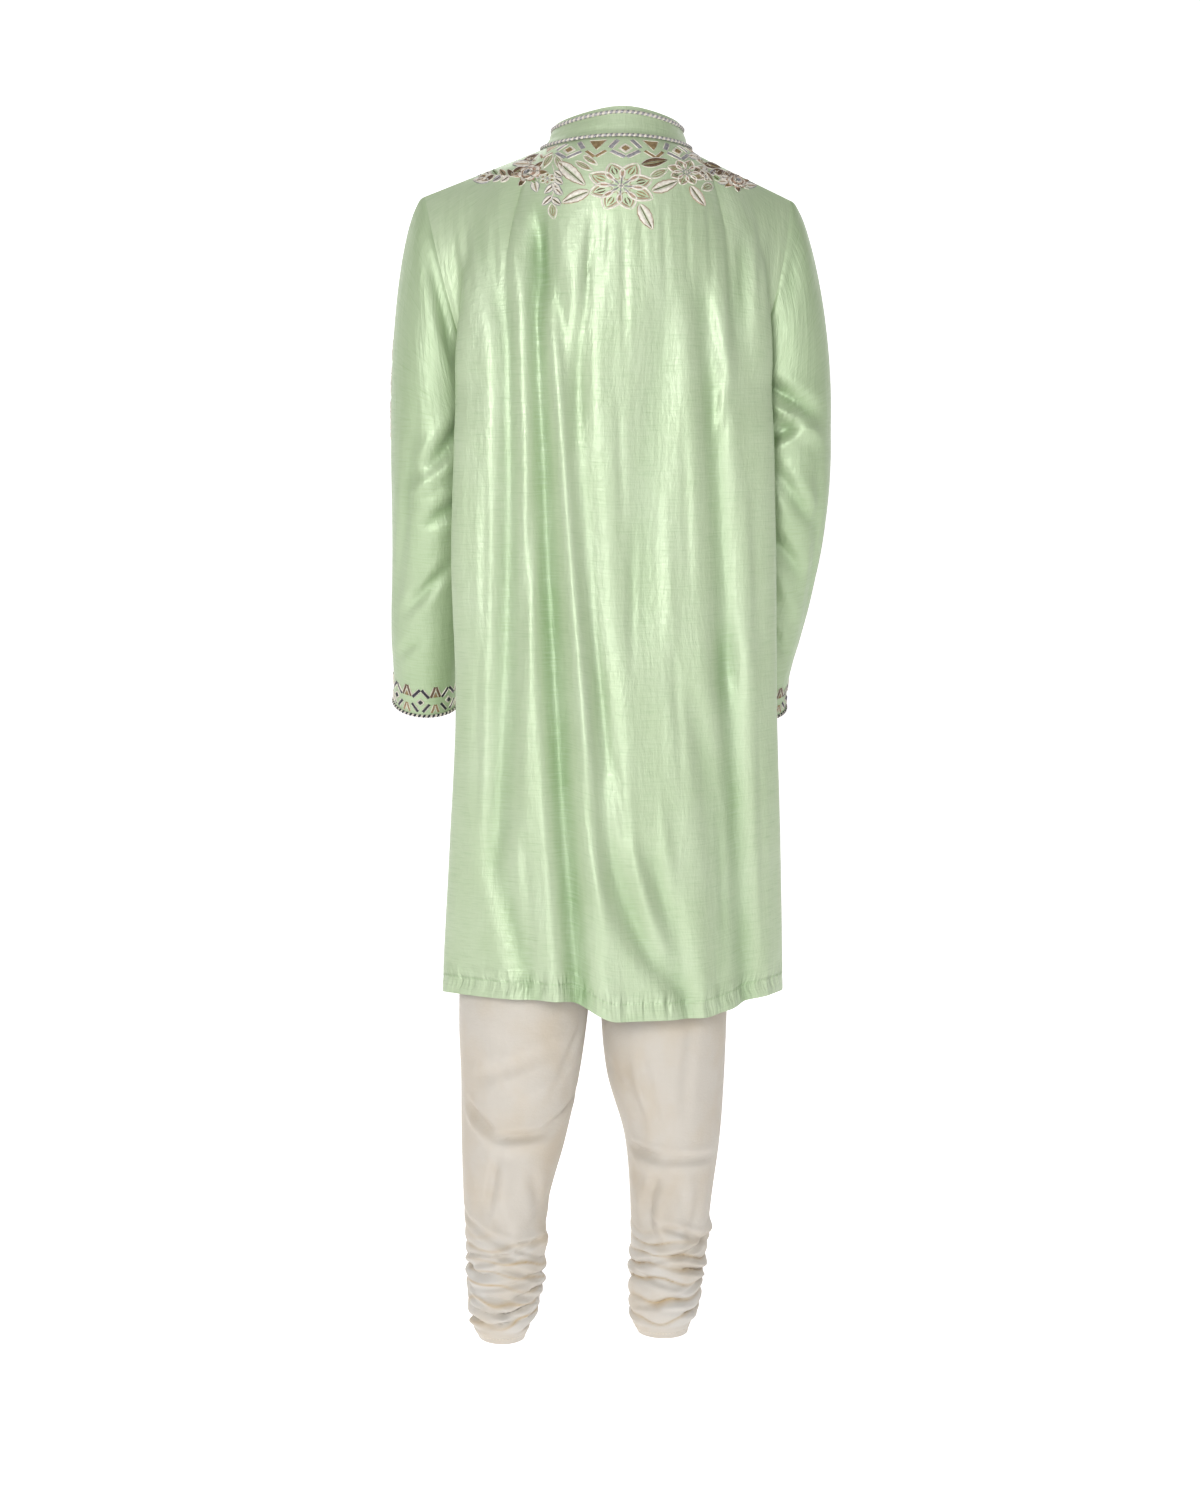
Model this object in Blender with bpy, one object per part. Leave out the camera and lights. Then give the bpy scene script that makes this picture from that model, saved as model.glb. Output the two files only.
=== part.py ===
# A kurta set as it hangs when worn: a knee-length silk kurta with a stand collar over a gathered churidar.
# Both garments are hollow walls of cloth. Metres, +Z up; the front faces -Y and the wearer's left is +X.
# The origin is the middle of the neck opening, at the height of the high shoulder points.
import math
from collections import namedtuple

import bmesh
import bpy
from mathutils import Vector
from mathutils.bvhtree import BVHTree

# Cloth and sewing
CLOTH = 0.0016            # wall of the silk and of the churidar's cotton
SEAM_GAP = 0.0004         # left open between two pieces that are sewn together
LIFT = 0.0004             # gap under what is sewn on a panel
APPLIQUE_EDGE = 0.0008    # thickness of an applique at its rim
FOLDED_BACK = 0.75        # below this cosine to the mean of both normals a seam counts as folded back
STRAIGHT_RIM = 1.6        # two unit steps along a rim add up to more than this where it has no corner

# Kurta
KURTA_BACK_LENGTH = 1.086
HEM_RISE_LEFT = 0.026     # the hem hangs higher left of the main fold
HEM_RISE_SIDE = 0.018
HEM_STEP_X = 0.045        # where that rise starts
SHOULDER_HALF = 0.232
SHOULDER_DROP = 0.060
UNDERARM_DROP = 0.292
UNDERARM_EASE = 0.004     # how far the sleeve stands off the body just under the armhole
VENT_LENGTH = 0.20
VENT_OPEN = 0.004         # how far each edge of a side vent stands back at the hem

# Neck and collar
NECK_X = -0.009           # the neck opening sits a little to the wearer's right
NECK_HALF = 0.092
NECK_BACK = 0.080
NECK_FRONT = 0.094
NECK_BACK_RISE = 0.009
NECK_FRONT_DROP = 0.040
NECK_FAN = 0.045          # how far the cloth beside the neck heads outwards
COLLAR_BACK = 0.034
COLLAR_FRONT = 0.024
COLLAR_LEAN = 0.011
COLLAR_LEFT_LEAN = 0.004  # how much more it leans in on the wearer's left
COLLAR_PEAK = 0.004       # how much higher it stands at the middle of the back
COLLAR_NOTCH = 0.07       # half of the notch in front, as a share of the front neckline's half

# Trims
ROPE_RADIUS = 0.0021
ROPE_SIDES = 6
PLACKET_WIDTH = 0.034
PLACKET_LENGTH = 0.300
BUTTON_RADIUS = 0.0065
BUTTON_HEIGHT = 0.0045
BUTTON_COUNT = 4
CUFF_BAND = 0.046
CUFF_TEETH = 16
NECK_BAND = 0.032
NECK_TOOTH = 0.009
NECK_BAND_END = 0.45      # the band's width at the shoulders, as a share of its width at the back

# Churidar
WAIST_DROP = 0.480
CASING = 0.036
CROTCH_DROP = 0.760
SEAT_RISE = 0.130         # height over which the leg opens into the seat
CROTCH_X = 0.008
HIP_HALF = 0.142
HIP_BACK = 0.090
HIP_FRONT = 0.088
WAIST_SHARE = 0.90        # waist girth as a share of the hips
GATHER_TOP = 1.366
GATHER_LOW = 1.508
GATHER_FOLDS = 7
GATHER_DEPTH = 0.0055
ANKLE_DROP = 1.522

# Grid counts
BODY_ROWS = 19
YOKE_ROWS = 8
SHOULDER_COLUMNS = 8
NECK_COLUMNS = 20
COLUMN_LEAN = 0.055       # how far the columns lean to the wearer's right on their way down
CAP_ROWS = 5
LEG_COLUMNS = 14
SPLINE_STEPS = 10

# The kurta's level sections below the underarm, as distances from its axis. drop is how far below the
# origin; corner is where the back turns to the side; press is where the arm holds the side seam in;
# swing is how far the section hangs towards the wearer's left.
Section = namedtuple("Section", "drop corner_x corner_y press side_y back front front_x swing")
BODY = [
    Section(0.292, 0.197, 0.062, 0.170, -0.005, 0.112, 0.118, 0.148, 0.0),
    Section(0.360, 0.201, 0.064, 0.146, -0.010, 0.114, 0.124, 0.142, 0.0),
    Section(0.520, 0.205, 0.062, 0.156, -0.015, 0.110, 0.120, 0.144, 0.0),
    Section(0.700, 0.203, 0.060, 0.168, -0.010, 0.120, 0.124, 0.142, -0.004),
    Section(0.880, 0.208, 0.056, 0.192, -0.012, 0.130, 0.130, 0.170, -0.004),
    Section(1.090, 0.214, 0.050, 0.207, -0.010, 0.140, 0.138, 0.186, -0.002),
]

# Sleeve rings from the upper arm to the cuff. x is the distance from the body's axis, pitch the forward
# tilt in degrees of a ring square to the forearm.
Ring = namedtuple("Ring", "drop x y half_x half_y pitch")
SLEEVE_LEFT = [
    Ring(0.345, 0.2245, -0.019, 0.0510, 0.0570, 0),
    Ring(0.385, 0.2250, -0.020, 0.0510, 0.0560, 2),
    Ring(0.425, 0.2250, -0.021, 0.0505, 0.0550, 6),
    Ring(0.462, 0.2245, -0.026, 0.0505, 0.0530, 12),
    Ring(0.500, 0.2260, -0.035, 0.0485, 0.0510, 16),
    Ring(0.540, 0.2275, -0.047, 0.0470, 0.0490, 18),
    Ring(0.580, 0.2290, -0.060, 0.0460, 0.0480, 19),
    Ring(0.620, 0.2295, -0.073, 0.0450, 0.0470, 20),
    Ring(0.655, 0.2290, -0.085, 0.0430, 0.0455, 21),
    Ring(0.680, 0.2290, -0.094, 0.0420, 0.0450, 21),
    Ring(0.704, 0.2290, -0.103, 0.0420, 0.0450, 21),
]
SLEEVE_RIGHT = [
    Ring(0.345, 0.2350, -0.019, 0.0540, 0.0570, 0),
    Ring(0.385, 0.2355, -0.020, 0.0540, 0.0560, 2),
    Ring(0.425, 0.2345, -0.021, 0.0535, 0.0550, 6),
    Ring(0.462, 0.2320, -0.026, 0.0530, 0.0530, 12),
    Ring(0.500, 0.2300, -0.035, 0.0510, 0.0510, 16),
    Ring(0.540, 0.2260, -0.047, 0.0490, 0.0490, 18),
    Ring(0.580, 0.2220, -0.060, 0.0470, 0.0480, 19),
    Ring(0.620, 0.2160, -0.073, 0.0450, 0.0470, 20),
    Ring(0.655, 0.2100, -0.085, 0.0430, 0.0455, 21),
    Ring(0.686, 0.2070, -0.096, 0.0420, 0.0450, 21),
    Ring(0.714, 0.2070, -0.106, 0.0420, 0.0450, 21),
]

# Churidar leg rings below the crotch.
LegRing = namedtuple("LegRing", "drop x y half_x half_y")
LEG_LEFT = [
    LegRing(0.760, 0.0890, 0.000, 0.0806, 0.088),
    LegRing(0.860, 0.0970, 0.000, 0.0830, 0.088),
    LegRing(1.000, 0.1060, 0.002, 0.0840, 0.086),
    LegRing(1.100, 0.1120, 0.006, 0.0830, 0.084),
    LegRing(1.180, 0.1170, 0.010, 0.0760, 0.078),
    LegRing(1.260, 0.1260, 0.014, 0.0670, 0.070),
    LegRing(1.340, 0.1360, 0.018, 0.0550, 0.061),
    LegRing(1.420, 0.1365, 0.020, 0.0500, 0.056),
    LegRing(1.475, 0.1400, 0.022, 0.0450, 0.052),
    LegRing(1.508, 0.1430, 0.020, 0.0360, 0.043),
    LegRing(1.522, 0.1420, 0.014, 0.0300, 0.038),
]
LEG_RIGHT = [
    LegRing(0.760, -0.0730, 0.000, 0.0806, 0.088),
    LegRing(0.860, -0.0760, 0.000, 0.0820, 0.088),
    LegRing(1.000, -0.0730, 0.002, 0.0820, 0.086),
    LegRing(1.100, -0.0710, 0.006, 0.0815, 0.084),
    LegRing(1.180, -0.0730, 0.010, 0.0760, 0.078),
    LegRing(1.260, -0.0810, 0.014, 0.0620, 0.070),
    LegRing(1.340, -0.0790, 0.018, 0.0530, 0.061),
    LegRing(1.420, -0.0750, 0.020, 0.0480, 0.056),
    LegRing(1.475, -0.0700, 0.022, 0.0450, 0.052),
    LegRing(1.508, -0.0670, 0.020, 0.0380, 0.043),
    LegRing(1.522, -0.0690, 0.014, 0.0330, 0.038),
]

# Folds: depth below zero is a trough and above zero a ridge. Each runs through three places,
# given as (x, drop) seen from behind or from the front.
Fold = namedtuple("Fold", "depth width top middle low")
BACK_FOLDS = [
    Fold(-0.0150, 0.017, (0.104, 0.075), (0.088, 0.580), (0.053, 1.110)),
    Fold(0.0070, 0.016, (0.084, 0.190), (0.058, 0.560), (0.022, 0.980)),
    Fold(-0.0080, 0.016, (0.078, 0.150), (0.052, 0.410), (0.020, 0.800)),
    Fold(-0.0080, 0.018, (0.028, 0.760), (-0.004, 0.940), (-0.075, 1.060)),
    Fold(-0.0045, 0.016, (0.026, 0.085), (0.044, 0.200), (0.050, 0.360)),
    Fold(-0.0080, 0.018, (0.137, 0.150), (0.137, 0.450), (0.156, 0.900)),
    Fold(-0.0060, 0.018, (0.158, 0.880), (0.129, 0.990), (0.100, 1.110)),
    Fold(-0.0040, 0.016, (0.170, 0.070), (0.163, 0.150), (0.152, 0.230)),
    Fold(-0.0060, 0.018, (-0.168, 0.085), (-0.157, 0.180), (-0.156, 0.270)),
    Fold(-0.0080, 0.018, (-0.105, 0.160), (-0.122, 0.370), (-0.143, 0.680)),
    Fold(-0.0110, 0.020, (-0.140, 0.600), (-0.149, 0.800), (-0.172, 1.110)),
    Fold(-0.0040, 0.028, (-0.064, 0.170), (-0.038, 0.380), (-0.022, 0.640)),
    Fold(-0.0060, 0.018, (-0.030, 0.860), (-0.060, 0.960), (-0.090, 1.110)),
    Fold(-0.0070, 0.018, (-0.095, 0.680), (-0.112, 0.800), (-0.128, 1.110)),
]
FRONT_FOLDS = [
    Fold(-0.0100, 0.024, (0.095, 0.230), (0.100, 0.600), (0.120, 1.110)),
    Fold(-0.0080, 0.022, (0.040, 0.420), (0.040, 0.700), (0.050, 1.110)),
    Fold(-0.0080, 0.022, (-0.025, 0.480), (-0.020, 0.760), (-0.010, 1.110)),
    Fold(-0.0100, 0.024, (-0.090, 0.260), (-0.090, 0.620), (-0.085, 1.110)),
]
FOLD_FADE = 0.07          # length over which a fold fades in and out
FOLD_SHOULDER = 0.30      # height of the ridges beside a trough, as a share of its depth
FOLD_SPREAD = 1.7         # their distance from it, in widths

# Rings of crumple on the sleeves and the knees: how far down, depth, height, and the side it lies on
# in degrees round the tube from the inner side.
Crease = namedtuple("Crease", "drop depth height angle")
SLEEVE_CREASES = [
    Crease(0.400, -0.0050, 0.010, 150),
    Crease(0.440, -0.0040, 0.012, 250),
    Crease(0.560, -0.0030, 0.016, 120),
]
LEG_CREASES = [
    Crease(1.255, -0.0050, 0.012, 270),
    Crease(1.300, -0.0040, 0.014, 220),
]

# Applique leaves and flowers on the yoke. x and drop place the middle seen from behind, turn is the
# angle of the tip in degrees from straight down, towards the wearer's right.
Motif = namedtuple("Motif", "name kind x drop length width turn")
MOTIFS = [
    Motif("yoke_flower_large", "flower", -0.0019, 0.0535, 0.062, 0.082, 0),
    Motif("yoke_flower_small", "flower", -0.0860, 0.0339, 0.034, 0.044, 20),
    Motif("yoke_leaf_upper_left", "leaf", 0.0578, 0.0380, 0.044, 0.015, 45),
    Motif("yoke_leaf_lower_left", "leaf", 0.0554, 0.0675, 0.030, 0.012, -72),
    Motif("yoke_leaf_lower_right", "leaf", -0.0326, 0.0950, 0.030, 0.014, 25),
    Motif("yoke_leaf_right", "leaf", -0.0576, 0.0530, 0.034, 0.012, 110),
    Motif("yoke_leaf_under_flower", "leaf", -0.0996, 0.0640, 0.026, 0.012, 34),
    Motif("yoke_leaf_over_flower", "leaf", -0.0446, 0.0238, 0.030, 0.009, 103),
    Motif("yoke_sprig_left", "sprig", 0.0814, 0.0480, 0.050, 0.024, -5),
    Motif("yoke_bud_left", "leaf", 0.0810, 0.0840, 0.018, 0.009, 5),
    Motif("shoulder_rose_left", "rose", 0.1050, 0.0342, 0.034, 0.030, 20),
    Motif("shoulder_spray_left", "leaf", 0.1420, 0.0370, 0.036, 0.018, -105),
    Motif("shoulder_spray_right", "leaf", -0.1276, 0.0350, 0.036, 0.014, 100),
    Motif("shoulder_rose_right", "rose", -0.1586, 0.0400, 0.030, 0.024, 60),
]
SLEEVE_PATCH = Motif("sleeve_applique_left", "patch", 0.500, 0.288, 0.168, 0.070, 0)
SLEEVE_PATCH_Y = -0.040   # where its middle lies from front to back
SLEEVE_PATCH_CROWN = 0.0040
MOTIF_CROWN = {"flower": 0.0016, "leaf": 0.0016, "sprig": 0.0014, "rose": 0.0036, "patch": SLEEVE_PATCH_CROWN}
FLOWER_PETALS = 8
FLOWER_WAIST = 0.70       # radius between two petals, as a share of the petals' reach


def srgb(red, green, blue):
    """Turn a colour seen on a screen, 0 to 255, into the linear values of a shader."""
    return tuple(((c / 255.0 + 0.055) / 1.055) ** 2.4 for c in (red, green, blue)) + (1.0,)


# Finishes: colour, roughness and metallic share
Finish = namedtuple("Finish", "colour roughness metallic")
FINISHES = {
    "mint_silk": Finish(srgb(190, 213, 175), 0.42, 0.0),
    "cream_cotton": Finish(srgb(229, 221, 209), 0.75, 0.0),
    "silver_cord": Finish(srgb(196, 194, 192), 0.38, 0.6),
    "gold_thread": Finish(srgb(168, 146, 104), 0.45, 0.4),
    "ivory_thread": Finish(srgb(214, 205, 192), 0.55, 0.1),
    "pale_button": Finish(srgb(226, 222, 210), 0.30, 0.0),
}


def material(name):
    """The named finish as a Principled BSDF material."""
    found = bpy.data.materials.get(name)
    if found:
        return found
    finish = FINISHES[name]
    made = bpy.data.materials.new(name)
    made.use_nodes = True
    shader = made.node_tree.nodes["Principled BSDF"]
    shader.inputs["Base Color"].default_value = finish.colour
    shader.inputs["Roughness"].default_value = finish.roughness
    shader.inputs["Metallic"].default_value = finish.metallic
    made.diffuse_color = finish.colour
    return made


def add_object(name, points, faces, finish):
    """Make one closed body from its points and faces."""
    mesh = bpy.data.meshes.new(name)
    mesh.from_pydata([tuple(p) for p in points], [], faces)
    mesh.validate()
    body = bmesh.new()
    body.from_mesh(mesh)
    bmesh.ops.recalc_face_normals(body, faces=body.faces)
    body.to_mesh(mesh)
    body.free()
    mesh.materials.append(material(finish))
    mesh.shade_smooth()
    mesh.set_sharp_from_angle(angle=math.radians(50))
    made = bpy.data.objects.new(name, mesh)
    bpy.context.collection.objects.link(made)
    return made


def smoothstep(low, high, value):
    """0 at low, 1 at high, with a soft start and end."""
    share = min(1.0, max(0.0, (value - low) / (high - low)))
    return share * share * (3.0 - 2.0 * share)


def between(rows, column, drop):
    """A table's column at a drop, on a smooth curve through the rows."""
    last = len(rows) - 1
    k = 0
    while k < last - 1 and drop > rows[k + 1].drop:
        k += 1
    p = [getattr(rows[min(last, max(0, k + step))], column) for step in (-1, 0, 1, 2)]
    share = min(1.0, max(0.0, (drop - rows[k].drop) / (rows[k + 1].drop - rows[k].drop)))
    slope_low = (p[2] - p[0]) * 0.5
    slope_high = (p[3] - p[1]) * 0.5
    square = share * share
    cube = square * share
    return ((2 * cube - 3 * square + 1) * p[1] + (cube - 2 * square + share) * slope_low
            + (3 * square - 2 * cube) * p[2] + (cube - square) * slope_high)


def bezier(a, b, c, d, t):
    """A point on a cubic curve."""
    s = 1.0 - t
    return a * (s * s * s) + b * (3 * s * s * t) + c * (3 * s * t * t) + d * (t * t * t)


def closed_curve(corners):
    """A smooth closed curve through the corners, as a list of points, SPLINE_STEPS for each side."""
    count = len(corners)
    curve = []
    for k in range(count):
        p = [Vector(corners[(k + step) % count]) for step in (-1, 0, 1, 2)]
        for step in range(SPLINE_STEPS):
            t = step / SPLINE_STEPS
            curve.append(0.5 * (2 * p[1] + (p[2] - p[0]) * t
                                + (2 * p[0] - 5 * p[1] + 4 * p[2] - p[3]) * t * t
                                + (3 * p[1] - p[0] - 3 * p[2] + p[3]) * t * t * t))
    return curve


def spread(curve, shares):
    """Points at the given shares of an open curve's length."""
    lengths = [0.0]
    for a, b in zip(curve, curve[1:]):
        lengths.append(lengths[-1] + (b - a).length)
    points = []
    for share in shares:
        target = share * lengths[-1]
        k = 0
        while k < len(curve) - 2 and lengths[k + 1] < target:
            k += 1
        step = (target - lengths[k]) / (lengths[k + 1] - lengths[k])
        points.append(curve[k].lerp(curve[k + 1], step))
    return points


class Sheet:
    """The outer side of one cloth piece, a grid of points whose coinciding points are one."""

    def __init__(self, name, rows, finish, wall=CLOTH):
        self.name = name
        self.finish = finish
        self.wall = wall
        self.points = []
        self.faces = []
        self.seen = {}
        index = [[self.add(point) for point in row] for row in rows]
        for low, high in zip(index, index[1:]):
            for k in range(len(low) - 1):
                self.add_face(low[k], low[k + 1], high[k + 1])
                self.add_face(low[k], high[k + 1], high[k])

    def add(self, point):
        """The index of a point, new or already there."""
        name = key(point)
        if name not in self.seen:
            self.seen[name] = len(self.points)
            self.points.append(Vector(point))
        return self.seen[name]

    def add_face(self, a, b, c):
        """Keep a triangle unless two of its corners coincide."""
        if len({a, b, c}) == 3:
            self.faces.append((a, b, c))

    def rim(self):
        """The edges that belong to one face only, in the face's own direction."""
        edges = {}
        for face in self.faces:
            for a, b in zip(face, face[1:] + face[:1]):
                edges[(a, b)] = True
        return [edge for edge in edges if (edge[1], edge[0]) not in edges]

    def tree(self):
        """The piece's faces, for laying things on it."""
        return BVHTree.FromPolygons(self.points, self.faces)


def key(point):
    """A point's place to a hundredth of a millimetre, to find the points that pieces share."""
    return tuple(round(c * 100000) for c in point)


def face_normal(sheet, face):
    """A triangle's normal, as long as twice its area."""
    a, b, c = (sheet.points[k] for k in face)
    return (b - a).cross(c - a)


def own_normals(group):
    """The unit normal at each point of pieces that carry on smoothly into each other."""
    sums = {}
    for sheet in group:
        for face in sheet.faces:
            normal = face_normal(sheet, face)
            for corner in face:
                name = key(sheet.points[corner])
                sums[name] = sums.get(name, Vector()) + normal
    return {name: total.normalized() for name, total in sums.items()}


def sew(groups):
    """Give the pieces that share seams their thickness, and part them by the seam gap.

    At a seam the groups on both sides lean on the mean of their normals, so that their walls end in a
    mitre. Where one is folded back against the other, each keeps its own normal and stands off instead.
    """
    own = [own_normals(group) for group in groups]
    users = {}
    mean = {}
    for group, normals in zip(groups, own):
        for name, normal in normals.items():
            mean[name] = mean.get(name, Vector()) + normal
        for sheet in group:
            for point in sheet.points:
                users[key(point)] = users.get(key(point), 0) + 1
    for group, normals in zip(groups, own):
        for sheet in group:
            thicken(sheet, normals, mean, users)


def thicken(sheet, own, mean, users):
    """Make one piece's wall from its outer side."""
    rim = sheet.rim()
    rim_points = {k for edge in rim for k in edge}
    inward = {k: Vector() for k in rim_points}
    along = {k: Vector() for k in rim_points}
    for face in sheet.faces:
        middle = (sheet.points[face[0]] + sheet.points[face[1]] + sheet.points[face[2]]) / 3.0
        for corner in face:
            if corner in inward:
                inward[corner] += (middle - sheet.points[corner]).normalized()
    for a, b in rim:
        step = (sheet.points[b] - sheet.points[a]).normalized()
        along[a] += step
        along[b] += step
    outer = []
    inner = []
    for k, point in enumerate(sheet.points):
        name = key(point)
        normal = mean[name].normalized()
        folded_back = normal.dot(own[name]) < FOLDED_BACK
        if folded_back:
            normal = own[name]
        place = point.copy()
        if k in inward and users[name] > 1:
            pull = inward[k] - normal * inward[k].dot(normal)
            if along[k].length > STRAIGHT_RIM:
                side = along[k].normalized()
                pull -= side * pull.dot(side)
            place += pull.normalized() * (SEAM_GAP / 2)
            if folded_back:
                place -= normal * (SEAM_GAP / 2)
        outer.append(place)
        inner.append(place - normal * sheet.wall)
    count = len(outer)
    faces = list(sheet.faces)
    faces += [(c + count, b + count, a + count) for a, b, c in sheet.faces]
    for a, b in rim:
        if key(sheet.points[a]) < key(sheet.points[b]):
            faces += [(b, a, b + count), (a, a + count, b + count)]
        else:
            faces += [(b, a, a + count), (b, a + count, b + count)]
    add_object(sheet.name, outer + inner, faces, sheet.finish)


def fold_offset(folds, x, drop, low_edge):
    """How far the folds move the cloth out at a place seen square on."""
    total = 0.0
    for fold in folds:
        (x0, d0), (x1, d1), (x2, d2) = fold.top, fold.middle, fold.low
        if not d0 - FOLD_FADE < drop < d2 + FOLD_FADE:
            continue
        line = (x0 * (drop - d1) * (drop - d2) / ((d0 - d1) * (d0 - d2))
                + x1 * (drop - d0) * (drop - d2) / ((d1 - d0) * (d1 - d2))
                + x2 * (drop - d0) * (drop - d1) / ((d2 - d0) * (d2 - d1)))
        fade = smoothstep(d0 - FOLD_FADE / 2, d0 + FOLD_FADE, drop)
        if d2 < low_edge:
            fade *= 1.0 - smoothstep(d2 - FOLD_FADE, d2 + FOLD_FADE / 2, drop)
        across = (x - line) / fold.width
        profile = math.exp(-across * across)
        if fold.depth < 0:
            for side in (-FOLD_SPREAD, FOLD_SPREAD):
                profile -= FOLD_SHOULDER * math.exp(-(across - side) ** 2)
        total += fold.depth * fade * profile
    return total


def neckline_back(share):
    """The back neckline, share going from 1 at the wearer's left to -1 at the right."""
    angle = share * math.pi / 2
    return Vector((NECK_X + NECK_HALF * math.sin(angle), NECK_BACK * math.cos(angle),
                   NECK_BACK_RISE * math.cos(angle) ** 2))


def neckline_front(share):
    """The front neckline, share going from 1 at the wearer's left to -1 at the right."""
    angle = share * math.pi / 2
    return Vector((NECK_X + NECK_HALF * math.sin(angle), -NECK_FRONT * math.cos(angle),
                   -NECK_FRONT_DROP * math.cos(angle) ** 2))


def shoulder_point(side):
    """Where the shoulder seam meets the sleeve, side 1 for the wearer's left and -1 for the right."""
    return Vector((side * SHOULDER_HALF, -0.005, -SHOULDER_DROP))


def body_ring(drop):
    """The kurta's closed level section at a drop: back half, then front half, from the left side seam."""
    corner_x = between(BODY, "corner_x", drop)
    corner_y = between(BODY, "corner_y", drop)
    press = between(BODY, "press", drop)
    side_y = between(BODY, "side_y", drop)
    back = between(BODY, "back", drop)
    front = -between(BODY, "front", drop)
    front_x = between(BODY, "front_x", drop)
    blade_x = corner_x * 0.55
    blade_y = back - (back - corner_y) * 0.22
    half = [(press, side_y), (corner_x, corner_y), (blade_x, blade_y)]
    corners = [Vector((x, y, -drop)) for x, y in half] + [Vector((0, back, -drop))]
    corners += [Vector((-x, y, -drop)) for x, y in reversed(half)]
    corners += [Vector((-front_x, front * 0.74, -drop)), Vector((0, front, -drop)),
                Vector((front_x, front * 0.74, -drop))]
    swing = Vector((between(BODY, "swing", drop), 0, 0))
    curve = [point + swing for point in closed_curve(corners)]
    seam = 6 * SPLINE_STEPS
    return curve[:seam + 1], curve[seam:] + curve[:1]


def column_shares(columns, lean):
    """Shares of a half section's length for its columns, those in the middle moved on by lean."""
    return [k / columns + lean * 4.0 * (k / columns) * (1.0 - k / columns) for k in range(columns + 1)]


def hem_drop(x, y):
    """How far down the hem hangs at a place of the section."""
    raised = HEM_RISE_LEFT * smoothstep(HEM_STEP_X - 0.04, HEM_STEP_X + 0.03, x) * smoothstep(-0.02, 0.06, y)
    side = HEM_RISE_SIDE * smoothstep(0.10, 0.21, abs(x)) * (1.0 - raised / HEM_RISE_LEFT)
    return KURTA_BACK_LENGTH - raised - side


def panel_grid(is_back):
    """The outer points of the back or front panel, rows from the hem up, columns from the left side."""
    sign = 1.0 if is_back else -1.0
    neck_shares, neckline = front_neck_shares(), neckline_front
    if is_back:
        neck_shares = [1.0 - 2.0 * k / NECK_COLUMNS for k in range(NECK_COLUMNS + 1)]
        neckline = neckline_back
    top = []
    for k in range(SHOULDER_COLUMNS):
        top.append(shoulder_point(1).lerp(neckline(1.0), k / SHOULDER_COLUMNS))
    top += [neckline(share) for share in neck_shares]
    for k in range(1, SHOULDER_COLUMNS + 1):
        top.append(neckline(-1.0).lerp(shoulder_point(-1), k / SHOULDER_COLUMNS))
    columns = len(top) - 1
    rows = []
    for row in range(BODY_ROWS):
        part = row / BODY_ROWS
        half = body_ring(KURTA_BACK_LENGTH + (UNDERARM_DROP - KURTA_BACK_LENGTH) * part)[0 if is_back else 1]
        lean = COLUMN_LEAN * (1.0 - part) / (4.0 * SHOULDER_HALF) if is_back else 0.0
        line = spread(half, column_shares(columns, lean))
        if not is_back:
            line.reverse()
        for point in line:
            point.z = -(hem_drop(point.x, point.y) * (1 - part) + UNDERARM_DROP * part)
        rows.append(line)
    start = spread(body_ring(UNDERARM_DROP)[0 if is_back else 1], column_shares(columns, 0.0))
    if not is_back:
        start.reverse()
    handle_low = Vector((0, 0, 0.110)) if is_back else Vector((0, -0.012, 0.090))
    handle_low_side = Vector((0.020, 0.042, 0.034)) if is_back else Vector((-0.004, -0.054, 0.032))
    neck_handle = Vector((0, 0.035, -0.030)) if is_back else Vector((0, -0.022, -0.048))
    shoulder_handle = Vector((0, 0.060 * sign, -0.013))
    side_handle = Vector((-0.010, 0.062, -0.080)) if is_back else Vector((-0.036, -0.078, -0.070))
    for row in range(YOKE_ROWS + 1):
        t = row / YOKE_ROWS
        line = []
        for k in range(columns + 1):
            u = 2.0 * k / columns - 1.0
            mirror = Vector((-1.0 if u > 0 else 1.0, 1, 1))
            at_side = abs(u) ** 5
            from_neck = (top[k].x - NECK_X) / NECK_HALF
            on_shoulder = smoothstep(0.60, 1.50, abs(from_neck))
            fan = NECK_FAN * max(-1.0, min(1.0, from_neck)) * (1.0 - smoothstep(1.0, 2.0, abs(from_neck)))
            low = handle_low.lerp(handle_low_side * mirror, at_side)
            high = neck_handle.lerp(shoulder_handle, on_shoulder) + Vector((fan, 0, 0))
            high = high.lerp(side_handle * mirror, at_side)
            line.append(bezier(start[k], start[k] + low, top[k] + high, top[k], t))
        rows.append(line)
    return rows


def front_neck_shares():
    """Places along the front neckline, with one on each side of the collar's notch."""
    side = [1.0, 0.68, 0.36, COLLAR_NOTCH]
    return side + [-share for share in reversed(side)]


def move_out(rows, offset, closed=False):
    """Move a grid's points along its normals by offset(point, row, column)."""
    moved = []
    last_row = len(rows) - 1
    last = len(rows[0]) - 1
    for r, row in enumerate(rows):
        line = []
        for k, point in enumerate(row):
            left, right = (k - 1, k + 1) if 0 < k < last else (max(0, k - 1), min(last, k + 1))
            if closed and k in (0, last):
                left, right = last - 1, 1
            across = row[right] - row[left]
            up = rows[min(last_row, r + 1)][k] - rows[max(0, r - 1)][k]
            normal = across.cross(up)
            if normal.length > 1e-9:
                normal.normalize()
            line.append(point + normal * offset(point, r, k))
        moved.append(line)
    return moved


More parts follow.
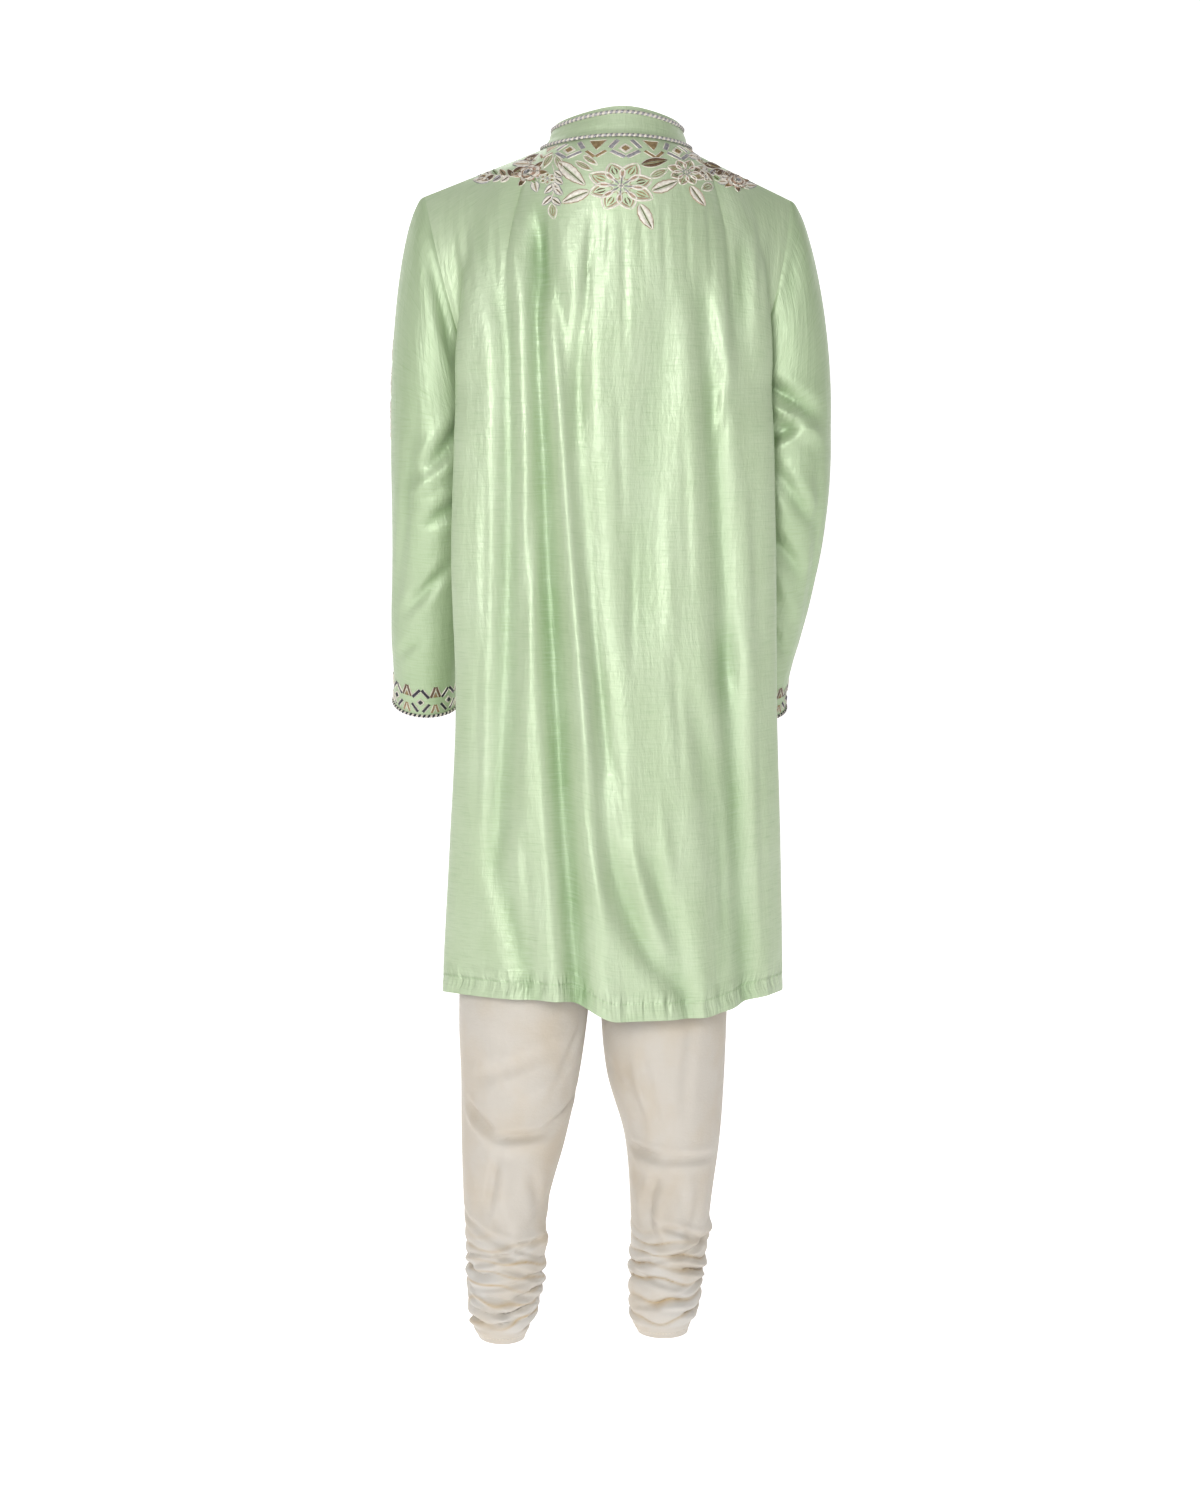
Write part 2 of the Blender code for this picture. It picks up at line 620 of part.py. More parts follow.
def kurta_panels():
    """The back and front panels with their folds."""
    panels = []
    for name, is_back, folds in (("kurta_back", True, BACK_FOLDS), ("kurta_front", False, FRONT_FOLDS)):
        rows = panel_grid(is_back)
        if not is_back:
            rows = [list(reversed(row)) for row in rows]
        last = len(rows[0]) - 1
        top = len(rows) - 1

        def offset(point, r, k):
            edge = min(k, last - k)
            return fold_offset(folds, point.x, -point.z, KURTA_BACK_LENGTH) * min(1.0, edge / 2.0) * (r < top)

        rows = move_out(rows, offset)
        open_vents(rows, last, 1.0 if is_back else -1.0)
        panels.append(rows)
    return panels


def open_vents(rows, last, sign):
    """Stand the side edges back along the vents at the hem."""
    for row in rows:
        for k in (0, last):
            below = smoothstep(KURTA_BACK_LENGTH - VENT_LENGTH, KURTA_BACK_LENGTH, -row[k].z)
            row[k].y += sign * VENT_OPEN * below


def armhole(rows_back, rows_front, side):
    """The armhole's loop from the underarm up the back and down the front, closed."""
    column_back = 0 if side > 0 else -1
    column_front = -1 if side > 0 else 0
    up = [row[column_back] for row in rows_back[BODY_ROWS:]]
    down = [row[column_front] for row in rows_front[BODY_ROWS:]]
    return up + list(reversed(down[:-1]))


def sleeve_grid(loop, rings, side):
    """Rows of a sleeve from the armhole to the cuff."""
    count = len(loop) - 1
    under, crown = loop[0], loop[YOKE_ROWS]
    first = rings[0]
    outer_end = Vector((side * (first.x + first.half_x), first.y, -first.drop))
    inner_end = Vector((side * (first.x - first.half_x), first.y, -first.drop - 0.006))

    def ellipse(outer, inner, half_y, middle_y):
        middle = (outer + inner) / 2
        reach = (outer - inner) / 2
        line = []
        for k in range(count + 1):
            angle = math.pi - 2 * math.pi * k / count
            line.append(middle + reach * math.cos(angle)
                        + Vector((0, half_y * math.sin(angle) + middle_y, 0)))
        return line

    start = ellipse(crown, under, 0.060, 0.0)
    rows = [list(loop)]
    for row in range(1, CAP_ROWS + 1):
        t = row / CAP_ROWS
        outer = bezier(crown, crown + Vector((side * 0.026, -0.002, -0.012)),
                       outer_end + Vector((side * 0.001, 0.008, 0.130)), outer_end, t)
        inner = under.lerp(inner_end, t ** 1.15) + Vector((side * UNDERARM_EASE * math.sin(math.pi * t), 0, 0))
        ring = ellipse(outer, inner, 0.060 + (first.half_y - 0.060) * t, 0.0)
        rest = (1 - t) ** 2
        rows.append([ring[k] + (loop[k] - start[k]) * rest for k in range(count + 1)])
    for ring in rings[1:]:
        pitch = math.radians(ring.pitch)
        line = []
        for k in range(count + 1):
            angle = math.pi - 2 * math.pi * k / count
            back = ring.half_y * math.sin(angle)
            line.append(Vector((side * (ring.x + ring.half_x * math.cos(angle)),
                                ring.y + back * math.cos(pitch),
                                -ring.drop - back * math.sin(pitch))))
        rows.append(line)
    for row in rows:
        row[-1] = row[0]
    return rows


def crease_offset(creases, drop, angle):
    """How far crumples move a tube's cloth out at a drop and an angle round it, in degrees."""
    total = 0.0
    for crease in creases:
        away = abs((angle - crease.angle + 180) % 360 - 180)
        if away < 90:
            level = (drop - crease.drop) / crease.height
            total += crease.depth * math.cos(math.radians(away)) ** 2 * math.exp(-level * level)
    return total


def sleeves(back, front):
    """Both sleeves as grids with their creases, the faces of each looking out."""
    grids = []
    for side, rings in ((1.0, SLEEVE_LEFT), (-1.0, SLEEVE_RIGHT)):
        rows = sleeve_grid(armhole(back, front, side), rings, side)
        count = len(rows[0]) - 1
        if side < 0:
            rows = [list(reversed(row)) for row in rows]

        def offset(point, r, k):
            if r == 0 or r > len(rows) - 3:
                return 0.0
            turn = 360.0 * (k if side > 0 else count - k) / count
            return crease_offset(SLEEVE_CREASES, -point.z, turn)

        rows = move_out(rows, offset, closed=True)
        for row in rows:
            row[-1] = row[0]
        grids.append(rows)
    return grids


def collar_grid():
    """The stand collar's rows from the neck seam up, from the front notch round the back."""
    half = [share for share in front_neck_shares() if share > 0]
    front_left = [neckline_front(share) for share in reversed(half)]
    back = [neckline_back(1.0 - 2.0 * k / NECK_COLUMNS) for k in range(1, NECK_COLUMNS)]
    front_right = [neckline_front(-share) for share in half]
    base = front_left + back + front_right
    rows = []
    for level in (0.0, 0.5, 1.0):
        line = []
        for point in base:
            to_back = (point.y + NECK_FRONT) / (NECK_BACK + NECK_FRONT)
            rise = COLLAR_FRONT + (COLLAR_BACK - COLLAR_FRONT) * to_back
            out = (point - Vector((NECK_X, 0, point.z))).normalized()
            rise += COLLAR_PEAK * max(0.0, out.y) ** 6
            lean = COLLAR_LEAN + COLLAR_LEFT_LEAN * max(0.0, out.x)
            inwards = out * (-lean * level * (1.3 - 0.3 * level))
            line.append(point + inwards + Vector((0, 0, rise * level)))
        rows.append(line)
    return rows


def leg_rows(rings, side):
    """Rows of a churidar leg from the waist to the ankle, from the inseam round front, outside and back."""
    drops = [WAIST_DROP, 0.560, 0.630]
    drops += [CROTCH_DROP - SEAT_RISE * share for share in (0.55, 0.25, 0.08)]
    drops += [CROTCH_DROP, 0.860, 0.960, 1.060, 1.140, 1.215, 1.290]
    per_fold = (GATHER_LOW - GATHER_TOP) / GATHER_FOLDS
    for fold in range(GATHER_FOLDS):
        drops += [GATHER_TOP + per_fold * (fold + step) for step in (0.0, 0.5)]
    drops += [GATHER_LOW, ANKLE_DROP]
    rows = []
    for drop in drops:
        level = max(drop, CROTCH_DROP)
        x = between(rings, "x", level)
        y = between(rings, "y", level)
        half_x = between(rings, "half_x", level)
        half_y = between(rings, "half_y", level)
        risen = min(1.0, max(0.0, (CROTCH_DROP - drop) / SEAT_RISE))
        opened = math.sqrt(1.0 - (1.0 - risen) ** 2)
        girth = 1.0 - (1.0 - WAIST_SHARE) * smoothstep(0.66, WAIST_DROP, drop)
        line = []
        for k in range(LEG_COLUMNS + 1):
            turn = 2 * math.pi * k / LEG_COLUMNS
            round_leg = Vector((x - side * half_x * math.cos(turn), y - half_y * math.sin(turn), -drop))
            half_turn = math.pi * k / LEG_COLUMNS
            depth = HIP_FRONT if half_turn < math.pi / 2 else HIP_BACK
            round_hip = Vector((CROTCH_X + side * HIP_HALF * girth * math.sin(half_turn) ** 0.85,
                                -depth * girth * math.cos(half_turn), -drop))
            place = round_leg.lerp(round_hip, opened)
            if opened == 0.0:
                place += Vector((-side * math.cos(turn), -math.sin(turn), 0)) * gather_offset(drop, turn)
                place += Vector((-side * math.cos(turn), -math.sin(turn), 0)) * crease_offset(
                    LEG_CREASES, drop, math.degrees(turn))
            line.append(place)
        if opened == 0.0:
            line[-1] = line[0]
        else:
            line[0].x = CROTCH_X
            line[-1].x = CROTCH_X
        rows.append(line)
    return rows


def gather_offset(drop, turn):
    """How far the ankle's gathers push the cloth out, each fold slanting round the leg."""
    inside = smoothstep(GATHER_TOP - 0.004, GATHER_TOP + 0.02, drop)
    inside *= 1.0 - smoothstep(GATHER_LOW - 0.010, GATHER_LOW, drop)
    phase = (drop - GATHER_TOP) / (GATHER_LOW - GATHER_TOP) * GATHER_FOLDS
    swell = 0.75 + 0.25 * math.cos(2 * turn + 1.9 * phase)
    return -GATHER_DEPTH * inside * swell * math.cos(2 * math.pi * phase)


def settle(points, normals, faces, tree, clearance):
    """Raise a laid piece's underside until its faces clear what it lies on."""
    heights = [clearance] * len(points)
    for _ in range(8):
        under = [p + n * h for p, n, h in zip(points, normals, heights)]
        for face in faces:
            corners = [under[k] for k in face]
            centre = (corners[0] + corners[1] + corners[2]) / 3
            samples = [centre] + [(corner + centre) / 2 for corner in corners]
            for share in (0.25, 0.5, 0.75):
                samples += [corners[k].lerp(corners[(k + 1) % 3], share) for k in range(3)]
            for sample in samples:
                near, normal, _face, _distance = tree.find_nearest(sample)
                short = clearance * 0.8 - (sample - near).dot(normal)
                if short > 0:
                    for k in face:
                        heights[k] = max(heights[k], (under[k] - points[k]).dot(normals[k]) + short)
    return heights


def lay(name, guesses, faces, rim, crowns, tree, finish, edge=APPLIQUE_EDGE):
    """Lay a closed thin body on a piece: guesses are points near it, crowns their extra thickness."""
    points = []
    normals = []
    for guess in guesses:
        near, normal, _face, _distance = tree.find_nearest(guess)
        points.append(near)
        normals.append(normal)
    heights = settle(points, normals, faces, tree, LIFT)
    under = [p + n * h for p, n, h in zip(points, normals, heights)]
    over = [p + n * (h + edge + crown) for p, n, h, crown in zip(points, normals, heights, crowns)]
    count = len(points)
    body = [tuple(face) for face in faces]
    body += [tuple(k + count for k in reversed(face)) for face in faces]
    for a, b in rim:
        body.append((a, a + count, b + count))
        body.append((a, b + count, b))
    return add_object(name, over + under, body, finish)


def motif_outline(kind, angle):
    """The reach of a motif's outline at an angle from its tip, as shares of half its length and width."""
    if kind == "flower":
        between_petals = math.cos(FLOWER_PETALS * angle) > 0.9
        reach = FLOWER_WAIST if between_petals else 1.0
        return reach * math.cos(angle), reach * math.sin(angle)
    if kind == "rose":
        reach = 0.95 + 0.05 * math.cos(5 * angle)
        return reach * math.cos(angle), reach * math.sin(angle)
    if kind == "patch":
        return math.cos(angle), math.sin(angle)
    if kind == "sprig":
        across = math.sin(angle) * (0.50 + 0.50 * abs(math.cos(3 * angle)))
        return math.cos(angle), across
    along = math.cos(angle)
    return along, math.sin(angle) * (1.0 - 0.45 * along * along)


def lay_motif(motif, tree, start, toward, finish):
    """Lay one applique motif; its middle is where a line from start along toward meets the panel."""
    spokes = {"flower": 3 * FLOWER_PETALS, "rose": 10, "patch": 16, "sprig": 12}.get(motif.kind, 8)
    rings = {"flower": 3, "patch": 4, "rose": 2, "sprig": 3}.get(motif.kind, 2)
    middle, normal, _face, _distance = tree.ray_cast(start, toward)
    down = Vector((0, 0, -1))
    down = (down - normal * down.dot(normal)).normalized()
    right = normal.cross(down)
    turn = math.radians(motif.turn)
    tip = down * math.cos(turn) + right * math.sin(turn)
    across = tip.cross(normal)
    guesses = [middle]
    crowns = [MOTIF_CROWN[motif.kind]]
    for ring in range(1, rings + 1):
        share = ring / rings
        for spoke in range(spokes):
            along, side = motif_outline(motif.kind, 2 * math.pi * spoke / spokes)
            guesses.append(middle + tip * (along * share * motif.length / 2)
                           + across * (side * share * motif.width / 2))
            crowns.append(MOTIF_CROWN[motif.kind] * (1 - share * share))
    faces = []
    for spoke in range(spokes):
        after = (spoke + 1) % spokes
        faces.append((0, 1 + spoke, 1 + after))
        for ring in range(1, rings):
            a = 1 + (ring - 1) * spokes + spoke
            b = 1 + (ring - 1) * spokes + after
            faces.append((a, a + spokes, b + spokes))
            faces.append((a, b + spokes, b))
    last = 1 + (rings - 1) * spokes
    rim = [(last + (spoke + 1) % spokes, last + spoke) for spoke in range(spokes)]
    return lay(motif.name, guesses, faces, rim, crowns, tree, finish)


def lay_band(name, rows, tree, finish, closed):
    """Lay a band given by rows of guessed points."""
    guesses = []
    index = {}
    for r, row in enumerate(rows):
        for k, point in enumerate(row[:-1] if closed else row):
            index[(r, k)] = len(guesses)
            guesses.append(point)
    count = len(rows[0]) - 1
    faces = []
    edges = {}
    for r in range(len(rows) - 1):
        for k in range(count):
            after = (k + 1) % count if closed else k + 1
            a, b = index[(r, k)], index[(r, after)]
            c, d = index[(r + 1, after)], index[(r + 1, k)]
            faces += [(a, b, c), (a, c, d)]
    for face in faces:
        for a, b in zip(face, face[1:] + face[:1]):
            edges[(a, b)] = True
    rim = [(a, b) for a, b in edges if (b, a) not in edges]
    return lay(name, guesses, faces, rim, [0.0] * len(guesses), tree, finish)


def rope(name, path, finish, closed):
    """A round cord along a path of points, each ring square to the path."""
    points = []
    faces = []
    count = len(path)
    for k, place in enumerate(path):
        before = path[k - 1] if closed or k > 0 else place
        after = path[(k + 1) % count] if closed or k < count - 1 else place
        forward = (after - before).normalized()
        side = forward.cross(Vector((0, 0, 1))).normalized()
        up = side.cross(forward)
        for step in range(ROPE_SIDES):
            angle = 2 * math.pi * step / ROPE_SIDES
            points.append(place + (side * math.cos(angle) + up * math.sin(angle)) * ROPE_RADIUS)
    for k in range(count if closed else count - 1):
        for step in range(ROPE_SIDES):
            a = k * ROPE_SIDES + step
            b = k * ROPE_SIDES + (step + 1) % ROPE_SIDES
            c = ((k + 1) % count) * ROPE_SIDES + (step + 1) % ROPE_SIDES
            d = ((k + 1) % count) * ROPE_SIDES + step
            faces.append((a, b, c, d))
    if not closed:
        faces.append(tuple(reversed(range(ROPE_SIDES))))
        faces.append(tuple(range((count - 1) * ROPE_SIDES, count * ROPE_SIDES)))
    return add_object(name, points, faces, finish)


def neck_ropes(collar):
    """The cord in the corner of the neck seam, and the cord under the collar's top edge."""
    base, middle, top = collar
    seam = []
    upper = []
    for k, point in enumerate(base):
        out = (point - Vector((NECK_X, 0, point.z))).normalized()
        corner = (out + Vector((0, 0, 0.75))).normalized()
        seam.append(point + corner * (ROPE_RADIUS * 1.16 + 0.0006))
        wall_up = (top[k] - middle[k]).normalized()
        wall_out = (out - wall_up * out.dot(wall_up)).normalized()
        upper.append(middle[k].lerp(top[k], 0.62) + wall_out * (ROPE_RADIUS + 0.0005))
    rope("neck_seam_cord", seam, "silver_cord", closed=False)
    rope("collar_top_cord", upper, "silver_cord", closed=False)


def cuff_trims(name, rows, sheet):
    """A cuff's embroidered band with its zigzag top, and the cord along its edge."""
    tree = sheet.tree()
    edge = rows[-1][:-1]
    above = rows[-2][:-1]
    middle = sum(edge, Vector()) / len(edge)
    up = (sum(above, Vector()) / len(above) - middle).normalized()
    ring = []
    count = len(edge)
    for k in range(2 * CUFF_TEETH):
        place = k * count / (2 * CUFF_TEETH)
        low = int(place)
        ring.append(edge[low].lerp(edge[(low + 1) % count], place - low))
    tooth = CUFF_BAND * 0.22
    bottom = [point + up * 0.0012 for point in ring]
    belt = [point + up * (CUFF_BAND * 0.5) for point in ring]
    top = [point + up * (CUFF_BAND - (tooth if k % 2 else 0.0)) for k, point in enumerate(ring)]
    rows_up = [line + line[:1] for line in (top, belt, bottom)]
    lay_band("cuff_band_" + name, rows_up, tree, "ivory_thread", closed=True)
    path = [point - up * (ROPE_RADIUS + 0.0004) + (middle - point).normalized() * (CLOTH / 2)
            for point in edge]
    rope("cuff_cord_" + name, path, "silver_cord", closed=True)


def neck_band(trees):
    """The geometric band under the neck seam cord: one strip on the back, one on each front side."""
    back_tree, front_tree = trees
    steps = 2 * NECK_COLUMNS
    start = ROPE_RADIUS * 2 + 0.0026

    def strip(points, outs):
        rows = []
        for level in (0, 1, 2):
            line = []
            for k, (point, out) in enumerate(zip(points, outs)):
                width = (NECK_BAND - (NECK_TOOTH if k % 2 else 0.0)) * (
                    NECK_BAND_END + (1.0 - NECK_BAND_END) * abs(out.y))
                reach = start + width * level / 2
                line.append(point + out * reach * 0.78 + Vector((0, 0, -reach * 0.62)))
            rows.append(line)
        return rows

    shares = [0.94 - 1.88 * k / steps for k in range(steps + 1)]
    points = [neckline_back(share) for share in shares]
    outs = [(p - Vector((NECK_X, 0, p.z))).normalized() for p in points]
    lay_band("neck_band_back", strip(points, outs), back_tree, "gold_thread", closed=False)
    for side, name in ((1.0, "left"), (-1.0, "right")):
        count = NECK_COLUMNS - 4
        shares = [side * (0.93 - 0.66 * k / count) for k in range(count + 1)]
        points = [neckline_front(share) for share in shares]
        outs = [(p - Vector((NECK_X, 0, p.z))).normalized() for p in points]
        rows = strip(points, outs)
        if side > 0:
            rows = [list(reversed(row)) for row in rows]
        rows = [list(reversed(row)) for row in rows]
        lay_band("neck_band_front_" + name, rows, front_tree, "gold_thread", closed=False)


def placket(front_sheet):
    """The placket strip down the front's middle, and its buttons."""
    tree = front_sheet.tree()
    top = NECK_FRONT_DROP + 0.010
    lines = []
    count = 8
    for row in range(count + 1):
        drop = top + PLACKET_LENGTH * row / count
        lines.append([Vector((NECK_X * (1 - row / count) + x, -0.14, -drop))
                      for x in (-PLACKET_WIDTH / 2, 0.0, PLACKET_WIDTH / 2)])
    strip = lay_band("front_placket", [list(reversed(line)) for line in lines], tree, "mint_silk", closed=False)
    strip_tree = BVHTree.FromPolygons([v.co for v in strip.data.vertices],
                                      [tuple(f.vertices) for f in strip.data.polygons])
    for button in range(BUTTON_COUNT):
        share = (button + 0.5) / BUTTON_COUNT
        start = Vector((NECK_X * (1 - share), -0.4, -top - PLACKET_LENGTH * share))
        near, normal, _face, _distance = strip_tree.ray_cast(start, Vector((0, 1, 0)))
        button_on("button_%d" % (button + 1), near, normal)


def button_on(name, near, normal):
    """A domed button on a short shank, standing on the placket."""
    side = normal.cross(Vector((0, 0, 1))).normalized()
    up = side.cross(normal)
    base = near + normal * LIFT
    points = []
    sides = 12
    levels = ((0.0, 0.30), (0.30, 0.34), (0.40, 0.92), (0.60, 1.0), (0.9, 0.70))
    for height, reach in levels:
        for k in range(sides):
            angle = 2 * math.pi * k / sides
            points.append(base + normal * (BUTTON_HEIGHT * height)
                          + (side * math.cos(angle) + up * math.sin(angle)) * (BUTTON_RADIUS * reach))
    points.append(base + normal * BUTTON_HEIGHT)
    faces = [tuple(range(sides))]
    for level in range(len(levels) - 1):
        for k in range(sides):
            a = level * sides + k
            b = level * sides + (k + 1) % sides
            faces.append((a, a + sides, b + sides, b))
    last = (len(levels) - 1) * sides
    for k in range(sides):
        faces.append((last + k, len(points) - 1, last + (k + 1) % sides))
    add_object(name, points, faces, "pale_button")


def waist_casing(left, right):
    """The casing's rows above the two legs' top edges, closed round the waist."""
    low = list(left[0]) + list(reversed(right[0]))[1:]
    low[-1] = low[0]
    return [low, [p + Vector((0, 0, CASING)) for p in low]]


def build():
    """Clear the file and make the kurta and the churidar."""
    for existing in list(bpy.data.objects):
        bpy.data.objects.remove(existing, do_unlink=True)
    back, front = kurta_panels()
    left_sleeve, right_sleeve = sleeves(back, front)
    collar = collar_grid()
    back_sheet = Sheet("kurta_back", back, "mint_silk")
    front_sheet = Sheet("kurta_front", front, "mint_silk")
    left_sheet = Sheet("sleeve_left", left_sleeve, "mint_silk")
    right_sheet = Sheet("sleeve_right", right_sleeve, "mint_silk")
    collar_sheet = Sheet("stand_collar", collar, "mint_silk")
    sew([[back_sheet, front_sheet], [left_sheet], [right_sheet], [collar_sheet]])
    left_leg = leg_rows(LEG_LEFT, 1.0)
    right_leg = leg_rows(LEG_RIGHT, -1.0)
    casing = waist_casing(left_leg, right_leg)
    sew([[Sheet("churidar_leg_left", [list(reversed(row)) for row in left_leg], "cream_cotton"),
          Sheet("churidar_leg_right", right_leg, "cream_cotton")],
         [Sheet("churidar_waist", casing, "cream_cotton")]])
    neck_ropes(collar)
    cuff_trims("left", left_sleeve, left_sheet)
    cuff_trims("right", right_sleeve, right_sheet)
    back_tree = back_sheet.tree()
    neck_band((back_tree, front_sheet.tree()))
    for motif in MOTIFS:
        finish = "gold_thread" if motif.kind == "rose" else "ivory_thread"
        lay_motif(motif, back_tree, Vector((motif.x, 0.5, -motif.drop)), Vector((0, -1, 0)), finish)
    patch = SLEEVE_PATCH
    lay_motif(patch, left_sheet.tree(), Vector((patch.x, SLEEVE_PATCH_Y, -patch.drop)), Vector((-1, 0, 0)),
              "gold_thread")
    placket(front_sheet)


build()
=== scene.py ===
"""A kurta set as worn: a mint silk kurta with an embroidered neck and cuffs, over a cream churidar.

The cloth hangs hollow, with its front towards -Y and the wearer's left towards +X. Everything is in metres.
"""

import logging
import math
from dataclasses import dataclass, field, fields
from enum import Enum
from typing import Callable, Iterable, Sequence

import bmesh
import bpy
import numpy as np
from mathutils import Matrix, Vector
from mathutils.bvhtree import BVHTree


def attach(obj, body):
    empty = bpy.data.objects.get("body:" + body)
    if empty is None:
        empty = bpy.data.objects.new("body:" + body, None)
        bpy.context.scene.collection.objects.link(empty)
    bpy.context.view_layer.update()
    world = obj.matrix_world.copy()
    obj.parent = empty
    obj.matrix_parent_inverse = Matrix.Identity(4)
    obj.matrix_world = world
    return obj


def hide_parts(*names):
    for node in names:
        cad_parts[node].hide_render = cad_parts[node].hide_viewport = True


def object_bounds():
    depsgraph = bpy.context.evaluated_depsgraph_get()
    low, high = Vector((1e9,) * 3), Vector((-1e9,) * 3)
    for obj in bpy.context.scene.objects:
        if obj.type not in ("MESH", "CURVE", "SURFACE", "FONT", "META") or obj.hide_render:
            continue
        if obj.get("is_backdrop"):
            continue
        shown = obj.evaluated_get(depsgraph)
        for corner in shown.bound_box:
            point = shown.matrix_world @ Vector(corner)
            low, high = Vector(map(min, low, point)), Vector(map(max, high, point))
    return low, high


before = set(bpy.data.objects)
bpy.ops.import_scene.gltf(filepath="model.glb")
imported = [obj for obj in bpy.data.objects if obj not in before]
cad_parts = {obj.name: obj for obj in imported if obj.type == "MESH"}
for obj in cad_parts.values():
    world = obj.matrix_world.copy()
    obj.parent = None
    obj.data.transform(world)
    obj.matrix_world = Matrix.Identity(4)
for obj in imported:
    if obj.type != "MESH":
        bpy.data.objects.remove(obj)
CAD_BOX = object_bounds()
LOG = logging.getLogger("kurta_set")

Rows = list[list[Vector]]
OnCloth = tuple[Vector, Vector]
Place = Callable[[float, float], OnCloth]
Path = tuple[Sequence[Vector], Sequence[Vector], bool]
Pair = tuple[float, float]
Colour = tuple[float, float, float]
Material = bpy.types.Material
Socket = bpy.types.NodeSocket


class Side(Enum):
    """The wearer's left or right, as the sign of x."""

    LEFT = 1.0
    RIGHT = -1.0

    @property
    def word(self) -> str:
        """The side as it stands in the names of pieces."""
        return self.name.lower()


class Stretch(Enum):
    """How a noise is stretched over cloth, as scales across and along the piece, for each metre."""

    SLUB = (34.0, 520.0)
    THREAD = (60.0, 1500.0)
    WARP = (1500.0, 60.0)
    CRINKLE = (70.0, 7.0)
    DENTS = (130.0, 42.0)
    MOTTLE = (14.0, 9.0)
    PUCKER = (95.0, 14.0)
    COTTON_MOTTLE = (16.0, 12.0)
    WEAVE = (1100.0, 1100.0)
    CRUMPLE = (26.0, 34.0)


# Curves and small sums


def srgb(red: float, green: float, blue: float) -> tuple[float, float, float, float]:
    """Turn a colour seen on a screen, 0 to 255, into a shader's linear values."""
    linear = [((c / 255.0 + 0.055) / 1.055) ** 2.4 for c in (red, green, blue)]
    return linear[0], linear[1], linear[2], 1.0


def smoothstep(low: float, high: float, value: float) -> float:
    """0 at low, 1 at high, with a soft start and end."""
    share = min(1.0, max(0.0, (value - low) / (high - low)))
    return share * share * (3.0 - 2.0 * share)


def between(rows: Sequence[object], column: str, drop: float) -> float:
    """Read a table's column at a drop.

    Args:
        rows: The table's rows, each with a drop, in order.
        column: The column's name.
        drop: How far below the origin.

    Returns:
        The value on a smooth curve through the rows.
    """
    last = len(rows) - 1
    k = 0
    while k < last - 1 and drop > rows[k + 1].drop:
        k += 1
    p = [getattr(rows[min(last, max(0, k + step))], column) for step in (-1, 0, 1, 2)]
    share = min(1.0, max(0.0, (drop - rows[k].drop) / (rows[k + 1].drop - rows[k].drop)))
    slope_low = (p[2] - p[0]) * 0.5
    slope_high = (p[3] - p[1]) * 0.5
    square = share * share
    cube = square * share
    return ((2 * cube - 3 * square + 1) * p[1] + (cube - 2 * square + share) * slope_low
            + (3 * square - 2 * cube) * p[2] + (cube - square) * slope_high)


def row_at(rows: Sequence[object], drop: float) -> object:
    """All of a table's columns at a drop, as one more row of the same kind."""
    kind = type(rows[0])
    return kind(drop, *(between(rows, column.name, drop) for column in fields(kind)[1:]))


def rows_of(kind: type, *rows: tuple) -> list:
    """Make one thing of a kind from each row of values."""
    return [kind(*row) for row in rows]


def bezier(a: Vector, b: Vector, c: Vector, d: Vector, t: float) -> Vector:
    """A point on a cubic curve."""
    s = 1.0 - t
    return a * (s * s * s) + b * (3 * s * s * t) + c * (3 * s * t * t) + d * (t * t * t)


def closed_curve(corners: Sequence[Vector], steps: int) -> list[Vector]:
    """A smooth closed curve through the corners.

    Args:
        corners: The points that it passes.
        steps: How many points each side gets.

    Returns:
        The curve's points.
    """
    count = len(corners)
    curve = []
    for k in range(count):
        p = [corners[(k + step) % count] for step in (-1, 0, 1, 2)]
        for step in range(steps):
            t = step / steps
            curve.append(0.5 * (2 * p[1] + (p[2] - p[0]) * t
                                + (2 * p[0] - 5 * p[1] + 4 * p[2] - p[3]) * t * t
                                + (3 * p[1] - p[0] - 3 * p[2] + p[3]) * t * t * t))
    return curve


def spread(curve: Sequence[Vector], shares: Iterable[float]) -> list[Vector]:
    """Find points at shares of an open curve's length.

    Args:
        curve: The curve's points.
        shares: Rising shares, 0 to 1.

    Returns:
        One point for each share.
    """
    lengths = [0.0]
    for a, b in zip(curve, curve[1:]):
        lengths.append(lengths[-1] + (b - a).length)
    points = []
    k = 0
    for share in shares:
        target = share * lengths[-1]
        while k < len(curve) - 2 and lengths[k + 1] < target:
            k += 1
        step = (target - lengths[k]) / (lengths[k + 1] - lengths[k])
        points.append(curve[k].lerp(curve[k + 1], step))
    return points


# Folds and creases

FOLD_FADE = 0.07
FOLD_LEAN = 0.45
FOLD_REACH = 4.5
CREASE_REACH = 3.4
CREASE_RUN = 0.25
CREASE_GROWN = 0.35
CREASE_FADING = 0.60
BANK_AT = 1.7
BANK_RISE = 0.30
HEM_REACH = 0.050
HEM_LINE = 0.022


def groove(across: float, bank_at: float = BANK_AT, bank_rise: float = BANK_RISE) -> float:
    """The section of a fold that has a low bank on both sides.

    Args:
        across: The distance from its middle, in its own widths.
        bank_at: Where the banks lie, in widths.
        bank_rise: How high they are, as a share of its depth.

    Returns:
        1 in its middle, a little below 0 at its banks and 0 far off.
    """
    banks = math.exp(-(across - bank_at) ** 2) + math.exp(-(across + bank_at) ** 2)
    return math.exp(-across * across) - bank_rise * banks


